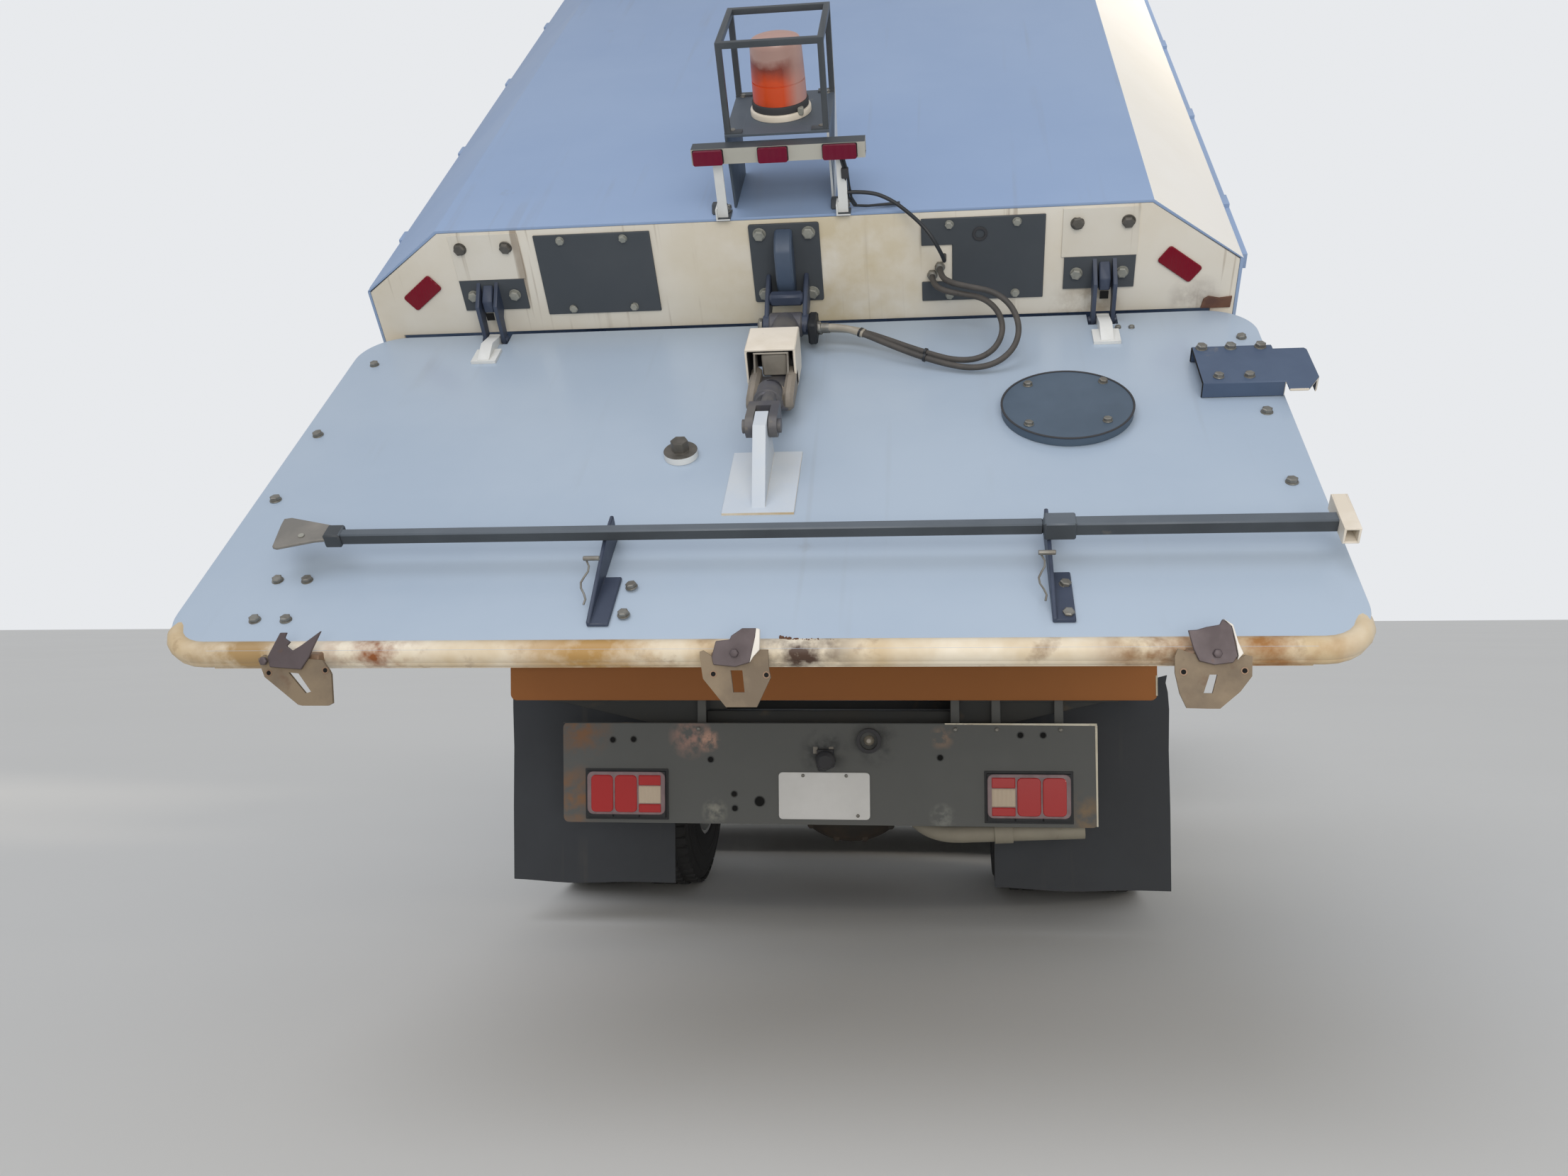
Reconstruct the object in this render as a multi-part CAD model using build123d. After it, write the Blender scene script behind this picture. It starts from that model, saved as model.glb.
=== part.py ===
from build123d import *
from math import atan2, cos, degrees, hypot, pi, radians, sin
import os

# Street sweeper truck, parked with its hopper tipped and its rear door open.
# Millimetres. X is the truck's right, Y is forward, Z is up. The road is at Z 0.
# Everything is built with Y 0 at the tail plate, and moved to the middle at the end.

# Driving dimensions: wheels and axles
TYRE_RADIUS = 490
TYRE_WIDTH = 275
RIM_RADIUS = 286
RIM_WALL = 14
RIM_FLANGE = 12
REAR_AXLE_Y = 1050
WHEELBASE = 3800
FRONT_AXLE_Y = REAR_AXLE_Y + WHEELBASE
WHEEL_X = 1030
TWIN_SPACING = 310
KING_PIN_X = 850
KING_PIN_RADIUS = 20
SPINDLE_RADIUS = 42
RUNNING_GAP = 0.08
SEAT_GAP = 0.3
MOVING_GAP = 6

# Chassis frame
RAIL_TOP = 943
RAIL_HEIGHT = 243
RAIL_BOTTOM = RAIL_TOP - RAIL_HEIGHT
RAIL_X = 430
RAIL_FLANGE = 70
RAIL_SHEET = 8
RAIL_REAR = 100
RAIL_FRONT = 5960
CROSSMEMBER_WIDTH = 70
CROSSMEMBER_HEIGHT = 80
CROSSMEMBERS_Y = (180, 620, 1440, 2300, 3060, 3680, 5900)

# Tail plate, lamps and sill
TAIL_HALF_WIDTH = 891
TAIL_BOTTOM = 420
TAIL_TOP = 758
TAIL_SHEET = 8
LAMP_INNER_X = 535
LAMP_OUTER_X = 805
LAMP_BOTTOM = 440
LAMP_TOP = 595
LAMP_DEPTH = 40
LAMP_PROUD = 14
HANGER_X = (-423, 434, 569, 774)
SOCKET = (151, 702)
HANGER_WIDTH = 30
SILL_HALF_WIDTH = 1089
SILL_REAR = 40
SILL_DEPTH = 60
SILL_BOTTOM = 830.5
SILL_SHEET = 8
FLAP_Y = 300
FLAP_SHEET = 8
FLAP_OUTER_X = 1168
FLAP_INNER_X = 568
FLAP_BOTTOM = 150
FLAP_TOP = 900

# Hopper, in its own frame: Y 0 is its rear face, Z 0 its floor's underside
HOPPER_TILT = 41
HOPPER_HALF_WIDTH = 1168
HOPPER_LENGTH = 2750
HOPPER_WALL = 8
HOPPER_HEIGHT = 1590
HINGE_LINE = 1283
ROOF_BEVEL_WIDTH = 237
ROOF_BEVEL_HEIGHT = 168
SLOPE_START = 2150
SLOPE_RISE = 450
REAR_FRAME_WIDTH = 60
RIB_WIDTH = 60
RIB_DEPTH = 22
RIBS_Y = (340, 980, 1620, 2260)
HINGE_LINE_POSED = (-823, 1922)
LIGHT_BAR_X = (-212, 221)
LIGHT_BAR_LAMPS = ((-207, -133), (-44, 29), (117, 200))
PLATFORM_Y = (30, 311)
PLATFORM_HALF_WIDTH = 131
CAGE_TUBE = 15
HOOD_HALF_WIDTH = 58
HOOD_SHEET = 6

# Hopper pivot on the chassis
PIVOT_Y = 150
PIVOT_Z = 985
PIVOT_PIN_RADIUS = 16
LUG_RADIUS = 28
UNDER_RAIL_INNER = 374
UNDER_RAIL_OUTER = 410
EAR_SHEET = 18
EAR_GAP = 4

# Rear door, in its own frame: Y 0 is its top edge, it runs towards -Y, Z 0 is its outer face
DOOR_OPEN = 92
DOOR_LENGTH = 1349
DOOR_HALF_WIDTH = 1198
DOOR_SHEET = 25
DOOR_TOP_EDGE = 14
DOOR_LIP = 39
DOOR_BOTTOM_LIP = 48
DOOR_LIP_SHEET = 14
DOOR_CORNER = 120
DOOR_PIN_OFFSET = 45
DOOR_PIN_RADIUS = 9
LATCH_TIP = 1550
LATCH_STANDOFF = 30
LATCH_SHEET = 8
HINGE_X = 820

# Cylinders
LIFT_X = 240
LIFT_FOOT = (700, 725)
LIFT_EYE_TRAVEL = (2100, 965)
LIFT_SLIDE = 568
LIFT_BARREL_RADIUS = 60
LIFT_ROD_RADIUS = 38
DOOR_CYLINDER_FOOT = (125, 62)
DOOR_CYLINDER_EYE = (712, 108)
DOOR_BARREL_RADIUS = 36
DOOR_ROD_RADIUS = 17

# Cab
CAB_HALF_WIDTH = 1100
CAB_WALL = 50
CAB_REAR = 4350
CAB_FRONT = 6130
CAB_BELT = 1550
CAB_SCREEN_TOP = (5900, 2500)
CAB_ROOF_FRONT = 5780
CAB_ROOF = 2640
CAB_FLOOR = 1080
CAB_SIDE_BOTTOM = 1000
CAB_FRONT_BOTTOM = 820
CAB_PIVOT_Y = 6080
CAB_PIVOT_Z = 760
ARCH_RADIUS = 545
DOOR_REAR = 4980
DOOR_FRONT = 5940
DOOR_BOTTOM = 1100
DOOR_TOP = 2420
GLASS = 8

# Power pack behind the cab
PACK_REAR = 2900
PACK_FRONT = 4200
PACK_HALF_WIDTH = 1100
PACK_TOP = 2450
PACK_BOTTOM = 950
PACK_WALL = 30

# Brooms and pick-up head
BROOM_PIVOT = (500, 2980)
BROOM_CENTRE = (720, 3450)
BROOM_RADIUS = 430
BROOM_PLATE_RADIUS = 300
BROOM_BOTTOM = 110
ARM_BOTTOM = 600
ARM_HEIGHT = 60
HEAD_HALF_WIDTH = 1120
HEAD_REAR = 1700
HEAD_FRONT = 2400
HEAD_BOTTOM = 140
HEAD_TOP = 330
HEAD_SHEET = 20
SUCTION = (-640, 1905)
SUCTION_HALF = 130
DUCT_SHEET = 8
BLAST_Y = 1950

# Bumper
BUMPER_REAR = 6120
BUMPER_FRONT = 6230
BUMPER_BOTTOM = 430
BUMPER_TOP = 745
BUMPER_HALF_WIDTH = 1130
TOWING_BORE = (350, 665)
TOWING_RADIUS = 20
TOWING_DEPTH = 60


def block(x, y, z):
    """A box between two corners, from three pairs of limits."""
    size = [b - a for a, b in (x, y, z)]
    centre = [(a + b) / 2 for a, b in (x, y, z)]
    return Pos(*centre) * Box(*size)


def side_form(points, x):
    """An outline in Y and Z, as thick as a pair of X limits."""
    face = make_face(Polyline(*[(x[0], y, z) for y, z in points], close=True))
    return extrude(face, amount=x[1] - x[0], dir=(1, 0, 0))


def end_form(points, y):
    """An outline in X and Z, as thick as a pair of Y limits."""
    face = make_face(Polyline(*[(px, y[0], pz) for px, pz in points], close=True))
    return extrude(face, amount=y[1] - y[0], dir=(0, 1, 0))


def plan_form(points, z):
    """An outline in X and Y, as thick as a pair of Z limits."""
    face = make_face(Polyline(*[(px, py, z[0]) for px, py in points], close=True))
    return extrude(face, amount=z[1] - z[0], dir=(0, 0, 1))


def bar(start, end, radius):
    """A round bar between two points."""
    axis = Vector(*end) - Vector(*start)
    low = (Align.CENTER, Align.CENTER, Align.MIN)
    return Plane(origin=start, z_dir=axis) * Cylinder(radius, axis.length, align=low)


def bar_x(y, z, radius, x):
    """A round bar along X."""
    return bar((x[0], y, z), (x[1], y, z), radius)


def bar_z(x, y, radius, z):
    """A round bar along Z."""
    return bar((x, y, z[0]), (x, y, z[1]), radius)


def lathe_x(points):
    """A body of revolution about X, from its half section in X and radius."""
    face = make_face(Polyline(*[(x, 0, r) for x, r in points], close=True))
    return revolve(face, axis=Axis.X)


def lathe_z(points):
    """A body of revolution about Z, from its half section in radius and Z."""
    face = make_face(Polyline(*[(r, 0, z) for r, z in points], close=True))
    return revolve(face, axis=Axis.Z)


def tube(points, radii, radius):
    """A round tube along straight runs joined by arcs."""
    path = FilletPolyline(*points, radius=radii)
    start = Plane(origin=points[0], z_dir=Vector(*points[1]) - Vector(*points[0]))
    return sweep(start * Circle(radius), path=path)


def bend_radii(points, share=0.45):
    """The largest arcs that the runs beside each corner allow."""
    radii = []
    for before, here, after in zip(points, points[1:], points[2:]):
        first = Vector(*here) - Vector(*before)
        second = Vector(*after) - Vector(*here)
        half_turn = radians(first.get_angle(second)) / 2
        radii.append(share * min(first.length, second.length) * cos(half_turn) / sin(half_turn))
    return radii


def mirrored(shape):
    """The same shape on the left side."""
    return mirror(shape, about=Plane.YZ)


def together(*shapes):
    """Solids of one node that touch face to face and stay separate."""
    solids = []
    for shape in shapes:
        solids.extend(shape.solids())
    return Compound(solids)


def both_sides(shape):
    """A right-hand shape and its left-hand twin."""
    return shape + mirrored(shape)


def turn(point, angle):
    """A point in Y and Z, turned about X."""
    c, s = cos(radians(angle)), sin(radians(angle))
    return (point[0] * c - point[1] * s, point[0] * s + point[1] * c)


# The hopper's and the door's places in the tipped pose
_floor_offset = turn((0, HINGE_LINE), HOPPER_TILT)
HOPPER_ORIGIN = (HINGE_LINE_POSED[0] - _floor_offset[0], HINGE_LINE_POSED[1] - _floor_offset[1])
HOPPER_PLACE = Location((0, *HOPPER_ORIGIN), (HOPPER_TILT, 0, 0))
DOOR_TILT = HOPPER_TILT + 90 - DOOR_OPEN
DOOR_PLACE = Location((0, *HINGE_LINE_POSED), (DOOR_TILT, 0, 0))


def hopper_point(y, z):
    """A point of the hopper's own frame, in the tipped pose."""
    turned = turn((y, z), HOPPER_TILT)
    return (HOPPER_ORIGIN[0] + turned[0], HOPPER_ORIGIN[1] + turned[1])


def door_point(s, out):
    """A point s below the door's top edge and out from its face, as the door lies open."""
    turned = turn((-s, out), DOOR_TILT)
    return (HINGE_LINE_POSED[0] + turned[0], HINGE_LINE_POSED[1] + turned[1])


def hopper_local(point):
    """A point of the tipped pose, in the hopper's own frame."""
    return turn((point[0] - HOPPER_ORIGIN[0], point[1] - HOPPER_ORIGIN[1]), -HOPPER_TILT)


PIVOT_LOCAL = hopper_local((PIVOT_Y, PIVOT_Z))
TRAVEL_ORIGIN = (PIVOT_Y - PIVOT_LOCAL[0], PIVOT_Z - PIVOT_LOCAL[1])
DOOR_PIN = door_point(DOOR_PIN_OFFSET, 0)
DOOR_PIN_LOCAL = hopper_local(DOOR_PIN)
LIFT_EYE_LOCAL = (LIFT_EYE_TRAVEL[0] - TRAVEL_ORIGIN[0], LIFT_EYE_TRAVEL[1] - TRAVEL_ORIGIN[1])
LIFT_EYE = hopper_point(*LIFT_EYE_LOCAL)
DOOR_FOOT = hopper_point(-DOOR_CYLINDER_FOOT[0], HINGE_LINE + DOOR_CYLINDER_FOOT[1])
DOOR_EYE = door_point(*DOOR_CYLINDER_EYE)
UNDER_RAIL_BOTTOM = PIVOT_LOCAL[1] - LUG_RADIUS
REAR_END = door_point(LATCH_TIP, LATCH_STANDOFF + LATCH_SHEET)
ORIGIN_Y = (BUMPER_FRONT + REAR_END[0]) / 2


def chassis_frame():
    """Two channel rails with crossmembers, cab supports and lift cylinder feet."""
    inner = RAIL_X - RAIL_FLANGE
    web = RAIL_X - RAIL_SHEET
    section = [(RAIL_X, RAIL_TOP), (inner, RAIL_TOP), (inner, RAIL_TOP - RAIL_SHEET),
               (web, RAIL_TOP - RAIL_SHEET),
               (web, RAIL_BOTTOM + RAIL_SHEET), (inner, RAIL_BOTTOM + RAIL_SHEET), (inner, RAIL_BOTTOM),
               (RAIL_X, RAIL_BOTTOM)]
    rail = end_form(section, (RAIL_REAR, RAIL_FRONT))
    rail += block((inner, RAIL_X), (RAIL_FRONT - 25, RAIL_FRONT), (RAIL_BOTTOM, RAIL_TOP))
    low = RAIL_BOTTOM + RAIL_SHEET
    high = low + CROSSMEMBER_HEIGHT
    half = CROSSMEMBER_WIDTH / 2
    members = []
    for y in CROSSMEMBERS_Y:
        member = block((-web, web), (y - half, y + half), (low, high))
        members.append(member - block((-web, web), (y - half + RAIL_SHEET, y + half),
                                      (low + RAIL_SHEET, high - RAIL_SHEET)))
    post = block((inner, RAIL_X), (CAB_REAR + 20, CAB_REAR + 90), (RAIL_TOP, CAB_FLOOR - MOVING_GAP))
    front_ear = block((inner, RAIL_X), (RAIL_FRONT, CAB_PIVOT_Y), (CAB_PIVOT_Z - 30, CAB_PIVOT_Z + 30))
    front_ear += bar_x(CAB_PIVOT_Y, CAB_PIVOT_Z, 30, (inner, RAIL_X))
    front_ear += bar_x(CAB_PIVOT_Y, CAB_PIVOT_Z, 18, (inner, RAIL_X + 50))
    foot_y, foot_z = LIFT_FOOT
    feet = bar_x(foot_y, foot_z, 20, (LIFT_X - 46, LIFT_X + 46))
    for x in (LIFT_X - 46, LIFT_X + 34):
        feet += block((x, x + 12), (CROSSMEMBERS_Y[1] + half, foot_y), (foot_z - 34, high))
        feet += bar_x(foot_y, foot_z, 34, (x, x + 12))
    members[1] += both_sides(feet)
    return together(rail, mirrored(rail), *members, post, mirrored(post), front_ear, mirrored(front_ear),
                    broom_bracket(), mirrored(broom_bracket()))


def hopper_subframe():
    """The rear sill beam, and the ears and pins that carry the hopper."""
    sill = block((-SILL_HALF_WIDTH, SILL_HALF_WIDTH), (SILL_REAR, SILL_REAR + SILL_DEPTH),
                 (SILL_BOTTOM, RAIL_TOP))
    ends = sill.edges().filter_by(Axis.Y).group_by(Axis.Z)[0]
    sill = fillet(ends, 22)
    sheet = SILL_SHEET
    sill -= block((-SILL_HALF_WIDTH + sheet, SILL_HALF_WIDTH - sheet),
                  (SILL_REAR + sheet, SILL_REAR + SILL_DEPTH),
                  (SILL_BOTTOM + sheet, RAIL_TOP - sheet))
    base = block((UNDER_RAIL_INNER - EAR_GAP - EAR_SHEET, UNDER_RAIL_OUTER + EAR_GAP + EAR_SHEET),
                 (RAIL_REAR - 20, PIVOT_Y + 60), (RAIL_TOP, RAIL_TOP + 7))
    ears = base
    for x in (UNDER_RAIL_INNER - EAR_GAP - EAR_SHEET, UNDER_RAIL_OUTER + EAR_GAP):
        ear = block((x, x + EAR_SHEET), (PIVOT_Y - 50, PIVOT_Y + 50), (RAIL_TOP, PIVOT_Z))
        ear += bar_x(PIVOT_Y, PIVOT_Z, 34, (x, x + EAR_SHEET))
        ears += ear
    low_x = UNDER_RAIL_INNER - EAR_GAP - EAR_SHEET - 10
    high_x = UNDER_RAIL_OUTER + EAR_GAP + EAR_SHEET + 10
    ears += bar_x(PIVOT_Y, PIVOT_Z, PIVOT_PIN_RADIUS, (low_x, high_x))
    rest = block((UNDER_RAIL_INNER - 4, UNDER_RAIL_OUTER + 4), (1980, 2080), (RAIL_TOP, RAIL_TOP + 8))
    brace = end_form([(RAIL_X, RAIL_BOTTOM + 20), (RAIL_X, SILL_BOTTOM),
                      (SILL_HALF_WIDTH - 120, SILL_BOTTOM),
                      (RAIL_X + 60, RAIL_BOTTOM + 20)], (RAIL_REAR, RAIL_REAR + 8))
    brace += block((RAIL_X, SILL_HALF_WIDTH - 120), (SILL_REAR + 32, RAIL_REAR + 8),
                   (SILL_BOTTOM - 8, SILL_BOTTOM))
    return together(sill, ears, mirrored(ears), rest, mirrored(rest), brace, mirrored(brace))


def tail_plate():
    """The plate that carries the lamps, with its hangers and sockets."""
    plate = block((-TAIL_HALF_WIDTH, TAIL_HALF_WIDTH), (0, TAIL_SHEET), (TAIL_BOTTOM, TAIL_TOP))
    plate = fillet(plate.edges().filter_by(Axis.Y), 18)
    window = block((LAMP_INNER_X, LAMP_OUTER_X), (-1, TAIL_SHEET + 1), (LAMP_BOTTOM, LAMP_TOP))
    plate -= both_sides(window)
    holes = ((-718, 700, 7), (-646, 702, 7), (-382, 635, 6), (-303, 520, 5), (-217, 496, 11), (645, 720, 7),
             (718, 720, 7), (384, 645, 6))
    for x, z, r in holes:
        plate -= bar((x, -1, z), (x, TAIL_SHEET + 1, z), r)
    hangers = []
    for x in HANGER_X:
        hanger = block((x - HANGER_WIDTH / 2, x + HANGER_WIDTH / 2), (TAIL_SHEET, SILL_REAR + 30),
                       (700, 708))
        hanger += block((x - HANGER_WIDTH / 2, x + HANGER_WIDTH / 2), (TAIL_SHEET, TAIL_SHEET + 8),
                        (640, 708))
        hanger += block((x - HANGER_WIDTH / 2, x + HANGER_WIDTH / 2), (SILL_REAR + 22, SILL_REAR + 30),
                        (700, SILL_BOTTOM))
        hangers.append(hanger)
    x, z = SOCKET
    socket = bar((x, -28, z), (x, 0, z), 40) - bar((x, -29, z), (x, -10, z), 30)
    connector = block((-22, 34), (-24, 0), (612, 672))
    return together(plate, *hangers, socket, connector)


def tail_lamps():
    """Two lamp units, each a body in the plate's window with a thin flange on its face."""
    gap = SEAT_GAP
    body = block((LAMP_INNER_X + gap, LAMP_OUTER_X - gap), (-LAMP_PROUD, LAMP_DEPTH), (LAMP_BOTTOM + gap,
                                                                                      LAMP_TOP - gap))
    third = (LAMP_OUTER_X - LAMP_INNER_X) / 3
    for i in (1, 2):
        x = LAMP_INNER_X + i * third
        body -= block((x - 2, x + 2), (-LAMP_PROUD - 1, -LAMP_PROUD + 5), (LAMP_BOTTOM, LAMP_TOP))
    flange = block((LAMP_INNER_X - 8, LAMP_OUTER_X + 8), (-4, 0), (LAMP_BOTTOM - 8, LAMP_TOP + 8))
    return both_sides(body + flange)


def mud_flaps():
    """Two rubber flaps behind the rear wheels."""
    flap = block((FLAP_INNER_X, FLAP_OUTER_X), (FLAP_Y, FLAP_Y + FLAP_SHEET), (FLAP_BOTTOM, FLAP_TOP))
    return both_sides(flap)


def rear_mudguards():
    """Curved guards over the twin tyres, with the bars that carry guards and flaps."""
    inner, sheet = TYRE_RADIUS + 42, 5
    centre = (REAR_AXLE_Y, TYRE_RADIUS)
    ring = bar_x(*centre, inner + sheet, (FLAP_INNER_X + 20, FLAP_OUTER_X - 5))
    ring -= bar_x(*centre, inner, (FLAP_INNER_X, FLAP_OUTER_X))
    cut = block((FLAP_INNER_X, FLAP_OUTER_X), (REAR_AXLE_Y - 700, REAR_AXLE_Y + 700),
                (-100, TYRE_RADIUS + 180))
    guard = ring - cut
    for y in (REAR_AXLE_Y - 420, REAR_AXLE_Y + 420):
        reach = TYRE_RADIUS + (inner ** 2 - 420 ** 2) ** 0.5
        guard += block((RAIL_X, FLAP_INNER_X + 60), (y - 15, y + 15), (reach - 30, reach + 2))
    hanger = block((RAIL_X, FLAP_OUTER_X - 10), (FLAP_Y + FLAP_SHEET, FLAP_Y + FLAP_SHEET + 36), (780, 816))
    return both_sides(guard) + both_sides(hanger)


def exhaust_system():
    """Silencer beside the right rail and a pipe that ends under the tail plate."""
    radius = 28
    silencer_x, silencer_z = 600, 740
    route = [(silencer_x, 2050, silencer_z), (silencer_x, 1940, silencer_z), (498, 1720, 650),
             (498, 500, 650), (270, 190, 430), (371, 62, 380), (853, 62, 402)]
    pipe = tube(route, bend_radii(route), radius)
    silencer = bar((silencer_x, 2050, silencer_z), (silencer_x, 2760, silencer_z), 105)
    strap = block((RAIL_X, silencer_x), (2200, 2230), (silencer_z - 20, silencer_z + 20))
    strap += block((RAIL_X, silencer_x), (2580, 2610), (silencer_z - 20, silencer_z + 20))
    collar = bar((560, 62, 389), (620, 62, 392), radius + 7)
    clip = block((614, 626), (62, RAIL_REAR + 4), (400, 418)) + block((614, 626),
                                                                      (RAIL_REAR - 4, RAIL_REAR + 4),
                                                                      (400, 720))
    return together(pipe + collar + clip, silencer + strap)


def leaf_spring(centre_y, seat_z, half_length, rise):
    """Four stacked leaves on one side, with the hangers that reach the rail."""
    x = (RAIL_X - RAIL_FLANGE, RAIL_X)
    leaf = 14
    pack = None
    for i, share in enumerate((1.0, 0.82, 0.6, 0.38)):
        reach = half_length * share
        low = seat_z + (3 - i) * leaf
        lift = rise * share ** 2
        lower = ThreePointArc((x[0], centre_y - reach, low + lift), (x[0], centre_y, low),
                              (x[0], centre_y + reach, low + lift))
        upper = ThreePointArc((x[0], centre_y - reach, low + lift + leaf), (x[0], centre_y, low + leaf),
                              (x[0], centre_y + reach, low + lift + leaf))
        ends = [Line(lower @ 0, upper @ 0), Line(lower @ 1, upper @ 1)]
        solid = extrude(make_face([lower, upper, *ends]), amount=RAIL_FLANGE, dir=(1, 0, 0))
        pack = solid if pack is None else pack + solid
    top = seat_z + 3 * leaf + rise
    for end in (centre_y - half_length, centre_y + half_length):
        pack += block(x, (end - 30, end + 30), (top - 10, RAIL_BOTTOM))
    clamp = block((x[0] - 12, x[1] + 12), (centre_y - 70, centre_y + 70),
                  (seat_z + 4 * leaf, seat_z + 4 * leaf + 12))
    for y in (centre_y - 60, centre_y + 50):
        for side in (x[0] - 12, x[1] + 2):
            clamp += block((side, side + 10), (y, y + 10), (seat_z - 60, seat_z + 4 * leaf + 12))
    return pack + clamp


def rear_axle():
    """Axle tube, differential, backing plates, spindles and springs."""
    y, z = REAR_AXLE_Y, TYRE_RADIUS
    inner_face = WHEEL_X - TWIN_SPACING - TYRE_WIDTH / 2
    axle = bar_x(y, z, 62, (-inner_face + 20, inner_face - 20))
    axle += Pos(0, y, z - 22) * Sphere(214)
    axle += both_sides(bar_x(y, z, 190, (inner_face - 34, inner_face - 20)))
    axle += both_sides(bar_x(y, z, SPINDLE_RADIUS, (inner_face - 20, WHEEL_X - 130)))
    axle += bar((0, y + 150, z - 2), (0, y + 310, z + 8), 70)
    axle += both_sides(leaf_spring(y, z + 55, 640, 60))
    return axle


def front_axle():
    """Dropped beam with eyes for the king pins, and springs."""
    y, z = FRONT_AXLE_Y, TYRE_RADIUS
    beam = end_form([(-620, z - 60), (-480, z - 110), (480, z - 110), (620, z - 60), (800, z - 40),
                     (800, z + 40),
                     (640, z + 30), (500, z - 30), (-500, z - 30), (-640, z + 30), (-800, z + 40),
                     (-800, z - 40)],
                    (y - 42, y + 42))
    eye = bar_z(KING_PIN_X, y, 50, (z - 60, z + 60)) - bar_z(KING_PIN_X, y, KING_PIN_RADIUS + RUNNING_GAP,
                                                             (z - 61, z + 61))
    beam += both_sides(block((780, KING_PIN_X - 30), (y - 35, y + 35), (z - 40, z + 40)))
    beam -= both_sides(bar_z(KING_PIN_X, y, KING_PIN_RADIUS + RUNNING_GAP, (z - 61, z + 61)))
    seat = block((RAIL_X - RAIL_FLANGE - 14, RAIL_X + 14), (y - 60, y + 60), (z - 30, z + 55))
    return beam + both_sides(eye) + both_sides(seat) + both_sides(leaf_spring(y, z + 55, 640, 60))


def knuckle():
    """Right steering knuckle: two lugs on a king pin, a web, a backing plate and a spindle."""
    y, z = FRONT_AXLE_Y, TYRE_RADIUS
    body = bar_z(KING_PIN_X, y, KING_PIN_RADIUS, (z - 100, z + 100))
    for low, high in ((z - 100, z - 61), (z + 61, z + 100)):
        body += bar_z(KING_PIN_X, y, 48, (low, high))
        body += block((KING_PIN_X, KING_PIN_X + 76), (y - 45, y + 45), (low, high))
    body += block((KING_PIN_X + 58, KING_PIN_X + 76), (y - 60, y + 60), (z - 100, z + 100))
    body += bar_x(y, z, 185, (KING_PIN_X + 76, KING_PIN_X + 86))
    body += bar_x(y, z, SPINDLE_RADIUS, (KING_PIN_X + 86, WHEEL_X + 60))
    arm = block((KING_PIN_X - 20, KING_PIN_X + 20), (y - 190, y - 30), (z - 100, z - 75))
    return body + arm


def tyre(x):
    """A tyre as a closed ring, its middle at x."""
    half, low, high = TYRE_WIDTH / 2, RIM_RADIUS, TYRE_RADIUS
    side = [(half - 25, low), (half - 6, low + 55), (half, low + 105), (half - 8, high - 42),
            (half - 30, high - 8), (half - 62, high)]
    outline = [(x + w, r) for w, r in side] + [(x - w, r) for w, r in reversed(side)]
    return lathe_x(outline)


def rim(x, disc_x, disc_side):
    """A rim with its dished disc bolted at disc_x, reached from the side that disc_side points to."""
    half = TYRE_WIDTH / 2
    top = RIM_RADIUS - SEAT_GAP
    low = top - RIM_WALL
    barrel = [(-half + 8, low), (-half + 8, top + RIM_FLANGE), (-half + 18, top + RIM_FLANGE),
              (-half + 18, top),
              (half - 18, top), (half - 18, top + RIM_FLANGE), (half - 8, top + RIM_FLANGE),
              (half - 8, low)]
    body = lathe_x([(x + w, r) for w, r in barrel])
    sheet = 12
    start = disc_x + disc_side * 60
    disc = lathe_x([(start, low + 1), (disc_x, 175), (disc_x, 100), (disc_x + disc_side * sheet, 100),
                    (disc_x + disc_side * sheet, 170), (start + disc_side * sheet * 1.3, low - 8),
                    (start + disc_side * sheet * 1.3, low + 1)])
    for i in range(8):
        angle = 2 * pi * (i + 0.5) / 8
        y, z = 222 * cos(angle), 222 * sin(angle)
        disc -= bar_x(y, z, 24, (disc_x - 90, disc_x + 90))
    return body + disc


def front_wheel():
    """Right front wheel about its own centre: tyre, rim and hub."""
    disc_x = WHEEL_X + 40
    bore = SPINDLE_RADIUS + RUNNING_GAP
    hub = bar_x(0, 0, 120, (WHEEL_X - 80, disc_x + 30)) + bar_x(0, 0, 72, (disc_x + 30, disc_x + 90))
    hub -= bar_x(0, 0, bore, (WHEEL_X - 81, WHEEL_X + 61))
    place = Pos(0, FRONT_AXLE_Y, TYRE_RADIUS)
    return place * (rim(WHEEL_X, disc_x, -1) + hub) + place * tyre(WHEEL_X)


def rear_wheels():
    """Right twin wheels about their own centre: two tyres, two rims and a hub."""
    disc_x = WHEEL_X - TWIN_SPACING / 2
    inner_x = WHEEL_X - TWIN_SPACING
    bore = SPINDLE_RADIUS + RUNNING_GAP
    hub = bar_x(0, 0, 130, (inner_x - 110, disc_x + 40)) + bar_x(0, 0, 85, (disc_x + 40, disc_x + 150))
    hub -= bar_x(0, 0, bore, (inner_x - 111, WHEEL_X - 128))
    place = Pos(0, REAR_AXLE_Y, TYRE_RADIUS)
    wheels = rim(WHEEL_X, disc_x, 1) + rim(inner_x, disc_x, -1) + hub
    return place * wheels + place * tyre(WHEEL_X) + place * tyre(inner_x)


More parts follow.
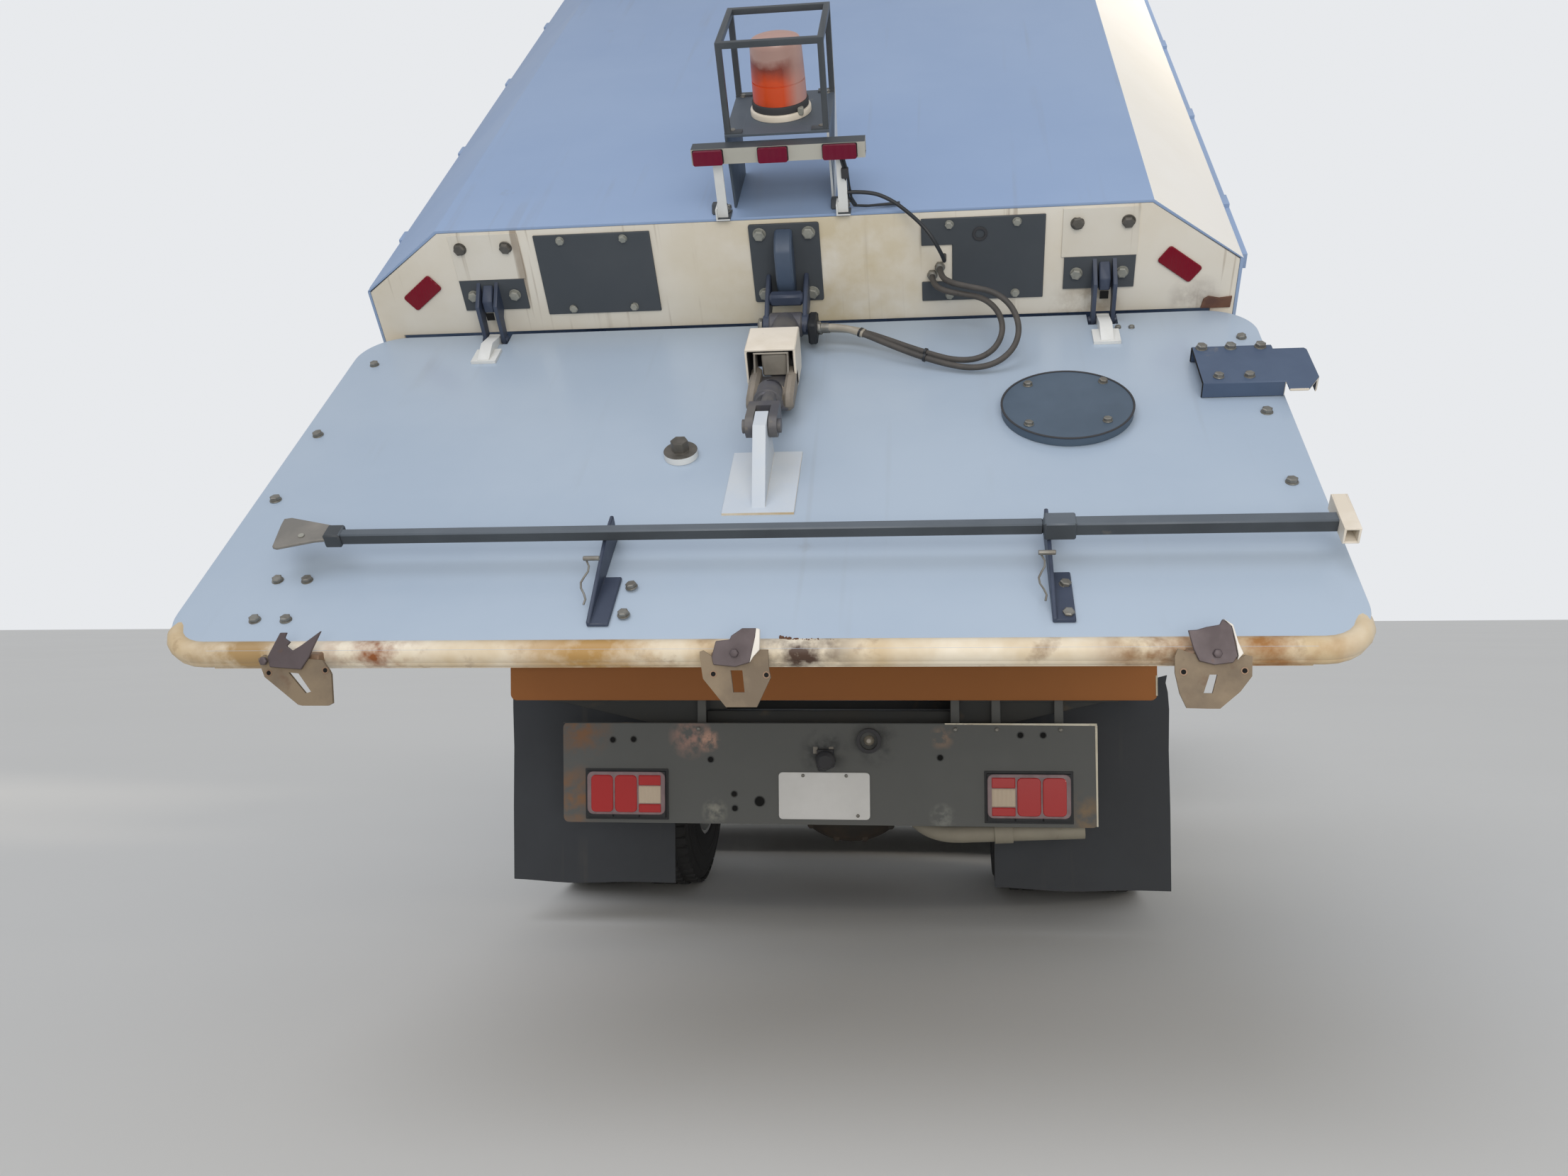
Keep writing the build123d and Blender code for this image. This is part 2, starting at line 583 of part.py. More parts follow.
def engine_and_drive_shaft():
    """Plain blocks for both engines, a gearbox and the shaft to the rear axle."""
    engine = block((-300, 300), (4480, 5500), (520, 1040))
    gearbox = lathe_z([(0, 0), (95, 0), (110, 300), (190, 620), (0, 620)])
    gearbox = Location((0, 3860, 640), (-90, 0, 0)) * gearbox
    mounts = both_sides(block((300, RAIL_X - RAIL_SHEET), (4700, 4780), (760, 820)))
    shaft = bar((0, REAR_AXLE_Y + 331, TYRE_RADIUS + 10), (0, 3857.2, 639.8), 42)
    auxiliary = block((-350, 350), (3200, 3950), (RAIL_TOP - 120, 1560))
    for y in (3320, 3780):
        auxiliary += both_sides(block((350, RAIL_X - RAIL_SHEET), (y, y + 60),
                                      (RAIL_TOP - 70, RAIL_TOP - 20)))
    return together(engine + mounts, gearbox, shaft, auxiliary)


def fuel_tank():
    """Tank on the left rail with two straps."""
    tank = block((-1090, -490), (2080, 2800), (580, 920))
    tank = fillet(tank.edges().filter_by(Axis.Y), 70)
    for y in (2220, 2620):
        tank += block((-510, -RAIL_X), (y - 30, y + 30), (RAIL_BOTTOM + 20, RAIL_TOP - 40))
    return tank


def pickup_head():
    """Box-like head of flat plates with skids and drag arms, open below and under the duct."""
    half = HEAD_HALF_WIDTH - 30
    outer = [(HEAD_REAR, HEAD_BOTTOM), (HEAD_REAR, HEAD_BOTTOM + 60), (HEAD_REAR + 60, HEAD_TOP),
             (HEAD_FRONT - 90, HEAD_TOP), (HEAD_FRONT, HEAD_BOTTOM + 90), (HEAD_FRONT, HEAD_BOTTOM)]
    sheet = HEAD_SHEET
    inner = [(HEAD_REAR + sheet, HEAD_BOTTOM), (HEAD_REAR + sheet, HEAD_BOTTOM + 60),
             (HEAD_REAR + 74, HEAD_TOP - sheet), (HEAD_FRONT - 102, HEAD_TOP - sheet),
             (HEAD_FRONT - sheet, HEAD_BOTTOM + 84), (HEAD_FRONT - sheet, HEAD_BOTTOM)]
    walls = [[outer[i], outer[i + 1], inner[i + 1], inner[i]] for i in range(5)]
    length = (-half + sheet, half - sheet)
    plates = [side_form(walls[i], length) for i in (0, 1, 3, 4)]
    x, y = SUCTION
    bore = SUCTION_HALF - DUCT_SHEET
    top = side_form(walls[2], length)
    beside = ((length[0], x - bore), (x + bore, length[1]))
    plates += [top & block(pair, (HEAD_REAR, HEAD_FRONT), (0, HEAD_TOP)) for pair in beside]
    around = ((HEAD_REAR, y - bore), (y + bore, HEAD_FRONT))
    plates += [top & block((x - bore, x + bore), pair, (0, HEAD_TOP)) for pair in around]
    end = side_form(outer, (half - sheet, half))
    skid = side_form([(HEAD_REAR - 60, HEAD_BOTTOM + 40), (HEAD_REAR - 20, HEAD_TOP - 60),
                      (HEAD_FRONT - 40, HEAD_TOP - 60), (HEAD_FRONT + 60, HEAD_BOTTOM + 60),
                      (HEAD_FRONT + 30, HEAD_BOTTOM - 20), (HEAD_REAR - 30, HEAD_BOTTOM - 20)],
                     (half, HEAD_HALF_WIDTH))
    arm = bar((395, HEAD_FRONT - 60, HEAD_TOP - 30), (395, 3000, RAIL_BOTTOM - 30), 20)
    arm -= side_form(outer, (300, 500))
    arm += block((375, 415), (2975, 3025), (RAIL_BOTTOM - 50, RAIL_BOTTOM))
    plates += [end, mirrored(end), skid, mirrored(skid), arm, mirrored(arm)]
    return together(*plates)


def suction_ducts():
    """The square suction duct up to the hopper's floor, and the blast duct with its plenum."""
    x, y = SUCTION
    out = SUCTION_HALF
    bore = out - DUCT_SHEET
    top = TRAVEL_ORIGIN[1] - MOVING_GAP
    side_wall = block((x + bore, x + out), (y - out, y + out), (HEAD_TOP, top))
    end_wall = block((x - bore, x + bore), (y + bore, y + out), (HEAD_TOP, top))
    rim = out + 30
    side_rim = block((x + out, x + rim), (y - rim, y + rim), (top - 34, top))
    end_rim = block((x - out, x + out), (y + out, y + rim), (top - 34, top))
    parts = []
    for half_duct in (side_wall, side_rim):
        parts += [half_duct, Pos(-2 * (half_duct.center().X - x), 0, 0) * half_duct]
    for half_duct in (end_wall, end_rim):
        parts += [half_duct, Pos(0, -2 * (half_duct.center().Y - y), 0) * half_duct]
    strap = block((x + out, -RAIL_X), (y - 20, y + 20), (860, 900))
    blast = [(900, BLAST_Y, HEAD_TOP), (900, BLAST_Y, 560), (900, 2250, 790), (900, 2930, 790)]
    plenum = block((800, 1000), (2930, 3110), (690, PACK_BOTTOM))
    return together(*parts, strap, tube(blast, bend_radii(blast), 95), plenum)


def power_pack_housing():
    """Louvred housing over the auxiliary engine and the fan, made of panels, with a stack."""
    half, bevel, wall = PACK_HALF_WIDTH, 90, PACK_WALL
    bend, bend_in = (half, PACK_TOP - bevel), (half - wall, PACK_TOP - bevel - 12)
    edge, edge_in = (half - bevel, PACK_TOP), (half - bevel - 12, PACK_TOP - wall)
    section = [(half, PACK_BOTTOM), bend, edge, (-edge[0], edge[1]), (-bend[0], bend[1]),
               (-half, PACK_BOTTOM)]
    rear = end_form(section, (PACK_REAR, PACK_REAR + wall))
    front = end_form(section, (PACK_FRONT - wall, PACK_FRONT))
    length = (PACK_REAR + wall, PACK_FRONT - wall)
    side = end_form([(half, PACK_BOTTOM), bend, bend_in, (half - wall, PACK_BOTTOM)], length)
    for row in range(9):
        z = 1500 + 70 * row
        side -= block((half - 14, half + 1), (3150, 3950), (z, z + 34))
    slope = end_form([bend, edge, edge_in, bend_in], length)
    roof = end_form([edge, (-edge[0], edge[1]), (-edge_in[0], edge_in[1]), edge_in], length)
    floor = block((-half + wall, half - wall), length, (PACK_BOTTOM, PACK_BOTTOM + 8))
    floor -= block((-355, 355), (3150, 4000), (PACK_BOTTOM - 1, PACK_BOTTOM + 9))
    foot = block((RAIL_X - RAIL_FLANGE, RAIL_X), (PACK_REAR + 60, PACK_FRONT - 60), (RAIL_TOP, PACK_BOTTOM))
    stack = bar_z(700, 3500, 55, (PACK_TOP, PACK_TOP + 180))
    intake = bar_z(-600, 3600, 150, (PACK_TOP, PACK_TOP + 90))
    return together(rear, front, side, mirrored(side), slope, mirrored(slope), roof, floor, foot,
                    mirrored(foot),
                    stack, intake)


def front_bumper():
    """Bumper with lamp openings, corner steps and brackets; two lamps sit in it."""
    half = BUMPER_HALF_WIDTH
    plan = [(-half, BUMPER_REAR), (half, BUMPER_REAR), (half, BUMPER_FRONT - 60),
            (half - 120, BUMPER_FRONT), (-half + 120, BUMPER_FRONT), (-half, BUMPER_FRONT - 60)]
    bumper = plan_form(plan, (BUMPER_BOTTOM, BUMPER_TOP))
    lamp = ((700, 960), (BUMPER_FRONT - 60, BUMPER_FRONT + 1), (560, 690))
    bumper -= both_sides(block(*lamp))
    bumper -= block((-500, 500), (BUMPER_FRONT - 25, BUMPER_FRONT + 1), (480, 600))
    tow_x, tow_z = TOWING_BORE
    bumper -= bar((tow_x, BUMPER_FRONT - TOWING_DEPTH, tow_z), (tow_x, BUMPER_FRONT + 1, tow_z),
                  TOWING_RADIUS)
    arm = block((RAIL_X - RAIL_FLANGE + 10, RAIL_X - 10), (RAIL_FRONT, BUMPER_REAR), (RAIL_BOTTOM - 60,
                                                                                    RAIL_BOTTOM + 10))
    arm += block((RAIL_X - RAIL_FLANGE + 10, RAIL_X - 10), (RAIL_FRONT - 200, BUMPER_REAR),
                 (RAIL_BOTTOM - 60, RAIL_BOTTOM))
    step = block((800, half - 10), (5440, BUMPER_REAR), (BUMPER_BOTTOM + 10, 790))
    step -= block((860, half), (5470, 5930), (470, 610))
    step -= block((860, half), (5470, 5930), (630, 791))
    step += block((RAIL_X, 800), (5700, 5760), (RAIL_BOTTOM + 10, 770))
    gap = SEAT_GAP
    glass = block((700 + gap, 960 - gap), (BUMPER_FRONT - 60, BUMPER_FRONT - 6), (560 + gap, 690 - gap))
    return together(bumper, arm, mirrored(arm), step, mirrored(step), glass, mirrored(glass))


def roof_line(inset):
    """The hopper's upper outline on the right side, from the wall's top to the roof's edge."""
    side = HOPPER_HALF_WIDTH - inset
    bend = HOPPER_HEIGHT - ROOF_BEVEL_HEIGHT - inset * 0.4
    edge = HOPPER_HALF_WIDTH - ROOF_BEVEL_WIDTH - inset * 0.4
    return (side, bend), (edge, HOPPER_HEIGHT - inset)


def hopper_floor():
    """Floor with its rising front, under-rails, pivot lugs and lift cheeks."""
    wall, length = HOPPER_WALL, HOPPER_LENGTH
    half = HOPPER_HALF_WIDTH - wall
    floor = side_form([(0, 0), (SLOPE_START, 0), (length, SLOPE_RISE), (length, SLOPE_RISE + wall * 1.3),
                       (SLOPE_START - 3, wall), (0, wall)], (-half, half))
    rail = block((UNDER_RAIL_INNER, UNDER_RAIL_OUTER), (PIVOT_LOCAL[0], SLOPE_START),
                 (UNDER_RAIL_BOTTOM, 0))
    rail += bar_x(*PIVOT_LOCAL, LUG_RADIUS, (UNDER_RAIL_INNER, UNDER_RAIL_OUTER))
    rail += side_form([(PIVOT_LOCAL[0] - 20, 0), (PIVOT_LOCAL[0] - 20, PIVOT_LOCAL[1]),
                       (PIVOT_LOCAL[0] + 60, PIVOT_LOCAL[1]),
                       (PIVOT_LOCAL[0] + 60, 0)], (UNDER_RAIL_INNER, UNDER_RAIL_OUTER))
    rail -= bar_x(*PIVOT_LOCAL, PIVOT_PIN_RADIUS + RUNNING_GAP,
                  (UNDER_RAIL_INNER - 1, UNDER_RAIL_OUTER + 1))
    eye_y, eye_z = LIFT_EYE_LOCAL
    for x in (LIFT_X - 56, LIFT_X + 44):
        cheek = block((x, x + 12), (eye_y - 60, eye_y + 60), (eye_z, 0))
        cheek += bar_x(eye_y, eye_z, 40, (x, x + 12))
        rail += cheek
    floor += both_sides(rail)
    x, y = SUCTION[0], SUCTION[1] - TRAVEL_ORIGIN[0]
    mouth = SUCTION_HALF - DUCT_SHEET
    floor -= block((x - mouth, x + mouth), (y - mouth, y + mouth), (-1, wall + 1))
    for y in (600, 1300):
        floor += block((-UNDER_RAIL_INNER, UNDER_RAIL_INNER), (y, y + 40), (-50, 0))
        floor += both_sides(block((UNDER_RAIL_OUTER, half), (y, y + 40), (-8, 0)))
    return HOPPER_PLACE * floor


def hopper_sides():
    """Two side walls with outside ribs."""
    wall, length = HOPPER_WALL, HOPPER_LENGTH
    bend = HOPPER_HEIGHT - ROOF_BEVEL_HEIGHT
    x = (HOPPER_HALF_WIDTH - wall, HOPPER_HALF_WIDTH)
    outline = [(0, 0), (SLOPE_START, 0), (length, SLOPE_RISE), (length, bend), (0, bend)]
    side = side_form(outline, x)
    for y in RIBS_Y:
        past_bend = max(0, y + RIB_WIDTH - SLOPE_START)
        low = SLOPE_RISE * past_bend / (length - SLOPE_START)
        side += block((x[1], x[1] + RIB_DEPTH), (y, y + RIB_WIDTH), (low + 10, bend - 10))
    side += block((x[1], x[1] + RIB_DEPTH), (60, length - 20), (bend - 60, bend - 20))
    return HOPPER_PLACE * both_sides(side)


def hopper_roof():
    """Roof with its two sloping edges."""
    (side, bend), (edge, top) = roof_line(0)
    (side_in, bend_in), (edge_in, top_in) = roof_line(HOPPER_WALL)
    outline = [(side, bend), (edge, top), (-edge, top), (-side, bend), (-side_in, bend), (-edge_in, top_in),
               (edge_in, top_in), (side_in, bend)]
    return HOPPER_PLACE * end_form(outline, (0, HOPPER_LENGTH))


def hopper_ends():
    """The rear frame with the band above the door, and the front wall."""
    wall, length = HOPPER_WALL, HOPPER_LENGTH
    half = HOPPER_HALF_WIDTH - wall
    (side, bend), (edge, top) = roof_line(wall)
    outline = [(half, wall), (half, bend), (edge, top), (-edge, top), (-half, bend), (-half, wall)]
    rear = end_form(outline, (0, 10))
    inner = half - REAR_FRAME_WIDTH
    rear -= block((-inner, inner), (-1, 11), (wall - 1, HINGE_LINE))
    front_outline = [(x, max(z, SLOPE_RISE + wall * 1.3 + 1)) for x, z in outline]
    front = end_form(front_outline, (length - wall, length))
    return HOPPER_PLACE * (rear + front)


def band_fittings():
    """Cover plates, hinge channels and the cylinder's bracket on the band."""
    def up(z):
        return HINGE_LINE + z
    plate = block((353, 667), (-6, 0), (up(52), up(283)))
    left = mirrored(plate)
    right = plate - block((352, 432), (-7, 1), (up(107), up(210)))
    hinge = block((718, 898), (-6, 0), (up(73), up(162)))
    hinge += block((710, 900), (-4, 0), (up(162), up(293)))
    pin_y, pin_z = DOOR_PIN_LOCAL
    for x in (HINGE_X - 30, HINGE_X + 20):
        cheek = side_form([(-6, up(156)), (-60, up(110)), (pin_y - 14, pin_z), (pin_y + 14, pin_z),
                           (-24, up(60)), (-6, up(78))], (x, x + 10))
        cheek += bar_x(pin_y, pin_z, 14, (x, x + 10))
        hinge += cheek
    hinge += bar_x(pin_y, pin_z, DOOR_PIN_RADIUS, (HINGE_X - 36, HINGE_X + 36))
    centre = block((-92, 92), (-6, 0), (up(67), up(288)))
    foot_y, foot_z = -DOOR_CYLINDER_FOOT[0], up(DOOR_CYLINDER_FOOT[1])
    for x in (-56, 44):
        cheek = side_form([(-6, up(270)), (-60, up(230)), (foot_y - 24, foot_z), (foot_y + 6, foot_z - 24),
                           (-60, up(72)), (-6, up(72))], (x, x + 12))
        cheek += bar_x(foot_y, foot_z, 26, (x, x + 12))
        centre += cheek
    centre += block((-56, 56), (-40, -6), (up(200), up(240)))
    wide, inside = HOOD_HALF_WIDTH, HOOD_HALF_WIDTH - HOOD_SHEET
    hood = side_form([(-50, up(114)), (-200, up(126)), (-200, up(132)), (-50, up(120))], (-wide, wide))
    hood_side = side_form([(-50, up(120)), (-200, up(132)), (-200, up(30)), (-186, up(14)), (-156, up(12)),
                           (-100, up(32)), (-50, up(80))], (inside, wide))
    centre += hood + both_sides(hood_side)
    centre += bar_x(foot_y, foot_z, 14, (-60, 60))
    centre += block((56, 84), (-176, -104), (up(28), up(88)))
    return HOPPER_PLACE * (left + right + both_sides(hinge) + centre)


def lift_cylinder(which):
    """Both lift cylinders: barrels on the chassis feet, or rods."""
    foot, eye = LIFT_FOOT, LIFT_EYE
    reach = hypot(eye[0] - foot[0], eye[1] - foot[1])
    angle = degrees(atan2(eye[1] - foot[1], eye[0] - foot[0]))
    barrel_length = 1290
    place = Location((LIFT_X, *foot), (angle, 0, 0))
    if which == "barrel":
        body = bar((0, 80, 0), (0, barrel_length, 0), LIFT_BARREL_RADIUS)
        body += bar_x(0, 0, 40, (-32, 32)) + block((-32, 32), (0, 85), (-40, 40))
        body -= bar_x(0, 0, 20 + RUNNING_GAP, (-33, 33))
        body -= bar((0, 95, 0), (0, barrel_length + 1, 0), LIFT_BARREL_RADIUS - 12)
        gland = bar((0, barrel_length - 60, 0), (0, barrel_length, 0), LIFT_BARREL_RADIUS - 12)
        gland -= bar((0, barrel_length - 61, 0), (0, barrel_length + 1, 0), LIFT_ROD_RADIUS + RUNNING_GAP)
        shape = body + gland
    else:
        slide = LIFT_SLIDE * radians(HOPPER_TILT)
        start = barrel_length - 80
        shape = bar((0, start, 0), (0, reach - 30, 0), LIFT_ROD_RADIUS)
        shape += bar((0, start - 10, 0), (0, start + 10, 0), LIFT_BARREL_RADIUS - 14)
        shape += bar_x(reach, 0, 42, (-36, 36)) + bar_x(reach, 0, 22, (-43, 43))
        assert start - 10 - slide > 60
    return both_sides(place * shape)


def door_cylinder(which):
    """The door's cylinder: the barrel with its hood, or the rod with its clevis."""
    foot, eye = DOOR_FOOT, DOOR_EYE
    reach = hypot(eye[0] - foot[0], eye[1] - foot[1])
    angle = degrees(atan2(eye[1] - foot[1], eye[0] - foot[0]))
    place = Location((0, *foot), (angle, 0, 0))
    barrel_length = 400
    if which == "barrel":
        body = bar((0, 20, 0), (0, barrel_length, 0), DOOR_BARREL_RADIUS)
        body += bar_x(0, 0, 26, (-43, 43)) + block((-30, 30), (0, 40), (-26, 26))
        body += block((-33, 33), (90, 150), (-28, 42))
        body -= bar_x(0, 0, 14 + RUNNING_GAP, (-44, 44))
        body -= bar((0, 45, 0), (0, barrel_length + 1, 0), DOOR_BARREL_RADIUS - 9)
        gland = bar((0, barrel_length - 40, 0), (0, barrel_length, 0), DOOR_BARREL_RADIUS - 9)
        gland -= bar((0, barrel_length - 41, 0), (0, barrel_length + 1, 0), DOOR_ROD_RADIUS + RUNNING_GAP)
        return place * (body + gland)
    start = barrel_length / 2
    rod = bar((0, start, 0), (0, reach - 58, 0), DOOR_ROD_RADIUS)
    rod += bar((0, start - 8, 0), (0, start + 8, 0), DOOR_BARREL_RADIUS - 11)
    rod += block((-36, 36), (reach - 76, reach - 54), (-26, 26))
    for x in (-36, 17):
        rod += block((x, x + 19), (reach - 60, reach), (-26, 26)) + bar_x(reach, 0, 26, (x, x + 19))
        rod += bar_x(reach, 0, 16, (x - 8, x + 27)) if x < 0 else bar_x(reach, 0, 16, (x, x + 27))
    rod -= block((-16.5, 16.5), (reach - 53, reach + 60), (-40, 40))
    return place * rod


def rear_door():
    """Door panel with its folded lip and the cylinder's lug."""
    half, length, lip = DOOR_HALF_WIDTH, DOOR_LENGTH, DOOR_LIP_SHEET
    outline = block((-half, half), (-length, -DOOR_TOP_EDGE), (-DOOR_LIP, 0))
    outline = fillet(outline.edges().filter_by(Axis.Z), DOOR_CORNER)
    inner = block((-half + lip, half - lip), (-length + lip, -DOOR_PIN_OFFSET - lip),
                  (-DOOR_LIP - 1, -DOOR_SHEET))
    inner = fillet(inner.edges().filter_by(Axis.Z), DOOR_CORNER - lip)
    door = outline - inner
    door -= block((-half, half), (-DOOR_PIN_OFFSET, 1), (-DOOR_LIP - 1, -DOOR_SHEET))
    straight = half - DOOR_CORNER
    door += block((-straight, straight), (-length, -length + lip), (-DOOR_BOTTOM_LIP, -DOOR_SHEET))
    slot = block((HINGE_X - 38, HINGE_X + 38), (-DOOR_PIN_OFFSET - 26, 1), (-DOOR_LIP - 1, 1))
    door -= both_sides(slot)
    eye_s, eye_out = DOOR_CYLINDER_EYE
    lug = block((-80, 80), (-905, -660), (0, 6))
    fin = side_form([(-886, 6), (-eye_s - 40, eye_out + 26), (-eye_s + 22, eye_out + 26), (-eye_s + 34, 60),
                     (-664, 6)], (-15, 15))
    return DOOR_PLACE * (door + lug + fin)


def door_fittings():
    """Hinge arms, side bracket with its end box, rod brackets, round cover and plug."""
    pin_s = DOOR_PIN_OFFSET
    arm = side_form([(-176, 0), (-176, 10), (-120, 30), (-pin_s - 6, 15), (-pin_s - 6, -13),
                     (-pin_s - 25, 0), (-pin_s - 30, 0)], (HINGE_X - 16, HINGE_X + 16))
    arm += bar_x(-pin_s, 0, 16, (HINGE_X - 16, HINGE_X + 16))
    arm += block((HINGE_X - 34, HINGE_X + 34), (-180, -112), (0, 8))
    arm -= bar_x(-pin_s, 0, DOOR_PIN_RADIUS + RUNNING_GAP, (HINGE_X - 17, HINGE_X + 17))
    x_low, x_high, proud, sheet = 1007, DOOR_HALF_WIDTH - 2, 40, 6
    bracket = block((x_low, x_high), (-459, -281), (0, proud))
    bracket -= block((x_low - 1, x_high - sheet), (-459 + sheet, -281 - sheet), (-1, proud - sheet))
    x_end = 1273
    end_plan = [(x_high, -300), (x_end - 5, -300), (x_end, -308), (x_end, -440), (x_end - 34, -496),
                (x_high, -496)]
    end_box = plan_form(end_plan, (2, proud))
    end_box -= block((x_high - 1, x_end - sheet), (-497, -300 - sheet), (1, proud - sheet))
    cover = bar((694, -505, 0), (694, -505, 22), 153)
    webs = None
    for x, s_low, s_high in ((-300, 1282, 985), (612, 1279, 985)):
        web = side_form([(-s_low, 0), (-s_low, 12), (-s_high - 70, 62), (-s_high, 62), (-s_high, 0)],
                        (x - 4, x + 4))
        web += block((x - 4, x + 40), (-s_low, -s_high - 144), (0, 8))
        webs = web if webs is None else webs + web
    plug_x, plug_s = -206, 662
    plug = bar((plug_x, -plug_s, 0), (plug_x, -plug_s, 18), 40)
    corners = [(plug_x + 21 * cos(radians(60 * i)), -plug_s + 21 * sin(radians(60 * i))) for i in range(6)]
    plug += plan_form(corners, (18, 44))
    return DOOR_PLACE * (both_sides(arm) + bracket + end_box + cover + webs + plug)


def latch_rod():
    """The square rod that links the latches, with its blade, collar and end tube."""
    low, high = 62 + SEAT_GAP, 100
    rod = block((-945, 1204), (-1046, -1002), (low, high))
    rod += block((640, 700), (-1052, -996), (low - 5, high + 5))
    blade = plan_form([(-930, -1046), (-930, -1002), (-1067, -930), (-1079, -1052)], (74, 84))
    end = block((1204, 1238), (-1046, -881), (low, high))
    end -= block((1209, 1233), (-1047, -880), (low + 5, high - 5))
    return DOOR_PLACE * (rod + blade + end)


def door_latches():
    """Three slotted latch plates, joggled clear of the door's lower edge."""
    tip, out, sheet = LATCH_TIP, LATCH_STANDOFF, LATCH_SHEET
    section = [(-1275, 0), (-1275, sheet), (-1318, sheet), (-DOOR_LENGTH + 4, out + sheet),
               (-tip, out + sheet), (-tip, out), (-DOOR_LENGTH, out), (-1322, 0)]
    latches = None
    for x in (-873, -3, 885):
        hexagon = [(x - 65, -1275), (x + 65, -1275), (x + 65, -tip + 90), (x + 35, -tip), (x - 35, -tip),
                   (x - 65, -tip + 90)]
        plate = side_form(section, (x - 65, x + 65)) & plan_form(hexagon, (-1, out + sheet + 1))
        plate -= block((x - 10, x + 10), (-1500, -1460), (out - 1, out + sheet + 1))
        ear = [(x - 48, -1276), (x - 40, -1232), (x - 8, -1226), (x + 4, -1204), (x + 40, -1200),
               (x + 52, -1276)]
        plate += plan_form(ear, (0, sheet))
        latches = plate if latches is None else latches + plate
    return DOOR_PLACE * latches


def light_bar():
    """Box channel with three lamps on two legs, and the sheet that runs back to the platform."""
    top = HOPPER_HEIGHT
    low, high = top + 178, top + 218
    sheet = 3
    (left, right), half_depth = LIGHT_BAR_X, 20
    form = block((left, right), (-half_depth, half_depth), (low, high))
    form -= block((left - 1, right + 1), (-half_depth + sheet, half_depth - sheet),
                  (low + sheet, high - sheet))
    rear = PLATFORM_Y[0]
    slope = side_form([(half_depth - 1, high), (rear, top + 205), (rear, top + 201),
                       (half_depth - 1, high - 4)],
                      (left, right))
    reach = PLATFORM_HALF_WIDTH
    form += slope & plan_form([(left, 19), (right, 19), (reach, rear), (-reach, rear)], (low, high))
    for x, foot_y in ((-152, 41), (158, 23)):
        form += block((x - 12, x + 12), (-3, 3), (top + 4, low))
        form += block((x - 18, x + 18), (-15, foot_y), (top, top + 4))
        form += block((x - 18, x - 14), (-15, foot_y), (top, top + 30))
        form += block((x - 18, x - 11), (-3, 3), (top, top + 30))
    for pair in LIGHT_BAR_LAMPS:
        lamp = block(pair, (-half_depth - 12, -half_depth), (low + 2, high - 2))
        form += fillet(lamp.edges().filter_by(Axis.Y), 5)
    return HOPPER_PLACE * form


def beacon_guard():
    """Platform on two side gussets, and an open cage of square tube on four feet."""
    top = HOPPER_HEIGHT
    low, high = top + 205, top + 427
    rear, front = PLATFORM_Y
    half, tube_side = PLATFORM_HALF_WIDTH, CAGE_TUBE
    guard = block((-half, half), (rear, front), (low - 6, low))
    for x in (-half, half - 6):
        guard += side_form([(rear + 30, top), (front - 31, top), (front, low - 6), (rear, low - 6)],
                           (x, x + 6))
    guard -= side_form([(rear + 62, top + 50), (rear + 74, top + 50), (rear + 50, top + 160),
                        (rear + 42, top + 160)], (half - 7, half + 1))
    posts_y = (rear + 6, front - 6 - tube_side)
    for x in (-half, half - tube_side):
        for y in posts_y:
            guard += block((x, x + tube_side), (y, y + tube_side), (low, high))
        foot_x = (x, x + 44) if x < 0 else (x + tube_side - 44, x + tube_side)
        for y in posts_y:
            guard += block(foot_x, (y - 4, y + tube_side + 4), (low, low + 5))
        guard += block((x, x + tube_side), (posts_y[0], posts_y[1] + tube_side), (high - tube_side, high))
    for y in posts_y:
        guard += block((-half, half), (y, y + tube_side), (high - tube_side, high))
    return HOPPER_PLACE * guard


def beacon():
    """Amber beacon on its base ring."""
    z = HOPPER_HEIGHT + 205
    base = lathe_z([(0, z), (78, z), (78, z + 22), (68, z + 30), (0, z + 30)])
    dome = lathe_z([(0, z + 30), (66, z + 30), (62, z + 120), (52, z + 160), (30, z + 182), (0, z + 188)])
    return HOPPER_PLACE * Pos(0, 170, 0) * (base + dome)


def on_hopper(points):
    """Points given across the band, out from it and up from the door's hinge line."""
    return [(x, *hopper_point(-out, HINGE_LINE + up)) for x, out, up in points]


HOSES = {
    # radius, then points: across, out from the band, up from the hinge line
    "door_hose_upper": (7.5,
                        [(400, 0, 150), (400, 58, 150), (430, 108, 155), (479, 138, 158), (537, 152, 150),
                              (580, 182, 124), (597, 226, 88), (583, 268, 56), (540, 299, 32),
                              (481, 308, 24),
                              (422, 292, 27), (366, 270, 34), (312, 244, 42), (256, 214, 52),
                              (200, 182, 62), (142, 158, 70), (84, 158, 70)]),
    "door_hose_lower": (7.5,
                        [(380, 0, 128), (380, 54, 128), (407, 102, 132), (450, 126, 134), (508, 134, 126),
                              (547, 163, 102), (558, 205, 70), (537, 246, 42), (491, 269, 26),
                              (432, 265, 24),
                              (374, 236, 27), (318, 206, 32), (262, 174, 38), (204, 144, 44),
                              (144, 124, 46), (84, 124, 46)]),
    "light_cable": (5, [(412, 0, 180), (412, 40, 180), (410, 72, 205), (397, 86, 242), (370, 74, 286),
                        (324, 34, 316), (279, 11, 343), (226, 0, 362), (170, 0, 362)]),
}


def hose(name):
    """One hose or cable, as a plain tube along its route."""
    radius, route = HOSES[name]
    points = on_hopper(route)
    radii = bend_radii(points)
    print(name, "radii", [round(r) for r in radii])
    return tube(points, radii, radius)


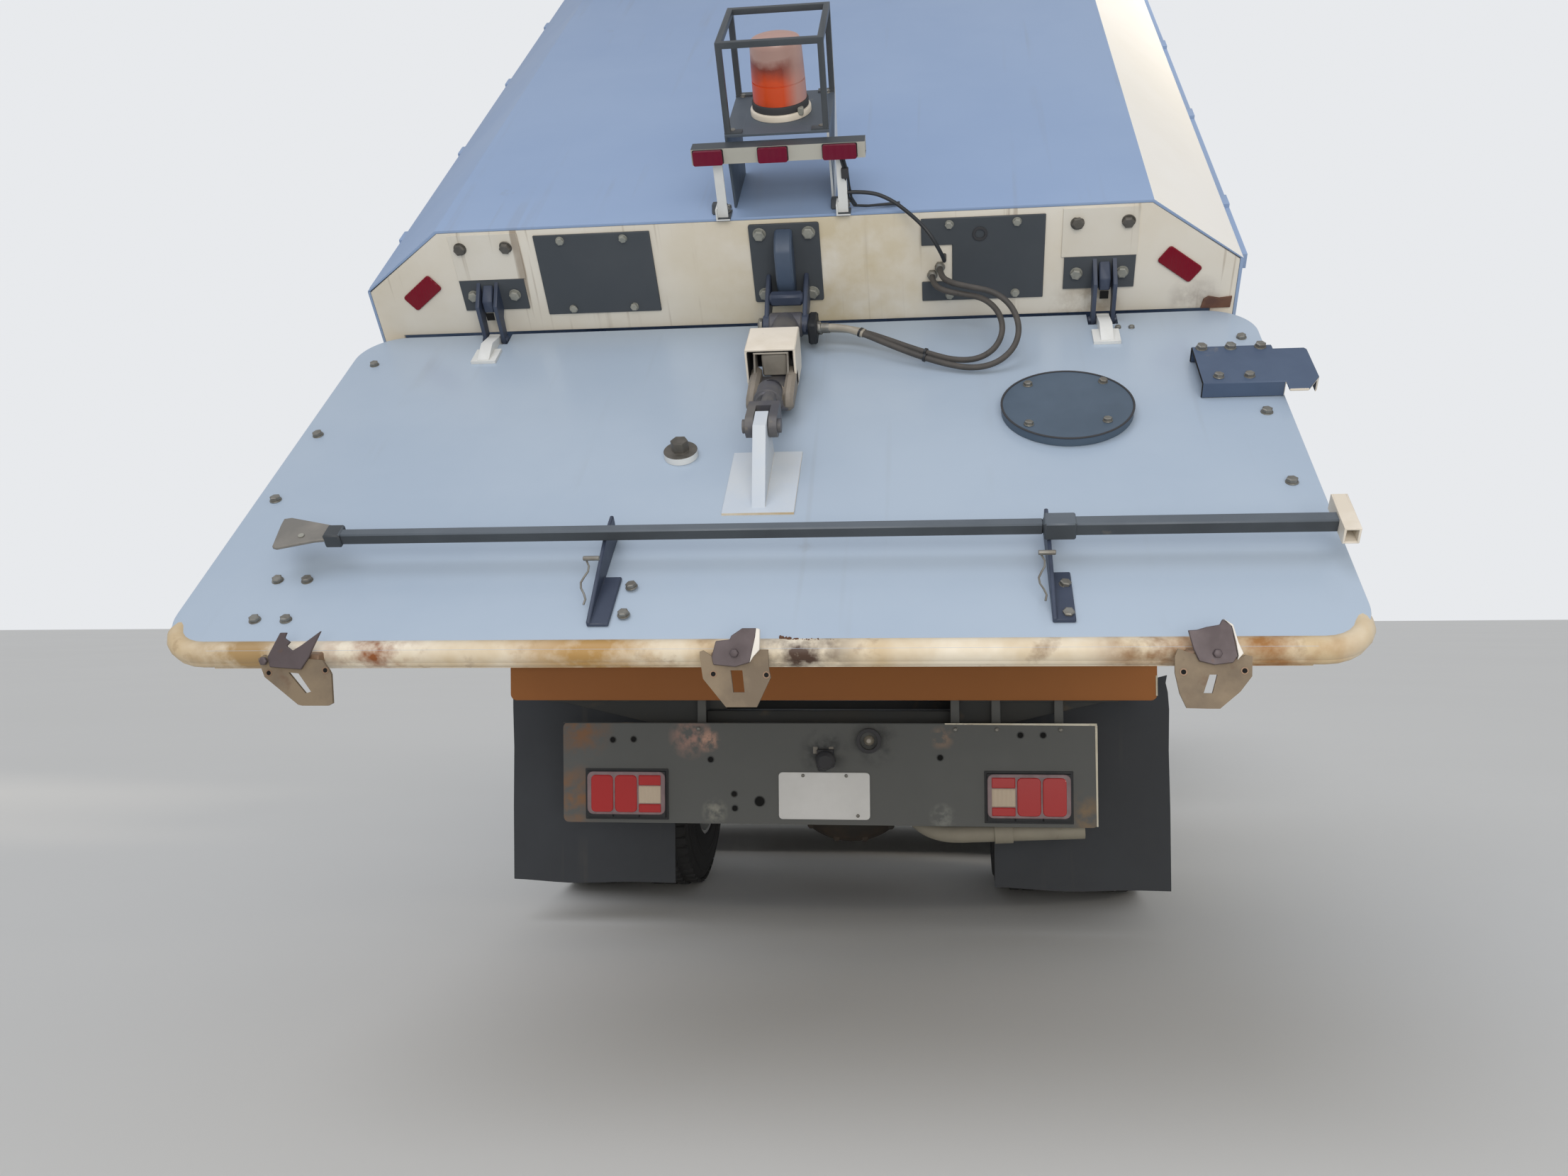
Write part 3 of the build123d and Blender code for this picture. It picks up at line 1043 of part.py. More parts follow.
def cab_profile():
    """The cab's side outline from the rear bottom corner round to the front."""
    return [(CAB_REAR, CAB_SIDE_BOTTOM), (5420, CAB_SIDE_BOTTOM), (5420, CAB_FRONT_BOTTOM),
            (CAB_FRONT, CAB_FRONT_BOTTOM), (CAB_FRONT, CAB_BELT), CAB_SCREEN_TOP,
            (CAB_ROOF_FRONT, CAB_ROOF), (CAB_REAR + 50, CAB_ROOF), (CAB_REAR, CAB_ROOF - 50)]


def door_outline(inset):
    """The side door's outline, drawn in by a gap."""
    slope = (CAB_FRONT - CAB_SCREEN_TOP[0]) / (CAB_SCREEN_TOP[1] - CAB_BELT)
    top = DOOR_TOP - inset
    front_top = DOOR_FRONT - (DOOR_TOP - CAB_BELT) * slope - inset
    return [(DOOR_REAR + inset, DOOR_BOTTOM + inset), (DOOR_FRONT - inset, DOOR_BOTTOM + inset),
            (DOOR_FRONT - inset, CAB_BELT), (front_top, top), (DOOR_REAR + inset, top)]


def door_window(inset):
    """The side window's outline inside the door."""
    slope = (CAB_FRONT - CAB_SCREEN_TOP[0]) / (CAB_SCREEN_TOP[1] - CAB_BELT)
    low, high = CAB_BELT + 60 + inset, DOOR_TOP - 80 - inset
    front_low = DOOR_FRONT - 80 - (low - CAB_BELT) * slope - inset
    front_high = DOOR_FRONT - 80 - (high - CAB_BELT) * slope - inset
    return [(DOOR_REAR + 80 + inset, low), (front_low, low), (front_high, high),
            (DOOR_REAR + 80 + inset, high)]


def cab_sides():
    """Two side frames, open at the door and over the wheel, with hinge brackets."""
    x = (CAB_HALF_WIDTH - CAB_WALL, CAB_HALF_WIDTH)
    wide = (x[0] - 1, x[1] + 1)
    side = side_form(cab_profile(), x)
    side -= side_form(door_outline(0), wide)
    side -= bar_x(FRONT_AXLE_Y, TYRE_RADIUS, ARCH_RADIUS, wide)
    for z in (1250, 1480):
        for low in (z - 32, z + 14):
            side += block((x[1], x[1] + 30), (DOOR_FRONT + 4, DOOR_FRONT + 45), (low, low + 18))
        side += bar_z(x[1] + 18, DOOR_FRONT + 18, 7, (z - 32, z + 32))
    return both_sides(side)


def cab_front():
    """Front panel with the windscreen's frame and the grille opening."""
    wall = CAB_WALL
    top_y, top_z = CAB_SCREEN_TOP
    x = (-CAB_HALF_WIDTH + wall, CAB_HALF_WIDTH - wall)
    panel = side_form([(CAB_FRONT, CAB_FRONT_BOTTOM), (CAB_FRONT, CAB_BELT), (top_y, top_z),
                       (top_y - wall, top_z - 12),
                       (CAB_FRONT - wall, CAB_BELT - 6), (CAB_FRONT - wall, CAB_FRONT_BOTTOM)], x)
    panel -= windscreen_slab(-CAB_HALF_WIDTH + 130, CAB_HALF_WIDTH - 130, 0.07, 0.93, -80, 20)
    for row in range(5):
        z = 980 + 60 * row
        panel -= block((-620, 620), (CAB_FRONT - 16, CAB_FRONT + 1), (z, z + 34))
    return panel


def windscreen_slab(x0, x1, share_low, share_high, inner, outer):
    """A slab along the windscreen's slope, between two depths measured along Y."""
    top_y, top_z = CAB_SCREEN_TOP

    def point(share, depth):
        return (CAB_FRONT + (top_y - CAB_FRONT) * share + depth, CAB_BELT + (top_z - CAB_BELT) * share)
    return side_form([point(share_low, inner), point(share_low, outer), point(share_high, outer),
                      point(share_high, inner)], (x0, x1))


def cab_glass():
    """Windscreen and rear window panes, set in their openings."""
    gap = SEAT_GAP
    share = gap / (CAB_SCREEN_TOP[1] - CAB_BELT)
    screen = windscreen_slab(-CAB_HALF_WIDTH + 130 + gap, CAB_HALF_WIDTH - 130 - gap, 0.07 + share,
                             0.93 - share, -30,
                             -30 + GLASS)
    rear = block((-400 + gap, 400 - gap), (CAB_REAR + 20, CAB_REAR + 20 + GLASS), (1750 + gap, 2250 - gap))
    return screen + rear


def cab_back():
    """Back wall with its window."""
    back = block((-CAB_HALF_WIDTH + CAB_WALL, CAB_HALF_WIDTH - CAB_WALL), (CAB_REAR, CAB_REAR + CAB_WALL),
                 (CAB_FLOOR, CAB_ROOF - CAB_WALL))
    back -= block((-400, 400), (CAB_REAR - 1, CAB_REAR + CAB_WALL + 1), (1750, 2250))
    return back


def cab_roof():
    """Roof with its sloping front."""
    wall = CAB_WALL
    top_y, top_z = CAB_SCREEN_TOP
    return side_form([(top_y, top_z), (CAB_ROOF_FRONT, CAB_ROOF), (CAB_REAR + 50, CAB_ROOF),
                      (CAB_REAR, CAB_ROOF - 50),
                      (CAB_ROOF_FRONT - 16, CAB_ROOF - wall), (top_y - wall, top_z - 12)],
                     (-CAB_HALF_WIDTH + wall, CAB_HALF_WIDTH - wall))


def cab_floor():
    """Floor with the two lugs that the cab tilts on."""
    wall = CAB_WALL
    floor = block((-CAB_HALF_WIDTH + wall, CAB_HALF_WIDTH - wall), (CAB_REAR + wall, CAB_FRONT - wall),
                  (CAB_FLOOR, CAB_FLOOR + wall))
    y, z = CAB_PIVOT_Y, CAB_PIVOT_Z
    x = (RAIL_X + 8, RAIL_X + 42)
    lug = side_form([(y - 160, CAB_FLOOR), (y, CAB_FLOOR), (y, CAB_FRONT_BOTTOM), (y + 26, z + 14),
                     (y + 26, z), (y - 26, z), (y - 60, z + 60)], x)
    lug += bar_x(y, z, 30, x)
    lug -= bar_x(y, z, 18 + RUNNING_GAP, (x[0] - 1, x[1] + 1))
    return floor + both_sides(lug)


def cab_interior():
    """Two seats, the dashboard, the column and the steering wheel."""
    floor = CAB_FLOOR + CAB_WALL
    seat = block((300, 780), (4560, 5060), (floor, floor + 260))
    cushion = fillet(block((290, 790), (4560, 5080), (floor + 260, floor + 400)).edges(), 30)
    back = Location((540, 4560, floor + 330), (8, 0, 0)) * Pos(0, 0, 360) * Box(480, 120, 720)
    seats = both_sides(seat + cushion + back)
    dash = side_form([(5700, floor + 380), (5700, floor + 520), (CAB_FRONT - 90, floor + 470),
                      (CAB_FRONT - 90, floor), (5940, floor), (5900, floor + 340)], (-1000, 1000))
    wheel_place = Location((-540, 5560, floor + 640), (55, 0, 0))
    ring = wheel_place * Torus(215, 15)
    spokes = wheel_place * (Box(430, 30, 12) + Cylinder(45, 40))
    column = bar((-540, 5560, floor + 640), (-540, 5760, floor + 480), 28)
    return seats + dash + (ring + spokes + column)


def mirrors():
    """Two mirrors on arms in front of the doors."""
    x = CAB_HALF_WIDTH
    housing = fillet(block((x + 90, x + 205), (5990, 6060), (1780, 2180)).edges(), 18)
    arms = block((x, x + 110), (6008, 6026), (2130, 2154)) + block((x, x + 110), (6008, 6026), (1810, 1834))
    return both_sides(housing + arms)


def cab_door():
    """Right cab door with its window pane and hinge tabs."""
    x = (CAB_HALF_WIDTH - CAB_WALL, CAB_HALF_WIDTH)
    panel = side_form(door_outline(MOVING_GAP), x)
    panel -= side_form(door_window(0), (x[0] - 1, x[1] + 1))
    pane = side_form(door_window(SEAT_GAP), (x[0] + 20, x[0] + 20 + GLASS))
    for z in (1250, 1480):
        tab = block((x[1], x[1] + 26), (DOOR_FRONT - 70, DOOR_FRONT - 10), (z - 13, z + 13))
        tab += block((x[1] + 6, x[1] + 26), (DOOR_FRONT - 15, DOOR_FRONT + 18), (z - 13, z + 13))
        tab += bar_z(x[1] + 18, DOOR_FRONT + 18, 12, (z - 13, z + 13))
        tab -= bar_z(x[1] + 18, DOOR_FRONT + 18, 7 + RUNNING_GAP, (z - 14, z + 14))
        panel += tab
    return panel + pane


def broom_arm():
    """Right broom arm with its hinge eye and motor."""
    px, py = BROOM_PIVOT
    cx, cy = BROOM_CENTRE
    length = hypot(cx - px, cy - py)
    angle = degrees(atan2(cy - py, cx - px))
    place = Location((px, py, ARM_BOTTOM), (0, 0, angle))
    arm = block((0, length), (-35, 35), (0, ARM_HEIGHT))
    arm += bar_z(0, 0, 45, (0, ARM_HEIGHT)) + bar_z(length, 0, 75, (0, ARM_HEIGHT))
    arm += bar_z(length, 0, 55, (-150, 0)) + bar_z(length, 0, 20, (-215, -150))
    arm -= bar_z(0, 0, 20 + RUNNING_GAP, (-1, ARM_HEIGHT + 1))
    return place * arm


def broom_bracket():
    """The bracket on the rail that the broom arm turns on."""
    px, py = BROOM_PIVOT
    top = ARM_BOTTOM + ARM_HEIGHT + 2
    bracket = block((RAIL_X, px), (py - 40, py + 40), (top, RAIL_BOTTOM + 100)) + bar_z(px, py, 45,
                                                                                        (top, top + 30))
    return bracket + bar_z(px, py, 20, (ARM_BOTTOM - 4, top)) + bar_z(px, py, 34,
                                                                      (ARM_BOTTOM - 14, ARM_BOTTOM - 2))


def broom():
    """Right broom: hub plate and a cone of bristles."""
    cx, cy = BROOM_CENTRE
    plate_low = ARM_BOTTOM - 215
    plate = lathe_z([(20 + RUNNING_GAP, plate_low), (BROOM_PLATE_RADIUS, plate_low),
                     (BROOM_PLATE_RADIUS, plate_low + 22), (90, plate_low + 22), (60, plate_low + 55),
                     (20 + RUNNING_GAP, plate_low + 55)])
    bristles = lathe_z([(BROOM_PLATE_RADIUS - 90, plate_low), (BROOM_PLATE_RADIUS - 5, plate_low),
                        (BROOM_RADIUS, BROOM_BOTTOM), (BROOM_RADIUS - 120, BROOM_BOTTOM)])
    return Pos(cx, cy, 0) * (plate + bristles)


NODES = {
    "chassis_frame": chassis_frame,
    "hopper_subframe": hopper_subframe,
    "tail_plate": tail_plate,
    "tail_lamps": tail_lamps,
    "mud_flaps": mud_flaps,
    "rear_mudguards": rear_mudguards,
    "exhaust_system": exhaust_system,
    "rear_axle": rear_axle,
    "front_axle": front_axle,
    "engine_and_drive_shaft": engine_and_drive_shaft,
    "fuel_tank": fuel_tank,
    "pickup_head": pickup_head,
    "suction_ducts": suction_ducts,
    "power_pack_housing": power_pack_housing,
    "front_bumper": front_bumper,
    "hopper_floor": hopper_floor,
    "hopper_sides": hopper_sides,
    "hopper_roof": hopper_roof,
    "hopper_ends": hopper_ends,
    "band_fittings": band_fittings,
    "light_bar": light_bar,
    "beacon_guard": beacon_guard,
    "beacon": beacon,
    "door_hose_upper": lambda: hose("door_hose_upper"),
    "door_hose_lower": lambda: hose("door_hose_lower"),
    "light_cable": lambda: hose("light_cable"),
    "rear_door": rear_door,
    "door_fittings": door_fittings,
    "latch_rod": latch_rod,
    "door_latches": door_latches,
    "lift_barrels": lambda: lift_cylinder("barrel"),
    "lift_rods": lambda: lift_cylinder("rod"),
    "door_cylinder_barrel": lambda: door_cylinder("barrel"),
    "door_cylinder_rod": lambda: door_cylinder("rod"),
    "cab_floor": cab_floor,
    "cab_sides": cab_sides,
    "cab_front": cab_front,
    "cab_back": cab_back,
    "cab_roof": cab_roof,
    "cab_glass": cab_glass,
    "cab_interior": cab_interior,
    "mirrors": mirrors,
    "cab_door_right": cab_door,
    "cab_door_left": lambda: mirrored(cab_door()),
    "knuckle_right": knuckle,
    "knuckle_left": lambda: mirrored(knuckle()),
    "front_wheel_right": front_wheel,
    "front_wheel_left": lambda: mirrored(front_wheel()),
    "rear_wheels_right": rear_wheels,
    "rear_wheels_left": lambda: mirrored(rear_wheels()),
    "broom_arm_right": broom_arm,
    "broom_arm_left": lambda: mirrored(broom_arm()),
    "broom_right": broom,
    "broom_left": lambda: mirrored(broom()),
}

if __name__ == "__main__":
    os.makedirs("parts", exist_ok=True)
    for name, build in NODES.items():
        export_step(Pos(0, -ORIGIN_Y, 0) * build(), f"parts/{name}.step")
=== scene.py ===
"""A street sweeper truck seen from behind, with its hopper tipped back and its rear door open.

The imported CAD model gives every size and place. Its nodes come in merged, bevelled and painted,
and what CAD leaves out is added to them: fasteners, lenses, tread, bristles, hoses and dirt.
Lengths in this file are millimetres in a sub-assembly's own frame, unless a name ends in _m.
"""
import logging
import math
from collections.abc import Callable, Iterable, Iterator, Sequence
from dataclasses import dataclass, field
from enum import Enum
from functools import partial

import bmesh
import bpy
from mathutils import Matrix, Vector


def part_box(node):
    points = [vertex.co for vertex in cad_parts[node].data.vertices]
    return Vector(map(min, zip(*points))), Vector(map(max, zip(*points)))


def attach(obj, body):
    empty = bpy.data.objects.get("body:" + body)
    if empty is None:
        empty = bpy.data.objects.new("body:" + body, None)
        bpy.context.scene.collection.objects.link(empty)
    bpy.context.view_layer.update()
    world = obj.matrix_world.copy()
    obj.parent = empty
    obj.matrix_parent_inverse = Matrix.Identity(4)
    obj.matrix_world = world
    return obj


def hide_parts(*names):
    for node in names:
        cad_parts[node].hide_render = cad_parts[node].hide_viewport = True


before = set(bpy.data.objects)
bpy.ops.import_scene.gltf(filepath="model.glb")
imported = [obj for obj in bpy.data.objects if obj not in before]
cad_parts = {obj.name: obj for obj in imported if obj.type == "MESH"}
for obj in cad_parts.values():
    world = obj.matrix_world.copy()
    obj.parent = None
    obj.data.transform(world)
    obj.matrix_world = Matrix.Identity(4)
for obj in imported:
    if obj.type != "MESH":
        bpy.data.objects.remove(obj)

log = logging.getLogger("sweeper")
Point = Sequence[float]
Span = tuple[float, float]
Tree = bpy.types.NodeTree
Socket = bpy.types.NodeSocket
Solid = bmesh.types.BMesh
Corner = bmesh.types.BMVert

# Scale of a noise texture whose patches are about one millimetre across, and how ragged they are
FINE_NOISE = 500
NOISE_RAG = 0.58
# How wide the areas are in which water has left its runs
RUN_AREA_MM = 150
# By how many radians an edge turns that is bevelled, and one that is shaded sharp
SHARP_TURN = (0.6, 3.0)
SHADED_TURN = 0.62
# How near each other two CAD corners are when they are one, and how flat an edge is that is left out
MERGE_M = 2e-5
FLAT_DEGREES = 0.6

# Driving dimensions, as in the CAD source
BUMPER_FRONT = 6230
ORIGIN_Y = BUMPER_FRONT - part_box("front_bumper")[1].y * 1000
HOPPER_TILT = 41
DOOR_TILT = 39
HINGE_LINE = 1283
HINGE_POSED = (-823, 1922)
HOPPER_HEIGHT = 1590
HOPPER_HALF_WIDTH = 1168
DOOR_LENGTH = 1349
REAR_AXLE_Y = 1050
FRONT_AXLE_Y = 4850
TYRE_RADIUS = 490
TYRE_WIDTH = 275
RIM_RADIUS = 286
WHEEL_X = 1030
TWIN_SPACING = 310
LAMP_INNER_X, LAMP_OUTER_X = 535, 805
LAMP_BOTTOM, LAMP_TOP = 440, 595
ROOF_TOP = HOPPER_HEIGHT
CAB_FRONT = 6130
BROOM_CENTRE = (720, 3450)
HANGER_X = (-423, 434, 569, 774)
# The ways that pieces face in their own frame
ACROSS, BACK, UP = (1, 0, 0), (0, -1, 0), (0, 0, 1)


@dataclass(frozen=True)
class Place:
    """A sub-assembly's own frame: where its origin stands on the chassis, and its tilt about X."""

    y: float
    z: float
    tilt: float

    def matrix(self) -> Matrix:
        """The matrix from this frame in millimetres to the row frame in metres."""
        shift = Matrix.Translation((0, (self.y - ORIGIN_Y) / 1000, self.z / 1000))
        return shift @ Matrix.Rotation(math.radians(self.tilt), 4, "X") @ Matrix.Scale(0.001, 4)

    def at(self, x: float, y: float, z: float) -> Vector:
        """A point of this frame, in the row frame."""
        return self.matrix() @ Vector((x, y, z))


_up = math.radians(HOPPER_TILT)
CHASSIS = Place(0, 0, 0)
HOPPER = Place(HINGE_POSED[0] + HINGE_LINE * math.sin(_up), HINGE_POSED[1] - HINGE_LINE * math.cos(_up),
               HOPPER_TILT)
DOOR = Place(*HINGE_POSED, DOOR_TILT)


class Lie(Enum):
    """Which way water has run down a surface, as a tilt about X."""

    UPRIGHT = 0
    HOPPER = HOPPER_TILT
    DOOR = DOOR_TILT


def linear(code: str) -> tuple[float, float, float, float]:
    """Turns an sRGB hex colour into linear RGBA."""
    parts = [int(code[i:i + 2], 16) / 255 for i in (1, 3, 5)]
    flat = [c / 12.92 if c <= 0.04045 else ((c + 0.055) / 1.055) ** 2.4 for c in parts]
    return (*flat, 1.0)


def node(tree: Tree, kind: str, inputs: dict | None = None, **settings: object) -> bpy.types.Node:
    """Adds one node, sets its properties and fills or links its inputs.

    Args:
        tree: The node tree that gets the node.
        kind: The node's type name.
        inputs: Values or output sockets, by the name or index of the input that takes them.
        **settings: The node's own properties.

    Returns:
        The new node.
    """
    made = tree.nodes.new(kind)
    for name, value in settings.items():
        setattr(made, name, value)
    for key, value in (inputs or {}).items():
        if isinstance(value, Socket):
            tree.links.new(value, made.inputs[key])
        else:
            made.inputs[key].default_value = value
    return made


@dataclass(frozen=True)
class Look:
    """What a surface is made of or coated with."""

    name: str

    def material(self) -> bpy.types.Material:
        """Builds the node material once and returns it."""
        made = bpy.data.materials.get(self.name)
        if made is None:
            made = bpy.data.materials.new(self.name)
            made.use_nodes = True
            tree = made.node_tree
            tree.nodes.clear()
            spot = node(tree, "ShaderNodeTexCoord").outputs["Object"]
            shader = node(tree, "ShaderNodeBsdfPrincipled", self.inputs(tree, spot))
            node(tree, "ShaderNodeOutputMaterial", {"Surface": shader.outputs[0]})
        return made

    def inputs(self, tree: Tree, spot: Socket) -> dict[str, object]:
        """The shader's inputs by name, some of them fed by patterns over the object's own coordinates."""
        raise NotImplementedError


@dataclass(frozen=True)
class Finish(Look):
    """A weathered opaque surface: a ground colour, soft mottling, grime, run marks, stains and a fine bump.

    The patterns' sizes are real ones, in millimetres.
    """

    colour: str
    worn: str = "#808080"
    worn_mm: float = 60
    worn_share: float = 0.5
    dirt: str = "#5b4a38"
    dirt_mm: float = 24
    dirt_share: float = 0.1
    run_share: float = 0.0
    run_mm: float = 9
    lie: Lie = Lie.UPRIGHT
    roughness: float = 0.5
    metallic: float = 0.0
    grain_mm: float = 3
    grain_depth_mm: float = 0.1
    coat: float = 0.0
    patches: tuple[tuple[tuple[float, float, float], float, str], ...] = ()

    def inputs(self, tree: Tree, spot: Socket) -> dict[str, object]:
        """Lays mottling, grime, run marks and stains over the ground colour."""
        mottle, shade = self._layer(tree, spot, linear(self.colour), self.worn, self.worn_mm, 5, (0.42, 0.62),
                                    self.worn_share)
        low = 0.72 - 0.32 * self.dirt_share
        _, shade = self._layer(tree, spot, shade, self.dirt, self.dirt_mm, 9, (low, low + 0.16), 0.85)
        if self.run_share:
            _, shade = self._layer(tree, spot, shade, self.dirt, RUN_AREA_MM, 3, (0.42, 0.62), self.run_share,
                                   self._streaks(tree, spot))
        for centre, reach, code in self.patches:
            far = node(tree, "ShaderNodeVectorMath", {0: spot, 1: centre}, operation="DISTANCE")
            near = node(tree, "ShaderNodeMapRange", {"Value": far.outputs["Value"], "From Min": reach,
                                                     "From Max": reach * 0.25})
            _, shade = self._layer(tree, spot, shade, code, reach * 260, 6, (0.4, 0.6), 1.0, near.outputs[0])
        rough = node(tree, "ShaderNodeMapRange", {"Value": mottle, "From Min": 0.3, "From Max": 0.7,
                                                  "To Min": max(0.05, self.roughness - 0.08),
                                                  "To Max": min(1.0, self.roughness + 0.1)})
        grain = node(tree, "ShaderNodeTexNoise", {"Vector": spot, "Scale": FINE_NOISE / self.grain_mm,
                                                  "Detail": 3, "Roughness": NOISE_RAG})
        bump = node(tree, "ShaderNodeBump", {"Height": grain.outputs["Fac"], "Strength": 0.6,
                                             "Distance": self.grain_depth_mm / 1000})
        return {"Base Color": shade, "Roughness": rough.outputs[0], "Metallic": self.metallic,
                "Coat Weight": self.coat, "Coat Roughness": 0.15, "Normal": bump.outputs[0]}

    def _layer(self, tree: Tree, spot: Socket, under: object, code: str, size_mm: float, detail: float, rise: Span,
               most: float, within: Socket | None = None) -> tuple[Socket, Socket]:
        """Lays ragged patches of one colour over what is there.

        Args:
            tree: The material's node tree.
            spot: The coordinates.
            under: The colour or socket below.
            code: The layer's colour.
            size_mm: Width of its patches.
            detail: How far the patches' edges break up.
            rise: The noise at which a patch begins and at which it is full.
            most: How much of the layer a full patch shows.
            within: A mask that the layer keeps to, if it has one.

        Returns:
            The layer's noise, and the colour with the layer on it.
        """
        noise = node(tree, "ShaderNodeTexNoise", {"Vector": spot, "Scale": FINE_NOISE / size_mm,
                                                  "Detail": detail, "Roughness": NOISE_RAG}).outputs["Fac"]
        share = node(tree, "ShaderNodeMapRange", {"Value": noise, "From Min": rise[0], "From Max": rise[1],
                                                  "To Max": most}).outputs[0]
        if within is not None:
            share = node(tree, "ShaderNodeMath", {0: within, 1: share}, operation="MULTIPLY").outputs[0]
        mixed = node(tree, "ShaderNodeMix", {0: share, 6: under, 7: linear(code)}, data_type="RGBA")
        return noise, mixed.outputs[2]

    def _streaks(self, tree: Tree, spot: Socket) -> Socket:
        """A mask of the lines that water has drawn, run_mm wide and thirty times as long."""
        turned = node(tree, "ShaderNodeMapping",
                      {"Vector": spot, "Rotation": (-math.radians(self.lie.value), 0, 0)})
        drawn = node(tree, "ShaderNodeMapping", {"Vector": turned.outputs[0], "Scale": (1, 0.03, 0.03)})
        lines = node(tree, "ShaderNodeTexNoise", {"Vector": drawn.outputs[0], "Scale": FINE_NOISE / self.run_mm,
                                                  "Detail": 2, "Roughness": NOISE_RAG})
        return node(tree, "ShaderNodeMapRange", {"Value": lines.outputs["Fac"], "From Min": 0.6,
                                                 "From Max": 0.68}).outputs[0]


@dataclass(frozen=True)
class Clear(Look):
    """A see-through or ribbed moulding: a lamp lens, a reflector or a window pane."""

    colour: str
    roughness: float = 0.3
    through: float = 0.0
    ior: float = 1.49
    ribs_mm: float = 0.0
    smooth: bool = False
    dust: str = "#6a5a50"

    def inputs(self, tree: Tree, spot: Socket) -> dict[str, object]:
        """Clouds the colour with a little dust, unless the pane is smooth, and ribs the surface."""
        cloud = node(tree, "ShaderNodeTexNoise", {"Vector": spot, "Scale": 14, "Detail": 6})
        share = node(tree, "ShaderNodeMapRange", {"Value": cloud.outputs["Fac"], "From Min": 0.4,
                                                  "From Max": 0.72, "To Max": 0.0 if self.smooth else 0.08})
        shade = node(tree, "ShaderNodeMix", {0: share.outputs[0], 6: linear(self.colour), 7: linear(self.dust)},
                     data_type="RGBA")
        given = {"Base Color": shade.outputs[2], "Roughness": self.roughness, "IOR": self.ior,
                 "Transmission Weight": self.through, "Specular IOR Level": 0.5 if self.smooth else 0.22}
        if self.ribs_mm:
            ribs = node(tree, "ShaderNodeTexWave", {"Vector": spot, "Scale": 1000 / self.ribs_mm / 6.28},
                        bands_direction="X")
            given["Normal"] = node(tree, "ShaderNodeBump", {"Height": ribs.outputs["Fac"], "Strength": 0.5,
                                                            "Distance": 0.002}).outputs[0]
        return given


@dataclass(frozen=True)
class BeaconDome(Look):
    """Amber polycarbonate with painted light: a glowing band and a faint emission where the sun would come through,
    painted shade below and above it, and bleached pink on top and at the right.
    """

    glowing: str = "#c9450c"
    shaded: str = "#7d3220"
    bleached: str = "#b08d82"
    foot_mm: float = HOPPER_HEIGHT + 205
    tall_mm: float = 188

    def inputs(self, tree: Tree, spot: Socket) -> dict[str, object]:
        """Colours the dome by height above its foot, from painted shade through a painted sunlit glow, and bleaches its
        right side.
        """
        foot = HOPPER.at(0, 170, self.foot_mm)
        level = node(tree, "ShaderNodeVectorMath", {0: spot, 1: -foot}, operation="ADD")
        turned = node(tree, "ShaderNodeMapping", {"Vector": level.outputs[0],
                                                  "Rotation": (-math.radians(HOPPER_TILT), 0, 0)})
        parts = node(tree, "ShaderNodeSeparateXYZ", {0: turned.outputs[0]}).outputs
        cloud = node(tree, "ShaderNodeTexNoise", {"Vector": spot, "Scale": 22, "Detail": 7}).outputs["Fac"]
        height = node(tree, "ShaderNodeMath", {0: cloud, 1: 0.05, 2: parts["Z"]}, operation="MULTIPLY_ADD")
        share = node(tree, "ShaderNodeMapRange", {"Value": height.outputs[0], "From Max": self.tall_mm / 1000})
        ramp = node(tree, "ShaderNodeValToRGB", {0: share.outputs[0]})
        stops = ((0.1, self.shaded), (0.38, self.glowing), (0.62, self.glowing), (0.82, self.shaded),
                 (0.93, self.bleached))
        ramp.color_ramp.elements.remove(ramp.color_ramp.elements[1])
        for at, code in stops:
            ramp.color_ramp.elements.new(at).color = linear(code)
        side = node(tree, "ShaderNodeMapRange", {"Value": parts["X"], "From Min": 0.018, "From Max": 0.05,
                                                 "To Max": 0.85})
        shade = node(tree, "ShaderNodeMix", {0: side.outputs[0], 6: ramp.outputs[0], 7: linear(self.bleached)},
                     data_type="RGBA").outputs[2]
        # The faint emission is painted glow: the sun coming through, not a lit lamp
        return {"Base Color": shade, "Roughness": 0.34, "IOR": 1.58, "Emission Color": shade,
                "Emission Strength": 0.12}


BEACON_AMBER = BeaconDome("beacon_amber")
# Stains: a place in the row frame's metres, how far each reaches, and its colour
BAND_STAINS = (((1.06, -2.86, 1.99), 0.12, "#5a3a2c"),
               ((0.78, -2.88, 1.98), 0.12, "#8a7350"),
               ((0.1, -2.95, 2.06), 0.45, "#cdbf9f"))
LIP_STAINS = (((-0.73, -3.97, 1.06), 0.13, "#8a4f22"),
              ((0.13, -3.97, 1.06), 0.12, "#4a3426"),
              ((-0.25, -3.97, 1.06), 0.3, "#b08a50"),
              ((0.8, -3.97, 1.06), 0.14, "#8a6238"),
              ((0.98, -3.97, 1.06), 0.2, "#9a6a35"),
              ((-1.0, -3.97, 1.06), 0.15, "#a88a5c"))
TAIL_STAINS = (((-0.83, -2.09, 0.74), 0.12, "#7d5a3e"),
               ((-0.86, -2.09, 0.5), 0.13, "#86603f"),
               ((-0.45, -2.09, 0.71), 0.08, "#a98578"),
               ((-0.39, -2.09, 0.7), 0.045, "#c39a86"),
               ((0.39, -2.09, 0.71), 0.045, "#8d7563"),
               ((-0.37, -2.09, 0.46), 0.05, "#8a8a80"),
               ((0.39, -2.09, 0.45), 0.05, "#80827c"),
               ((0.0, -2.09, 0.66), 0.09, "#2c2e30"),
               ((0.17, -2.09, 0.69), 0.09, "#3a3c3c"),
               ((0.86, -2.09, 0.45), 0.1, "#7d6a52"))
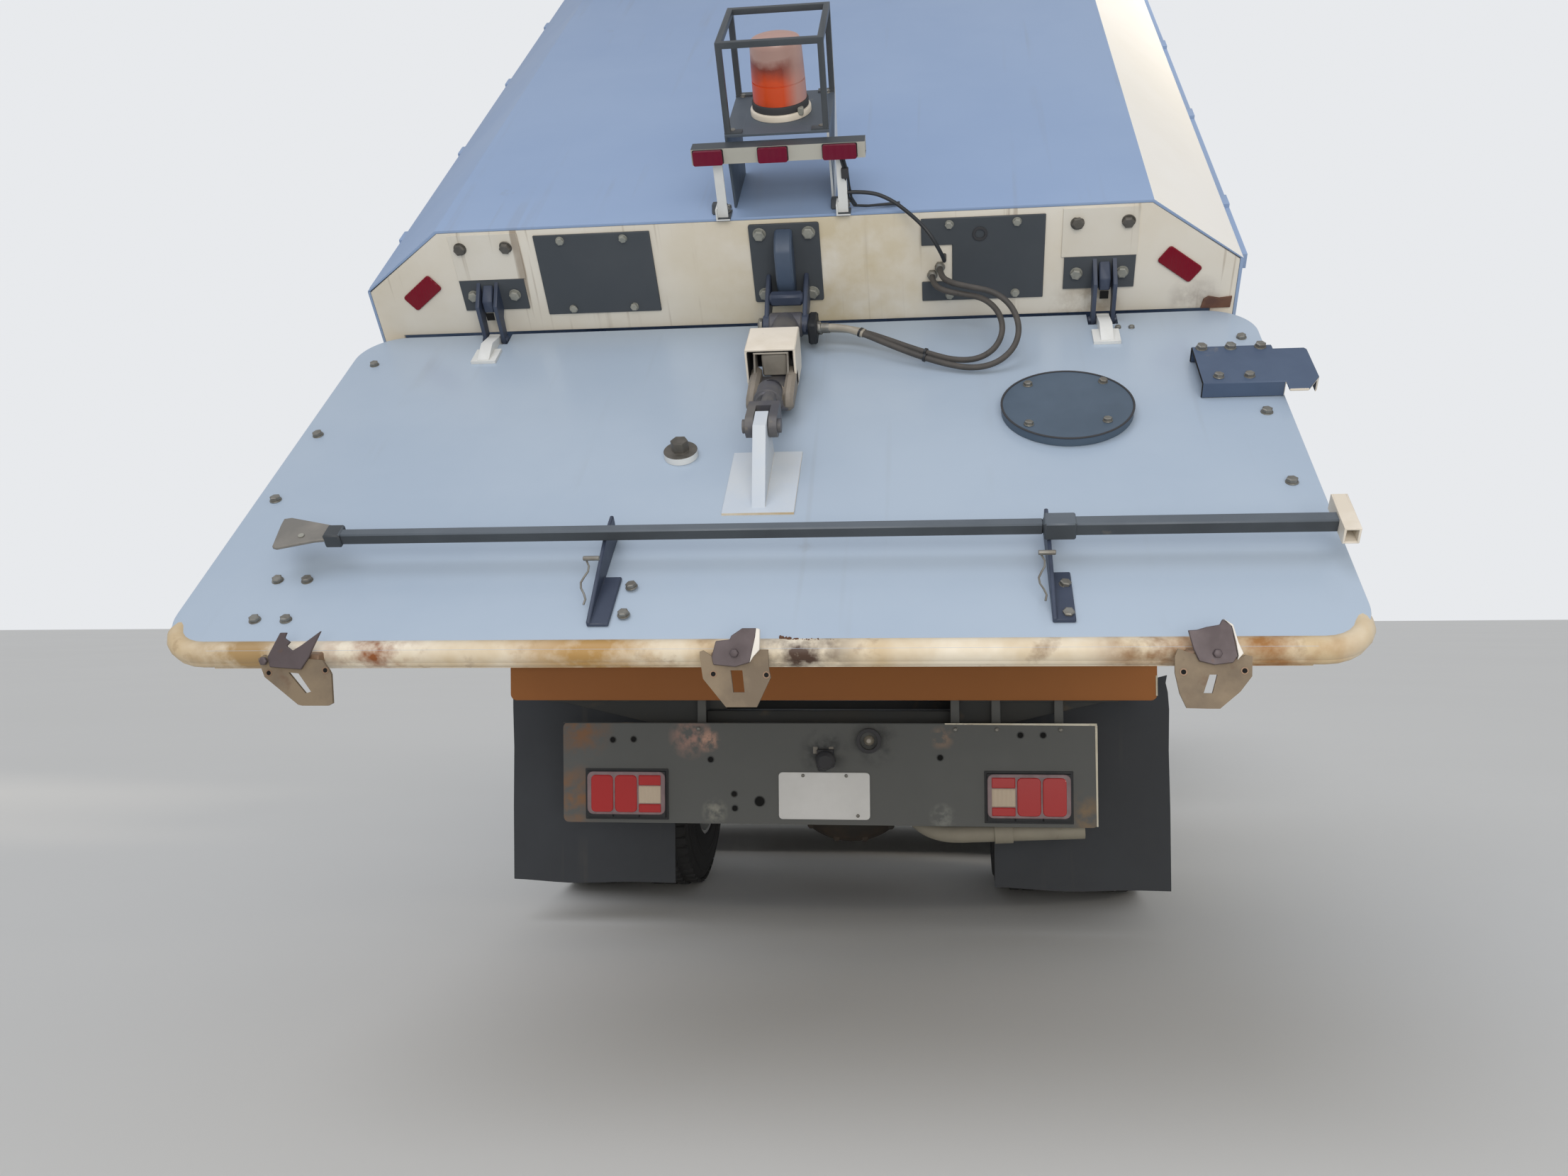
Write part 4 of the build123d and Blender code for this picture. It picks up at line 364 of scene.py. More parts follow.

# Sprayed white enamel on the door, satin and chalky: its blue-grey is painted sky shade, faintly mottled
DOOR_ENAMEL = Finish("door_enamel", "#adbccc", worn="#a0b1c4", worn_mm=420, dirt="#8c8a86", dirt_mm=160,
                     dirt_share=0.05, run_share=0.12, run_mm=30, lie=Lie.DOOR, roughness=0.38, grain_mm=5,
                     grain_depth_mm=0.05, coat=0.25)
# The same white enamel on the band: cream, partly painted warm bounce light and partly stain, with brown run marks
BAND_ENAMEL = Finish("band_enamel", "#e2dccf", worn="#d3c8b2", worn_mm=260, worn_share=0.6, dirt="#80694e", dirt_mm=70,
                     dirt_share=0.06, run_share=0.6, run_mm=12, lie=Lie.HOPPER, grain_mm=4, patches=BAND_STAINS)
# The enamel on cab and housing: clean white with road dust in patches
BODY_ENAMEL = Finish("body_enamel", "#d3dae1", worn="#bfc7cf", worn_mm=380, worn_share=0.4, dirt="#8d8474", dirt_mm=120,
                     run_share=0.25, run_mm=14, roughness=0.4, coat=0.2)
# The hopper's white enamel with painted sky shade: blue-white, even and satin
ROOF_ENAMEL = Finish("roof_enamel", "#94aaca", worn="#889fc2", worn_mm=700, worn_share=0.6, dirt="#857d70", dirt_mm=90,
                     dirt_share=0.05, run_share=0.12, run_mm=24, lie=Lie.HOPPER, roughness=0.42)
# The same enamel on the right chamfer, which faces the sun: cream, a painted sunlit copy of the roof enamel, with
# little dirt
CHAMFER_ENAMEL = Finish("chamfer_enamel", "#f6f3ec", worn="#ebe6da", worn_mm=500, dirt="#b5a98f", dirt_mm=60,
                        dirt_share=0.04, roughness=0.42)
# Enamel on the door's edges and lips: cream, partly painted warm light on the white paint, with rust water dried in
# blots
LIP_ENAMEL = Finish("lip_enamel", "#e6dcc8", worn="#c0a474", worn_mm=150, worn_share=0.75, dirt="#7c5a35", dirt_mm=46,
                    dirt_share=0.42, patches=LIP_STAINS)
# Fresh enamel on the cylinder's lug: pale and cleaner than the door
LUG_ENAMEL = Finish("lug_enamel", "#c3ccd6", worn="#cfd2d2", worn_mm=90, dirt="#8f8a80", dirt_mm=14, dirt_share=0.05,
                    roughness=0.4)
# White enamel on small welded parts: bright, with grime in the corners
FITTING_ENAMEL = Finish("fitting_enamel", "#e2e3e0", worn="#c6c8c6", worn_mm=70, worn_share=0.4, dirt="#6c6257",
                        dirt_mm=26, dirt_share=0.12, roughness=0.42)
# A thin pale cream line with rust spots, along the tail plate's right edges and on the sill's end, where it is painted
# sunlight
CREAM_EDGE = Finish("cream_edge", "#d8d2bf", worn="#b5a88c", dirt="#6e553c", dirt_share=0.3, roughness=0.55)
# Yellowed enamel on hood, tube end and lamp foot: warm, grimy in the corners
HOOD_CREAM = Finish("hood_cream", "#e8dfd0", worn="#cfc3ae", dirt="#857a6c", dirt_mm=26, dirt_share=0.16,
                    roughness=0.45)
# Dark grey stove enamel on cover plates: flat and dusty
COVER_GREY = Finish("cover_grey", "#42474c", worn="#4f5357", worn_mm=120, worn_share=0.4, dirt="#7f7668", dirt_mm=40,
                    dirt_share=0.08, lie=Lie.HOPPER, roughness=0.6)
# Blue-grey stove enamel on the round cover: soft and even
COVER_BLUE = Finish("cover_blue", "#485868", worn="#5a6a7b", worn_mm=110, dirt="#7e7a74", dirt_mm=40, lie=Lie.DOOR)
# Blue-grey enamel on the brackets: matt, with dust on its top faces
BRACKET_BLUE = Finish("bracket_blue", "#4b5c75", worn="#414f67", worn_mm=140, dirt="#8b8478", dirt_mm=50,
                      dirt_share=0.12)
# The same enamel on forks and hinge arms: darker and greasy
FORK_BLUE = Finish("fork_blue", "#363f52", worn="#485265", worn_share=0.4, dirt="#6f675c", dirt_share=0.2,
                   roughness=0.48)
# The same enamel on the lever: smoother, a little brighter
LEVER_BLUE = Finish("lever_blue", "#4a586c", worn="#3c495b", dirt="#7d776c", roughness=0.45)
# Grey chassis paint on the tail plate: matt, rubbed, with rust coming through
TAIL_GREY = Finish("tail_grey", "#585a58", worn="#636462", worn_mm=230, worn_share=0.55, dirt="#7c6f60", dirt_mm=50,
                   dirt_share=0.03, roughness=0.62, grain_mm=4, patches=TAIL_STAINS)
# Chassis paint under road dirt: dark, rough, brown in patches
CHASSIS_GREY = Finish("chassis_grey", "#3c3e3e", worn="#4c4a45", worn_mm=160, dirt="#5f5546", dirt_mm=70,
                      dirt_share=0.35, roughness=0.72, grain_mm=4, grain_depth_mm=0.25)
# Orange-brown primer on the sill: perfectly matt and even
SILL_PRIMER = Finish("sill_primer", "#9a602f", worn="#a66c3a", worn_mm=600, dirt="#9c5d20", dirt_mm=160, roughness=0.78,
                     grain_mm=2, grain_depth_mm=0.03)
# Stove enamel on the locking rod: dark grey and satin
ROD_GREY = Finish("rod_grey", "#41464a", worn="#34383c", worn_mm=90, dirt="#7d7468", dirt_mm=30, dirt_share=0.14)
# The rod's top face: the same grey, lighter with painted light and dust
ROD_TOP = Finish("rod_top", "#5d656d", worn="#505860", worn_mm=90, dirt="#7d7468", dirt_mm=30)
# Grey enamel on square tube: smooth, with a soft shine
CAGE_GREY = Finish("cage_grey", "#3d4348", worn="#4b5055", worn_mm=50, worn_share=0.4, dirt="#7d766a", dirt_mm=20,
                   roughness=0.42)
# Enamelled sheet that catches dust: blue-grey with pale specks
PLATFORM_GREY = Finish("platform_grey", "#4c5661", worn="#5a636c", worn_mm=70, dirt="#8a8880", dirt_share=0.22)
# Silver-white wheel paint: satin, with brake dust
RIM_PAINT = Finish("rim_paint", "#cfd0cc", worn="#b1aea6", worn_mm=90, dirt="#6b5f4e", dirt_mm=50, dirt_share=0.3)
# Galvanised face of the light bar: pale grey, streaked
BAR_FACE = Finish("bar_face", "#b9b7ac", worn="#a3a196", worn_mm=80, worn_share=0.4, dirt="#756c5d", dirt_share=0.15)
# Natural rubber sheet: dark grey with a dry dusty bloom
FLAP_RUBBER = Finish("flap_rubber", "#34373b", worn="#404347", worn_mm=260, worn_share=0.7, dirt="#5d574c", dirt_mm=110,
                     dirt_share=0.12, run_share=0.2, run_mm=22, roughness=0.72, grain_mm=5)
# Vulcanised tyre rubber: near black, rough, dry mud between its blocks
TYRE_RUBBER = Finish("tyre_rubber", "#2b2b2a", worn="#46423b", worn_mm=70, worn_share=0.6, dirt="#6b6252", dirt_mm=34,
                     dirt_share=0.3, roughness=0.85, grain_depth_mm=0.3)
# Nitrile rubber hose cover: black gone brown with dust
HOSE_RUBBER = Finish("hose_rubber", "#45423f", worn="#58534e", worn_mm=30, worn_share=0.6, dirt="#2c2a28", dirt_mm=14,
                     dirt_share=0.3, roughness=0.6, grain_mm=2)
# Extruded PVC jacket: smooth black with a soft shine
CABLE_PVC = Finish("cable_pvc", "#23262a", worn="#3b3d3f", worn_mm=40, worn_share=0.4, dirt="#5f564b", dirt_mm=18,
                   roughness=0.45)
# Clear vinyl sleeve: milky over the hose ends
CLEAR_SLEEVE = Finish("vinyl_sleeve", "#a39c8e", worn="#8a8377", worn_mm=24, dirt="#6f675b", dirt_mm=14,
                      dirt_share=0.15, roughness=0.35, coat=0.3)
# Moulded polypropylene: black, fine-grained, softly shiny
BLACK_PLASTIC = Finish("black_plastic", "#26282b", worn="#37393b", worn_share=0.4, dirt="#5a544a", dirt_mm=25,
                       dirt_share=0.08)
# Lamp rim bleached by the sun: pinkish grey plastic
LAMP_RIM = Finish("lamp_rim", "#8b7678", worn="#6d5d5f", worn_mm=20, dirt="#4a3f3c", dirt_mm=12, dirt_share=0.2)
# Blank plate: white pressed sheet under a clear film
BARE_PLATE = Finish("blank_plate", "#dcdcda", worn="#cfcfcc", worn_mm=90, dirt="#a8a49c", dirt_mm=30, dirt_share=0.03,
                    roughness=0.4, coat=0.2)
# Woven seat cloth: dark grey, fully dull, with a fine thread
CLOTH_GREY = Finish("seat_cloth", "#3d4148", worn="#4a4e56", worn_mm=4, worn_share=0.6, dirt="#2c2f34", dirt_mm=3,
                    dirt_share=0.3, roughness=0.95, grain_mm=2, grain_depth_mm=0.4)
# Broom bristles: straw-brown, dark at the root
BRISTLE = Finish("bristle", "#8a7f66", worn="#5e5545", worn_mm=20, worn_share=0.6, dirt="#3c362c", dirt_mm=10,
                 dirt_share=0.25, roughness=0.8)
# Hot-dip zinc gone brown with rust: mottled, dull metal
RUSTY_ZINC = Finish("rusty_zinc", "#85755f", worn="#6c5f50", worn_mm=50, worn_share=0.7, dirt="#6a5240", dirt_mm=26,
                    dirt_share=0.4, roughness=0.6, metallic=0.15, grain_mm=2, grain_depth_mm=0.3)
# Zinc-plated bolt heads: dull grey metal
BOLT_ZINC = Finish("bolt_zinc", "#8b8a84", worn="#6f675c", worn_mm=12, dirt="#5b4936", dirt_mm=8, dirt_share=0.25,
                   roughness=0.45, metallic=0.6)
# The same heads with dried mud on them: grey-white
BOLT_DUSTY = Finish("bolt_dusty", "#8f9088", worn="#a9a79c", worn_mm=12, worn_share=0.6, dirt="#5d584e", dirt_mm=7,
                    dirt_share=0.2, roughness=0.6, metallic=0.2)
# Turned steel on rods and pins: bright, with long soft highlights
TURNED_STEEL = Finish("turned_steel", "#a7a9ab", worn="#8d8f91", worn_mm=30, worn_share=0.3, dirt="#6a6258", dirt_mm=14,
                      dirt_share=0.08, roughness=0.28, metallic=0.9)
# Grey paint on the cylinder under old oil and dust: brownish, half shiny
OILED_CAST = Finish("oiled_cast", "#54545a", worn="#77736c", worn_mm=36, worn_share=0.6, dirt="#8a8172", dirt_mm=16,
                    dirt_share=0.18, metallic=0.2)
# Sand-cast iron: coarse, dark brown-grey, without shine
CAST_IRON = Finish("cast_iron", "#45413c", worn="#5b4e41", worn_share=0.6, dirt="#6d5a44", dirt_mm=30, dirt_share=0.35,
                   roughness=0.8, metallic=0.1, grain_depth_mm=0.3)
# Sand-cast clevis under dust: beige, blotched dark
CASTING_BEIGE = Finish("casting_beige", "#8c8377", worn="#6d6861", worn_mm=40, worn_share=0.6, dirt="#4a4540",
                       dirt_mm=18, dirt_share=0.25, roughness=0.6)
# Machined block in the hood: warm grey, stained with oil
BLOCK_GREY = Finish("block_grey", "#8b867d", worn="#6f6b64", worn_mm=30, worn_share=0.6, dirt="#4d4943", dirt_mm=12,
                    dirt_share=0.2, roughness=0.6)
# Aluminised exhaust pipe: pale dull grey, browned by heat
EXHAUST_STEEL = Finish("exhaust_steel", "#9a9484", worn="#827c70", worn_mm=120, dirt="#6d5c4a", dirt_mm=40,
                       dirt_share=0.15, roughness=0.7, metallic=0.1)
# Bare rolled steel outdoors: a dull brown crust
RUSTY_STEEL = Finish("rusty_steel", "#85796a", worn="#6b6054", worn_mm=50, worn_share=0.6, dirt="#8f7a5f", dirt_mm=22,
                     dirt_share=0.3, roughness=0.75, metallic=0.15, grain_mm=2, grain_depth_mm=0.2)
# Bare spade blade: dry beige-grey steel
SPADE_STEEL = Finish("spade_steel", "#7c7973", worn="#98928a", worn_mm=70, worn_share=0.6, dirt="#5c4a3c", dirt_mm=22,
                     dirt_share=0.2, roughness=0.6, metallic=0.2)
# Forged plug: dark, dusty steel
PLUG_STEEL = Finish("plug_steel", "#57544e", worn="#76716a", worn_mm=18, dirt="#8a7d69", dirt_mm=9, dirt_share=0.2,
                    metallic=0.3)
# Folded latch ears: dark brown-grey steel with a dull sheen
EAR_GREY = Finish("ear_grey", "#5e5456", worn="#4e4445", worn_mm=30, worn_share=0.4, dirt="#6e5038", dirt_mm=14,
                  dirt_share=0.2, metallic=0.3)
# Painted highlight along a fold: a bright cream-white line where the bend catches the light
BRIGHT_EDGE = Finish("bright_edge", "#e6e1d8", worn="#cfc8bb", worn_mm=20, worn_share=0.3, dirt_mm=45, roughness=0.4)
# Silvered reflector bowl: a clear mirror
BRIGHT_REFLECTOR = Finish("bright_reflector", "#c9cbcc", worn="#b5b7b8", worn_mm=30, worn_share=0.3, dirt="#8a8a88",
                          dirt_mm=45, dirt_share=0.02, roughness=0.12, metallic=1.0, grain_depth_mm=0.01)
# Blackened ports and lamp gaskets: near black and dull
PORT_BLACK = Finish("port_black", "#1f2124", worn="#2c2e31", worn_mm=20, worn_share=0.3, dirt_mm=45, roughness=0.6)
# Worn sheet of the ducts: dull grey, brown where grit runs
MOUTH_DARK = Finish("inner_sheet", "#4b4a46", worn="#63594c", worn_mm=120, dirt="#6e5238", dirt_mm=50, dirt_share=0.4,
                    roughness=0.8)
# Crumbs of dry sweepings: dull red-brown
LIP_DIRT = Finish("lip_dirt", "#5e4030", worn="#7b5640", worn_mm=8, worn_share=0.3, dirt_mm=45, roughness=0.95)
# A flake of rust on the band: dark brown crust
RUST_SCRAP = Finish("rust_scrap", "#5e4238", worn="#7b5a48", worn_mm=18, worn_share=0.6, dirt_mm=45, roughness=0.85)
# Painted shade: a black sheet for the dark inside of a hole or hollow, where no light comes back
HOLE_BLACK = Finish("hole_black", "#0c0c0c", worn="#121110", worn_mm=140, worn_share=0.3, dirt_mm=45, roughness=1.0)
# Tail lamp acrylic: deep red, broken into soft lines by its ribs
RED_LENS = Clear("red_lens", "#7e1230", ribs_mm=7)
# Light bar acrylic: darker wine red, weathered
BAR_LENS = Clear("bar_lens", "#70102e", ribs_mm=9)
# Reversing lamp acrylic: beige and ribbed
CLEAR_LENS = Clear("clear_lens", "#c9b8a2", roughness=0.25, ribs_mm=7)
# Prism reflector: dark red with fine facets
RED_REFLECTOR = Clear("red_reflector", "#7d0c22", roughness=0.28, ribs_mm=5)
# Indicator acrylic: amber and ribbed
AMBER_LENS = Clear("amber_lens", "#c9701c", roughness=0.18, through=0.15, ribs_mm=8)
# Float glass: clear, faintly green, with sharp highlights
WINDOW_GLASS = Clear("window_glass", "#a7b7ba", roughness=0.02, through=0.95, ior=1.5, smooth=True)
# Fluted headlamp glass: pale with upright ribs
HEADLAMP_GLASS = Clear("headlamp_glass", "#d8dde0", roughness=0.05, through=0.4, ribs_mm=14)

Pick = Callable[[Vector, Vector], Look | None]


def limits(spots: Sequence[Vector]) -> tuple[Vector, Vector]:
    """The low and the high corner of the box round some points."""
    low, high = ([pick(spot[i] for spot in spots) for i in range(3)] for pick in (min, max))
    return Vector(low), Vector(high)


def around(steps: int, start: float = 0.0) -> list[tuple[float, float]]:
    """The cosine and sine at each of some even steps round a circle, the first of them start steps on."""
    return [(math.cos(a), math.sin(a)) for a in (math.tau * (i + start) / steps for i in range(steps))]


def bridge(part: Solid, rings: Sequence[Sequence[Corner]], closed: bool = False) -> None:
    """Joins each ring of corners to the next one with faces.

    Args:
        part: The solid in the making.
        rings: Rings of equally many corners. A ring of one corner is a pole.
        closed: True when the last ring is joined to the first.
    """
    steps = max(len(ring) for ring in rings)
    for low, high in zip(rings, [*rings[1:], rings[0]] if closed else rings[1:]):
        for i in range(steps):
            j = (i + 1) % steps
            corners = [low[i % len(low)], low[j % len(low)], high[j % len(high)], high[i % len(high)]]
            part.faces.new([v for n, v in enumerate(corners) if v not in corners[:n]])


def islands(mesh: Solid) -> Iterator[list[Corner]]:
    """The corners of each solid in a mesh, solid by solid, in the order of their first corners."""
    mesh.verts.index_update()
    mesh.faces.index_update()
    seen: set[Corner] = set()
    for seed in mesh.verts:
        if seed in seen:
            continue
        found, waiting = {seed}, [seed]
        while waiting:
            fresh = {vert for edge in waiting.pop().link_edges for vert in edge.verts} - found
            found |= fresh
            waiting.extend(fresh)
        seen |= found
        yield sorted(found, key=lambda vert: vert.index)


class Piece:
    """One visible piece in the making: solids in its own frame's millimetres, each with a finish."""

    def __init__(self, name: str, place: Place = CHASSIS) -> None:
        """Starts an empty piece.

        Args:
            name: The name of the object it becomes.
            place: The sub-assembly's frame that its millimetres are in.
        """
        self.name = name
        self.place = place
        self.whole = bmesh.new()
        self.finishes: list[Look] = []

    def add(self, part: Solid, finish: Look, bevel: float, placed: bool = False, segments: int = 1) -> None:
        """Rounds a closed solid's sharp edges, gives it a finish and adds it to the piece.

        Args:
            part: The solid. It is freed.
            finish: What it is coated with or made of.
            bevel: Width of the rounded edges.
            placed: True when it already stands in the row frame.
            segments: Faces across each rounded edge.
        """
        bmesh.ops.recalc_face_normals(part, faces=part.faces)
        if placed:
            bevel /= 1000
        if bevel:
            sharp = [e for e in part.edges if e.is_manifold and SHARP_TURN[0] < e.calc_face_angle(0.0) < SHARP_TURN[1]]
            if sharp:
                bmesh.ops.bevel(part, geom=sharp, offset=bevel, offset_type="OFFSET", segments=segments,
                                profile=0.6, affect="EDGES", clamp_overlap=True)
        if finish not in self.finishes:
            self.finishes.append(finish)
        index = self.finishes.index(finish)
        for face in part.faces:
            face.material_index = index
        if not placed:
            part.transform(self.place.matrix())
        carrier = bpy.data.meshes.new("carrier")
        part.to_mesh(carrier)
        part.free()
        self.whole.from_mesh(carrier)
        bpy.data.meshes.remove(carrier)

    def box(self, x: Span, y: Span, z: Span, finish: Look, bevel: float = 1.0) -> None:
        """Adds a block between the spans."""
        self.prism([(x[0], y[0]), (x[1], y[0]), (x[1], y[1]), (x[0], y[1])], "z", z, finish, bevel)

    def prism(self, outline: Sequence[Span], axis: str, span: Span, finish: Look, bevel: float = 1.0) -> None:
        """Adds a straight solid with an outline in the two other axes' alphabetical order.

        Args:
            outline: The corners, round the outline.
            axis: The axis it is drawn out along.
            span: From where to where along it.
            finish: Its finish.
            bevel: Width of the rounded edges.
        """
        part = bmesh.new()
        place = {"x": lambda a, b, c: (c, a, b), "y": lambda a, b, c: (a, c, b), "z": lambda a, b, c: (a, b, c)}
        rings = [[part.verts.new(place[axis](a, b, c)) for a, b in outline] for c in span]
        part.faces.new(rings[0])
        part.faces.new(rings[1])
        bridge(part, rings)
        self.add(part, finish, bevel)

    def lathe(self, centre: Point, direction: Point, profile: Sequence[Span], finish: Look, steps: int = 32,
              bevel: float = 0.0) -> None:
        """Adds a turned solid from (along, radius) pairs. Its first and last radii close it.

        Args:
            centre: Where along is zero.
            direction: The turning axis.
            profile: Distances along the axis and radii there, in order.
            finish: Its finish.
            steps: Faces round it.
            bevel: Width of the rounded edges.
        """
        part = bmesh.new()
        turn = Vector(direction).to_track_quat("Z", "Y")
        rings = []
        for along, radius in profile:
            round_it = around(steps) if radius > 0 else [(0, 0)]
            rings.append([part.verts.new(turn @ Vector((radius * c, radius * s, along)) + Vector(centre))
                          for c, s in round_it])
        bridge(part, rings)
        for ring in (rings[0], rings[-1]):
            if len(ring) > 1:
                part.faces.new(ring)
        self.add(part, finish, bevel)

    def rod(self, centre: Point, direction: Point, radius: float, length: float, finish: Look,
            bevel: float = 1.0, steps: int = 28) -> None:
        """Adds a round bar that starts at the centre and runs along the direction."""
        self.lathe(centre, direction, ((0, radius), (length, radius)), finish, steps, bevel)

    def hexagon(self, centre: Point, direction: Point, across: float, height: float, finish: Look) -> None:
        """Adds a hexagon head that is across wide over its flats."""
        self.lathe(centre, direction, ((0, across / 1.732), (height * 0.8, across / 1.732), (height, across * 0.47)),
                   finish, 6, 0.6)

    def ring(self, centre: Point, direction: Point, outer: float, inner: float, height: float,
             finish: Look, steps: int = 40) -> None:
        """Adds a flat ring with a round hole."""
        part = bmesh.new()
        turn = Vector(direction).to_track_quat("Z", "Y")
        rings = [[part.verts.new(turn @ Vector((r * c, r * s, h)) + Vector(centre)) for c, s in around(steps)]
                 for r, h in ((outer, 0), (outer, height), (inner, height), (inner, 0))]
        bridge(part, rings, True)
        self.add(part, finish, min(1.0, height / 4))

    def tube(self, points: Sequence[Point], radius: float, finish: Look, steps: int = 10,
             placed: bool = False) -> None:
        """Adds a round bar bent along the points, with closed ends."""
        part = bmesh.new()
        spots = [Vector(p) for p in points]
        size = radius / 1000 if placed else radius
        rings = []
        side = (spots[1] - spots[0]).orthogonal().normalized()
        for i, spot in enumerate(spots):
            ahead = (spots[min(i + 1, len(spots) - 1)] - spots[max(i - 1, 0)]).normalized()
            side = (side - ahead * side.dot(ahead)).normalized()
            other = ahead.cross(side)
            rings.append([part.verts.new(spot + (side * c + other * s) * size) for c, s in around(steps)])
        bridge(part, rings)
        part.faces.new(rings[0])
        part.faces.new(rings[-1])
        self.add(part, finish, 0.0, placed)

    def cad(self, name: str, pick: Look | Pick, bevel: float = 2.0, segments: int = 1) -> None:
        """Adds a merged and rounded copy of a CAD node, solid by solid.

        Args:
            name: The CAD node.
            pick: One finish, or a function that takes a solid's low and high corners in this piece's
                millimetres and returns its finish, or None to leave it out.
            bevel: Width of the rounded edges.
            segments: Faces across each rounded edge.
        """
        source = bmesh.new()
        source.from_mesh(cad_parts[name].data)
        bmesh.ops.remove_doubles(source, verts=source.verts, dist=MERGE_M)
        bmesh.ops.dissolve_limit(source, angle_limit=math.radians(FLAT_DEGREES), verts=source.verts,
                                 edges=source.edges)
        home = self.place.matrix().inverted()
        for found in islands(source):
            low, high = limits([home @ v.co for v in found])
            finish = pick if isinstance(pick, Look) else pick(low, high)
            if finish is None:
                continue
            part = bmesh.new()
            copies = {v: part.verts.new(v.co) for v in found}
            for face in sorted({f for v in found for f in v.link_faces}, key=lambda f: f.index):
                part.faces.new([copies[v] for v in face.verts])
            self.add(part, finish, bevel, True, segments)
        source.free()

    def repaint(self, rule: Pick) -> None:
        """Changes the finish of single faces.

        Args:
            rule: Takes a face's middle in this piece's millimetres and the way it points, and returns its
                new finish, or None to keep the old one.
        """
        home = self.place.matrix().inverted()
        turn = home.to_3x3().normalized()
        for face in self.whole.faces:
            finish = rule(home @ face.calc_center_median(), (turn @ face.normal).normalized())
            if finish is None:
                continue
            if finish not in self.finishes:
                self.finishes.append(finish)
            face.material_index = self.finishes.index(finish)

    def slide(self, rule: Callable[[Vector], Vector | None]) -> None:
        """Moves single corners by what the rule returns for their place, both in this piece's millimetres."""
        there = self.place.matrix()
        home = there.inverted()
        for vert in self.whole.verts:
            here = home @ vert.co
            step = rule(here)
            if step is not None:
                vert.co = there @ (here + step)

    def done(self, body: str, slot: str, *nodes: str) -> bpy.types.Object:
        """Makes the object, gives it to its body and lets it stand for CAD nodes.

        Args:
            body: The body it rides on.
            slot: A material slot name; not used.
            *nodes: The CAD nodes it stands for.

        Returns:
            The object, at the origin with its place in its mesh.
        """
        for face in self.whole.faces:
            face.smooth = True
        for edge in self.whole.edges:
            edge.smooth = edge.is_manifold and edge.calc_face_angle(0.0) < SHADED_TURN
        mesh = bpy.data.meshes.new(self.name)
        self.whole.to_mesh(mesh)
        self.whole.free()
        for finish in self.finishes:
            mesh.materials.append(finish.material())
        made = bpy.data.objects.new(self.name, mesh)
        bpy.context.scene.collection.objects.link(made)
        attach(made, body)
        if nodes:
            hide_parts(*nodes)
        log.info("%s on %s: %d faces", self.name, body, len(mesh.polygons))
        return made


def rounded(x: Span, z: Span, radius: float) -> list[Span]:
    """The outline of a rectangle with round corners."""
    found = []
    for cx, cz, start in ((x[1] - radius, z[1] - radius, 0), (x[0] + radius, z[1] - radius, 90),
                          (x[0] + radius, z[0] + radius, 180), (x[1] - radius, z[0] + radius, 270)):
        for step in range(5):
            turn = math.radians(start + 22.5 * step)
            found.append((cx + radius * math.cos(turn), cz + radius * math.sin(turn)))
    return found


def flip(side: int, near: float, far: float) -> Span:
    """The span between two distances from the middle, on the right for side 1 and on the left for -1."""
    return (near, far) if side > 0 else (-far, -near)


def dress(name: str, copy: str, pick: Look | Pick, body: str, slot: str, bevel: float, segments: int = 1,
          place: Place = CHASSIS, rule: Pick | None = None, trim: Callable[[Piece], None] | None = None) -> None:
    """Lets a rounded and painted copy stand for one CAD node.

    Args:
        name: The CAD node.
        copy: The copy's name.
        pick: One finish, or what tells the node's solids apart.
        body: The body that the copy rides on.
        slot: A material slot name, passed on to Piece.done.
        bevel: Width of the rounded edges.
        segments: Faces across each rounded edge.
        place: The frame that a rule and a trim work in.
        rule: Changes the finish of single faces.
        trim: Adds what CAD leaves out.
    """
    piece = Piece(copy, place)
    piece.cad(name, pick, bevel, segments)
    if trim:
        trim(piece)
    if rule:
        piece.repaint(rule)
    piece.done(body, slot, name)


def paint(name: str, finish: Look) -> None:
    """Gives a CAD node, whose shape stays, its finish in every slot."""
    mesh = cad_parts[name].data
    if not mesh.materials:
        mesh.materials.append(finish.material())
    for i in range(len(mesh.materials)):
        mesh.materials[i] = finish.material()


class Shape(Enum):
    """The small shapes that are set by the hundred, as cones: (sides, bottom, top, from, to) at unit size."""

    HEX_BOLT = ((20, 0.66, 0.62, 0.0, 0.1), (6, 0.577, 0.577, 0.1, 0.42), (6, 0.577, 0.44, 0.42, 0.5))
    DOMED_RIVET = ((14, 0.5, 0.46, 0.0, 0.14), (14, 0.46, 0.28, 0.14, 0.3), (14, 0.28, 0.05, 0.3, 0.36))
    TREAD_BLOCK = ((4, 0.707, 0.6, 0.0, 1.0),)
    BRISTLE_TUFT = ((5, 0.5, 0.34, 0.0, 1.0),)
    SLAT = ((4, 0.707, 0.66, 0.0, 1.0),)
    CRUMB = ((5, 0.5, 0.18, 0.0, 0.6),)


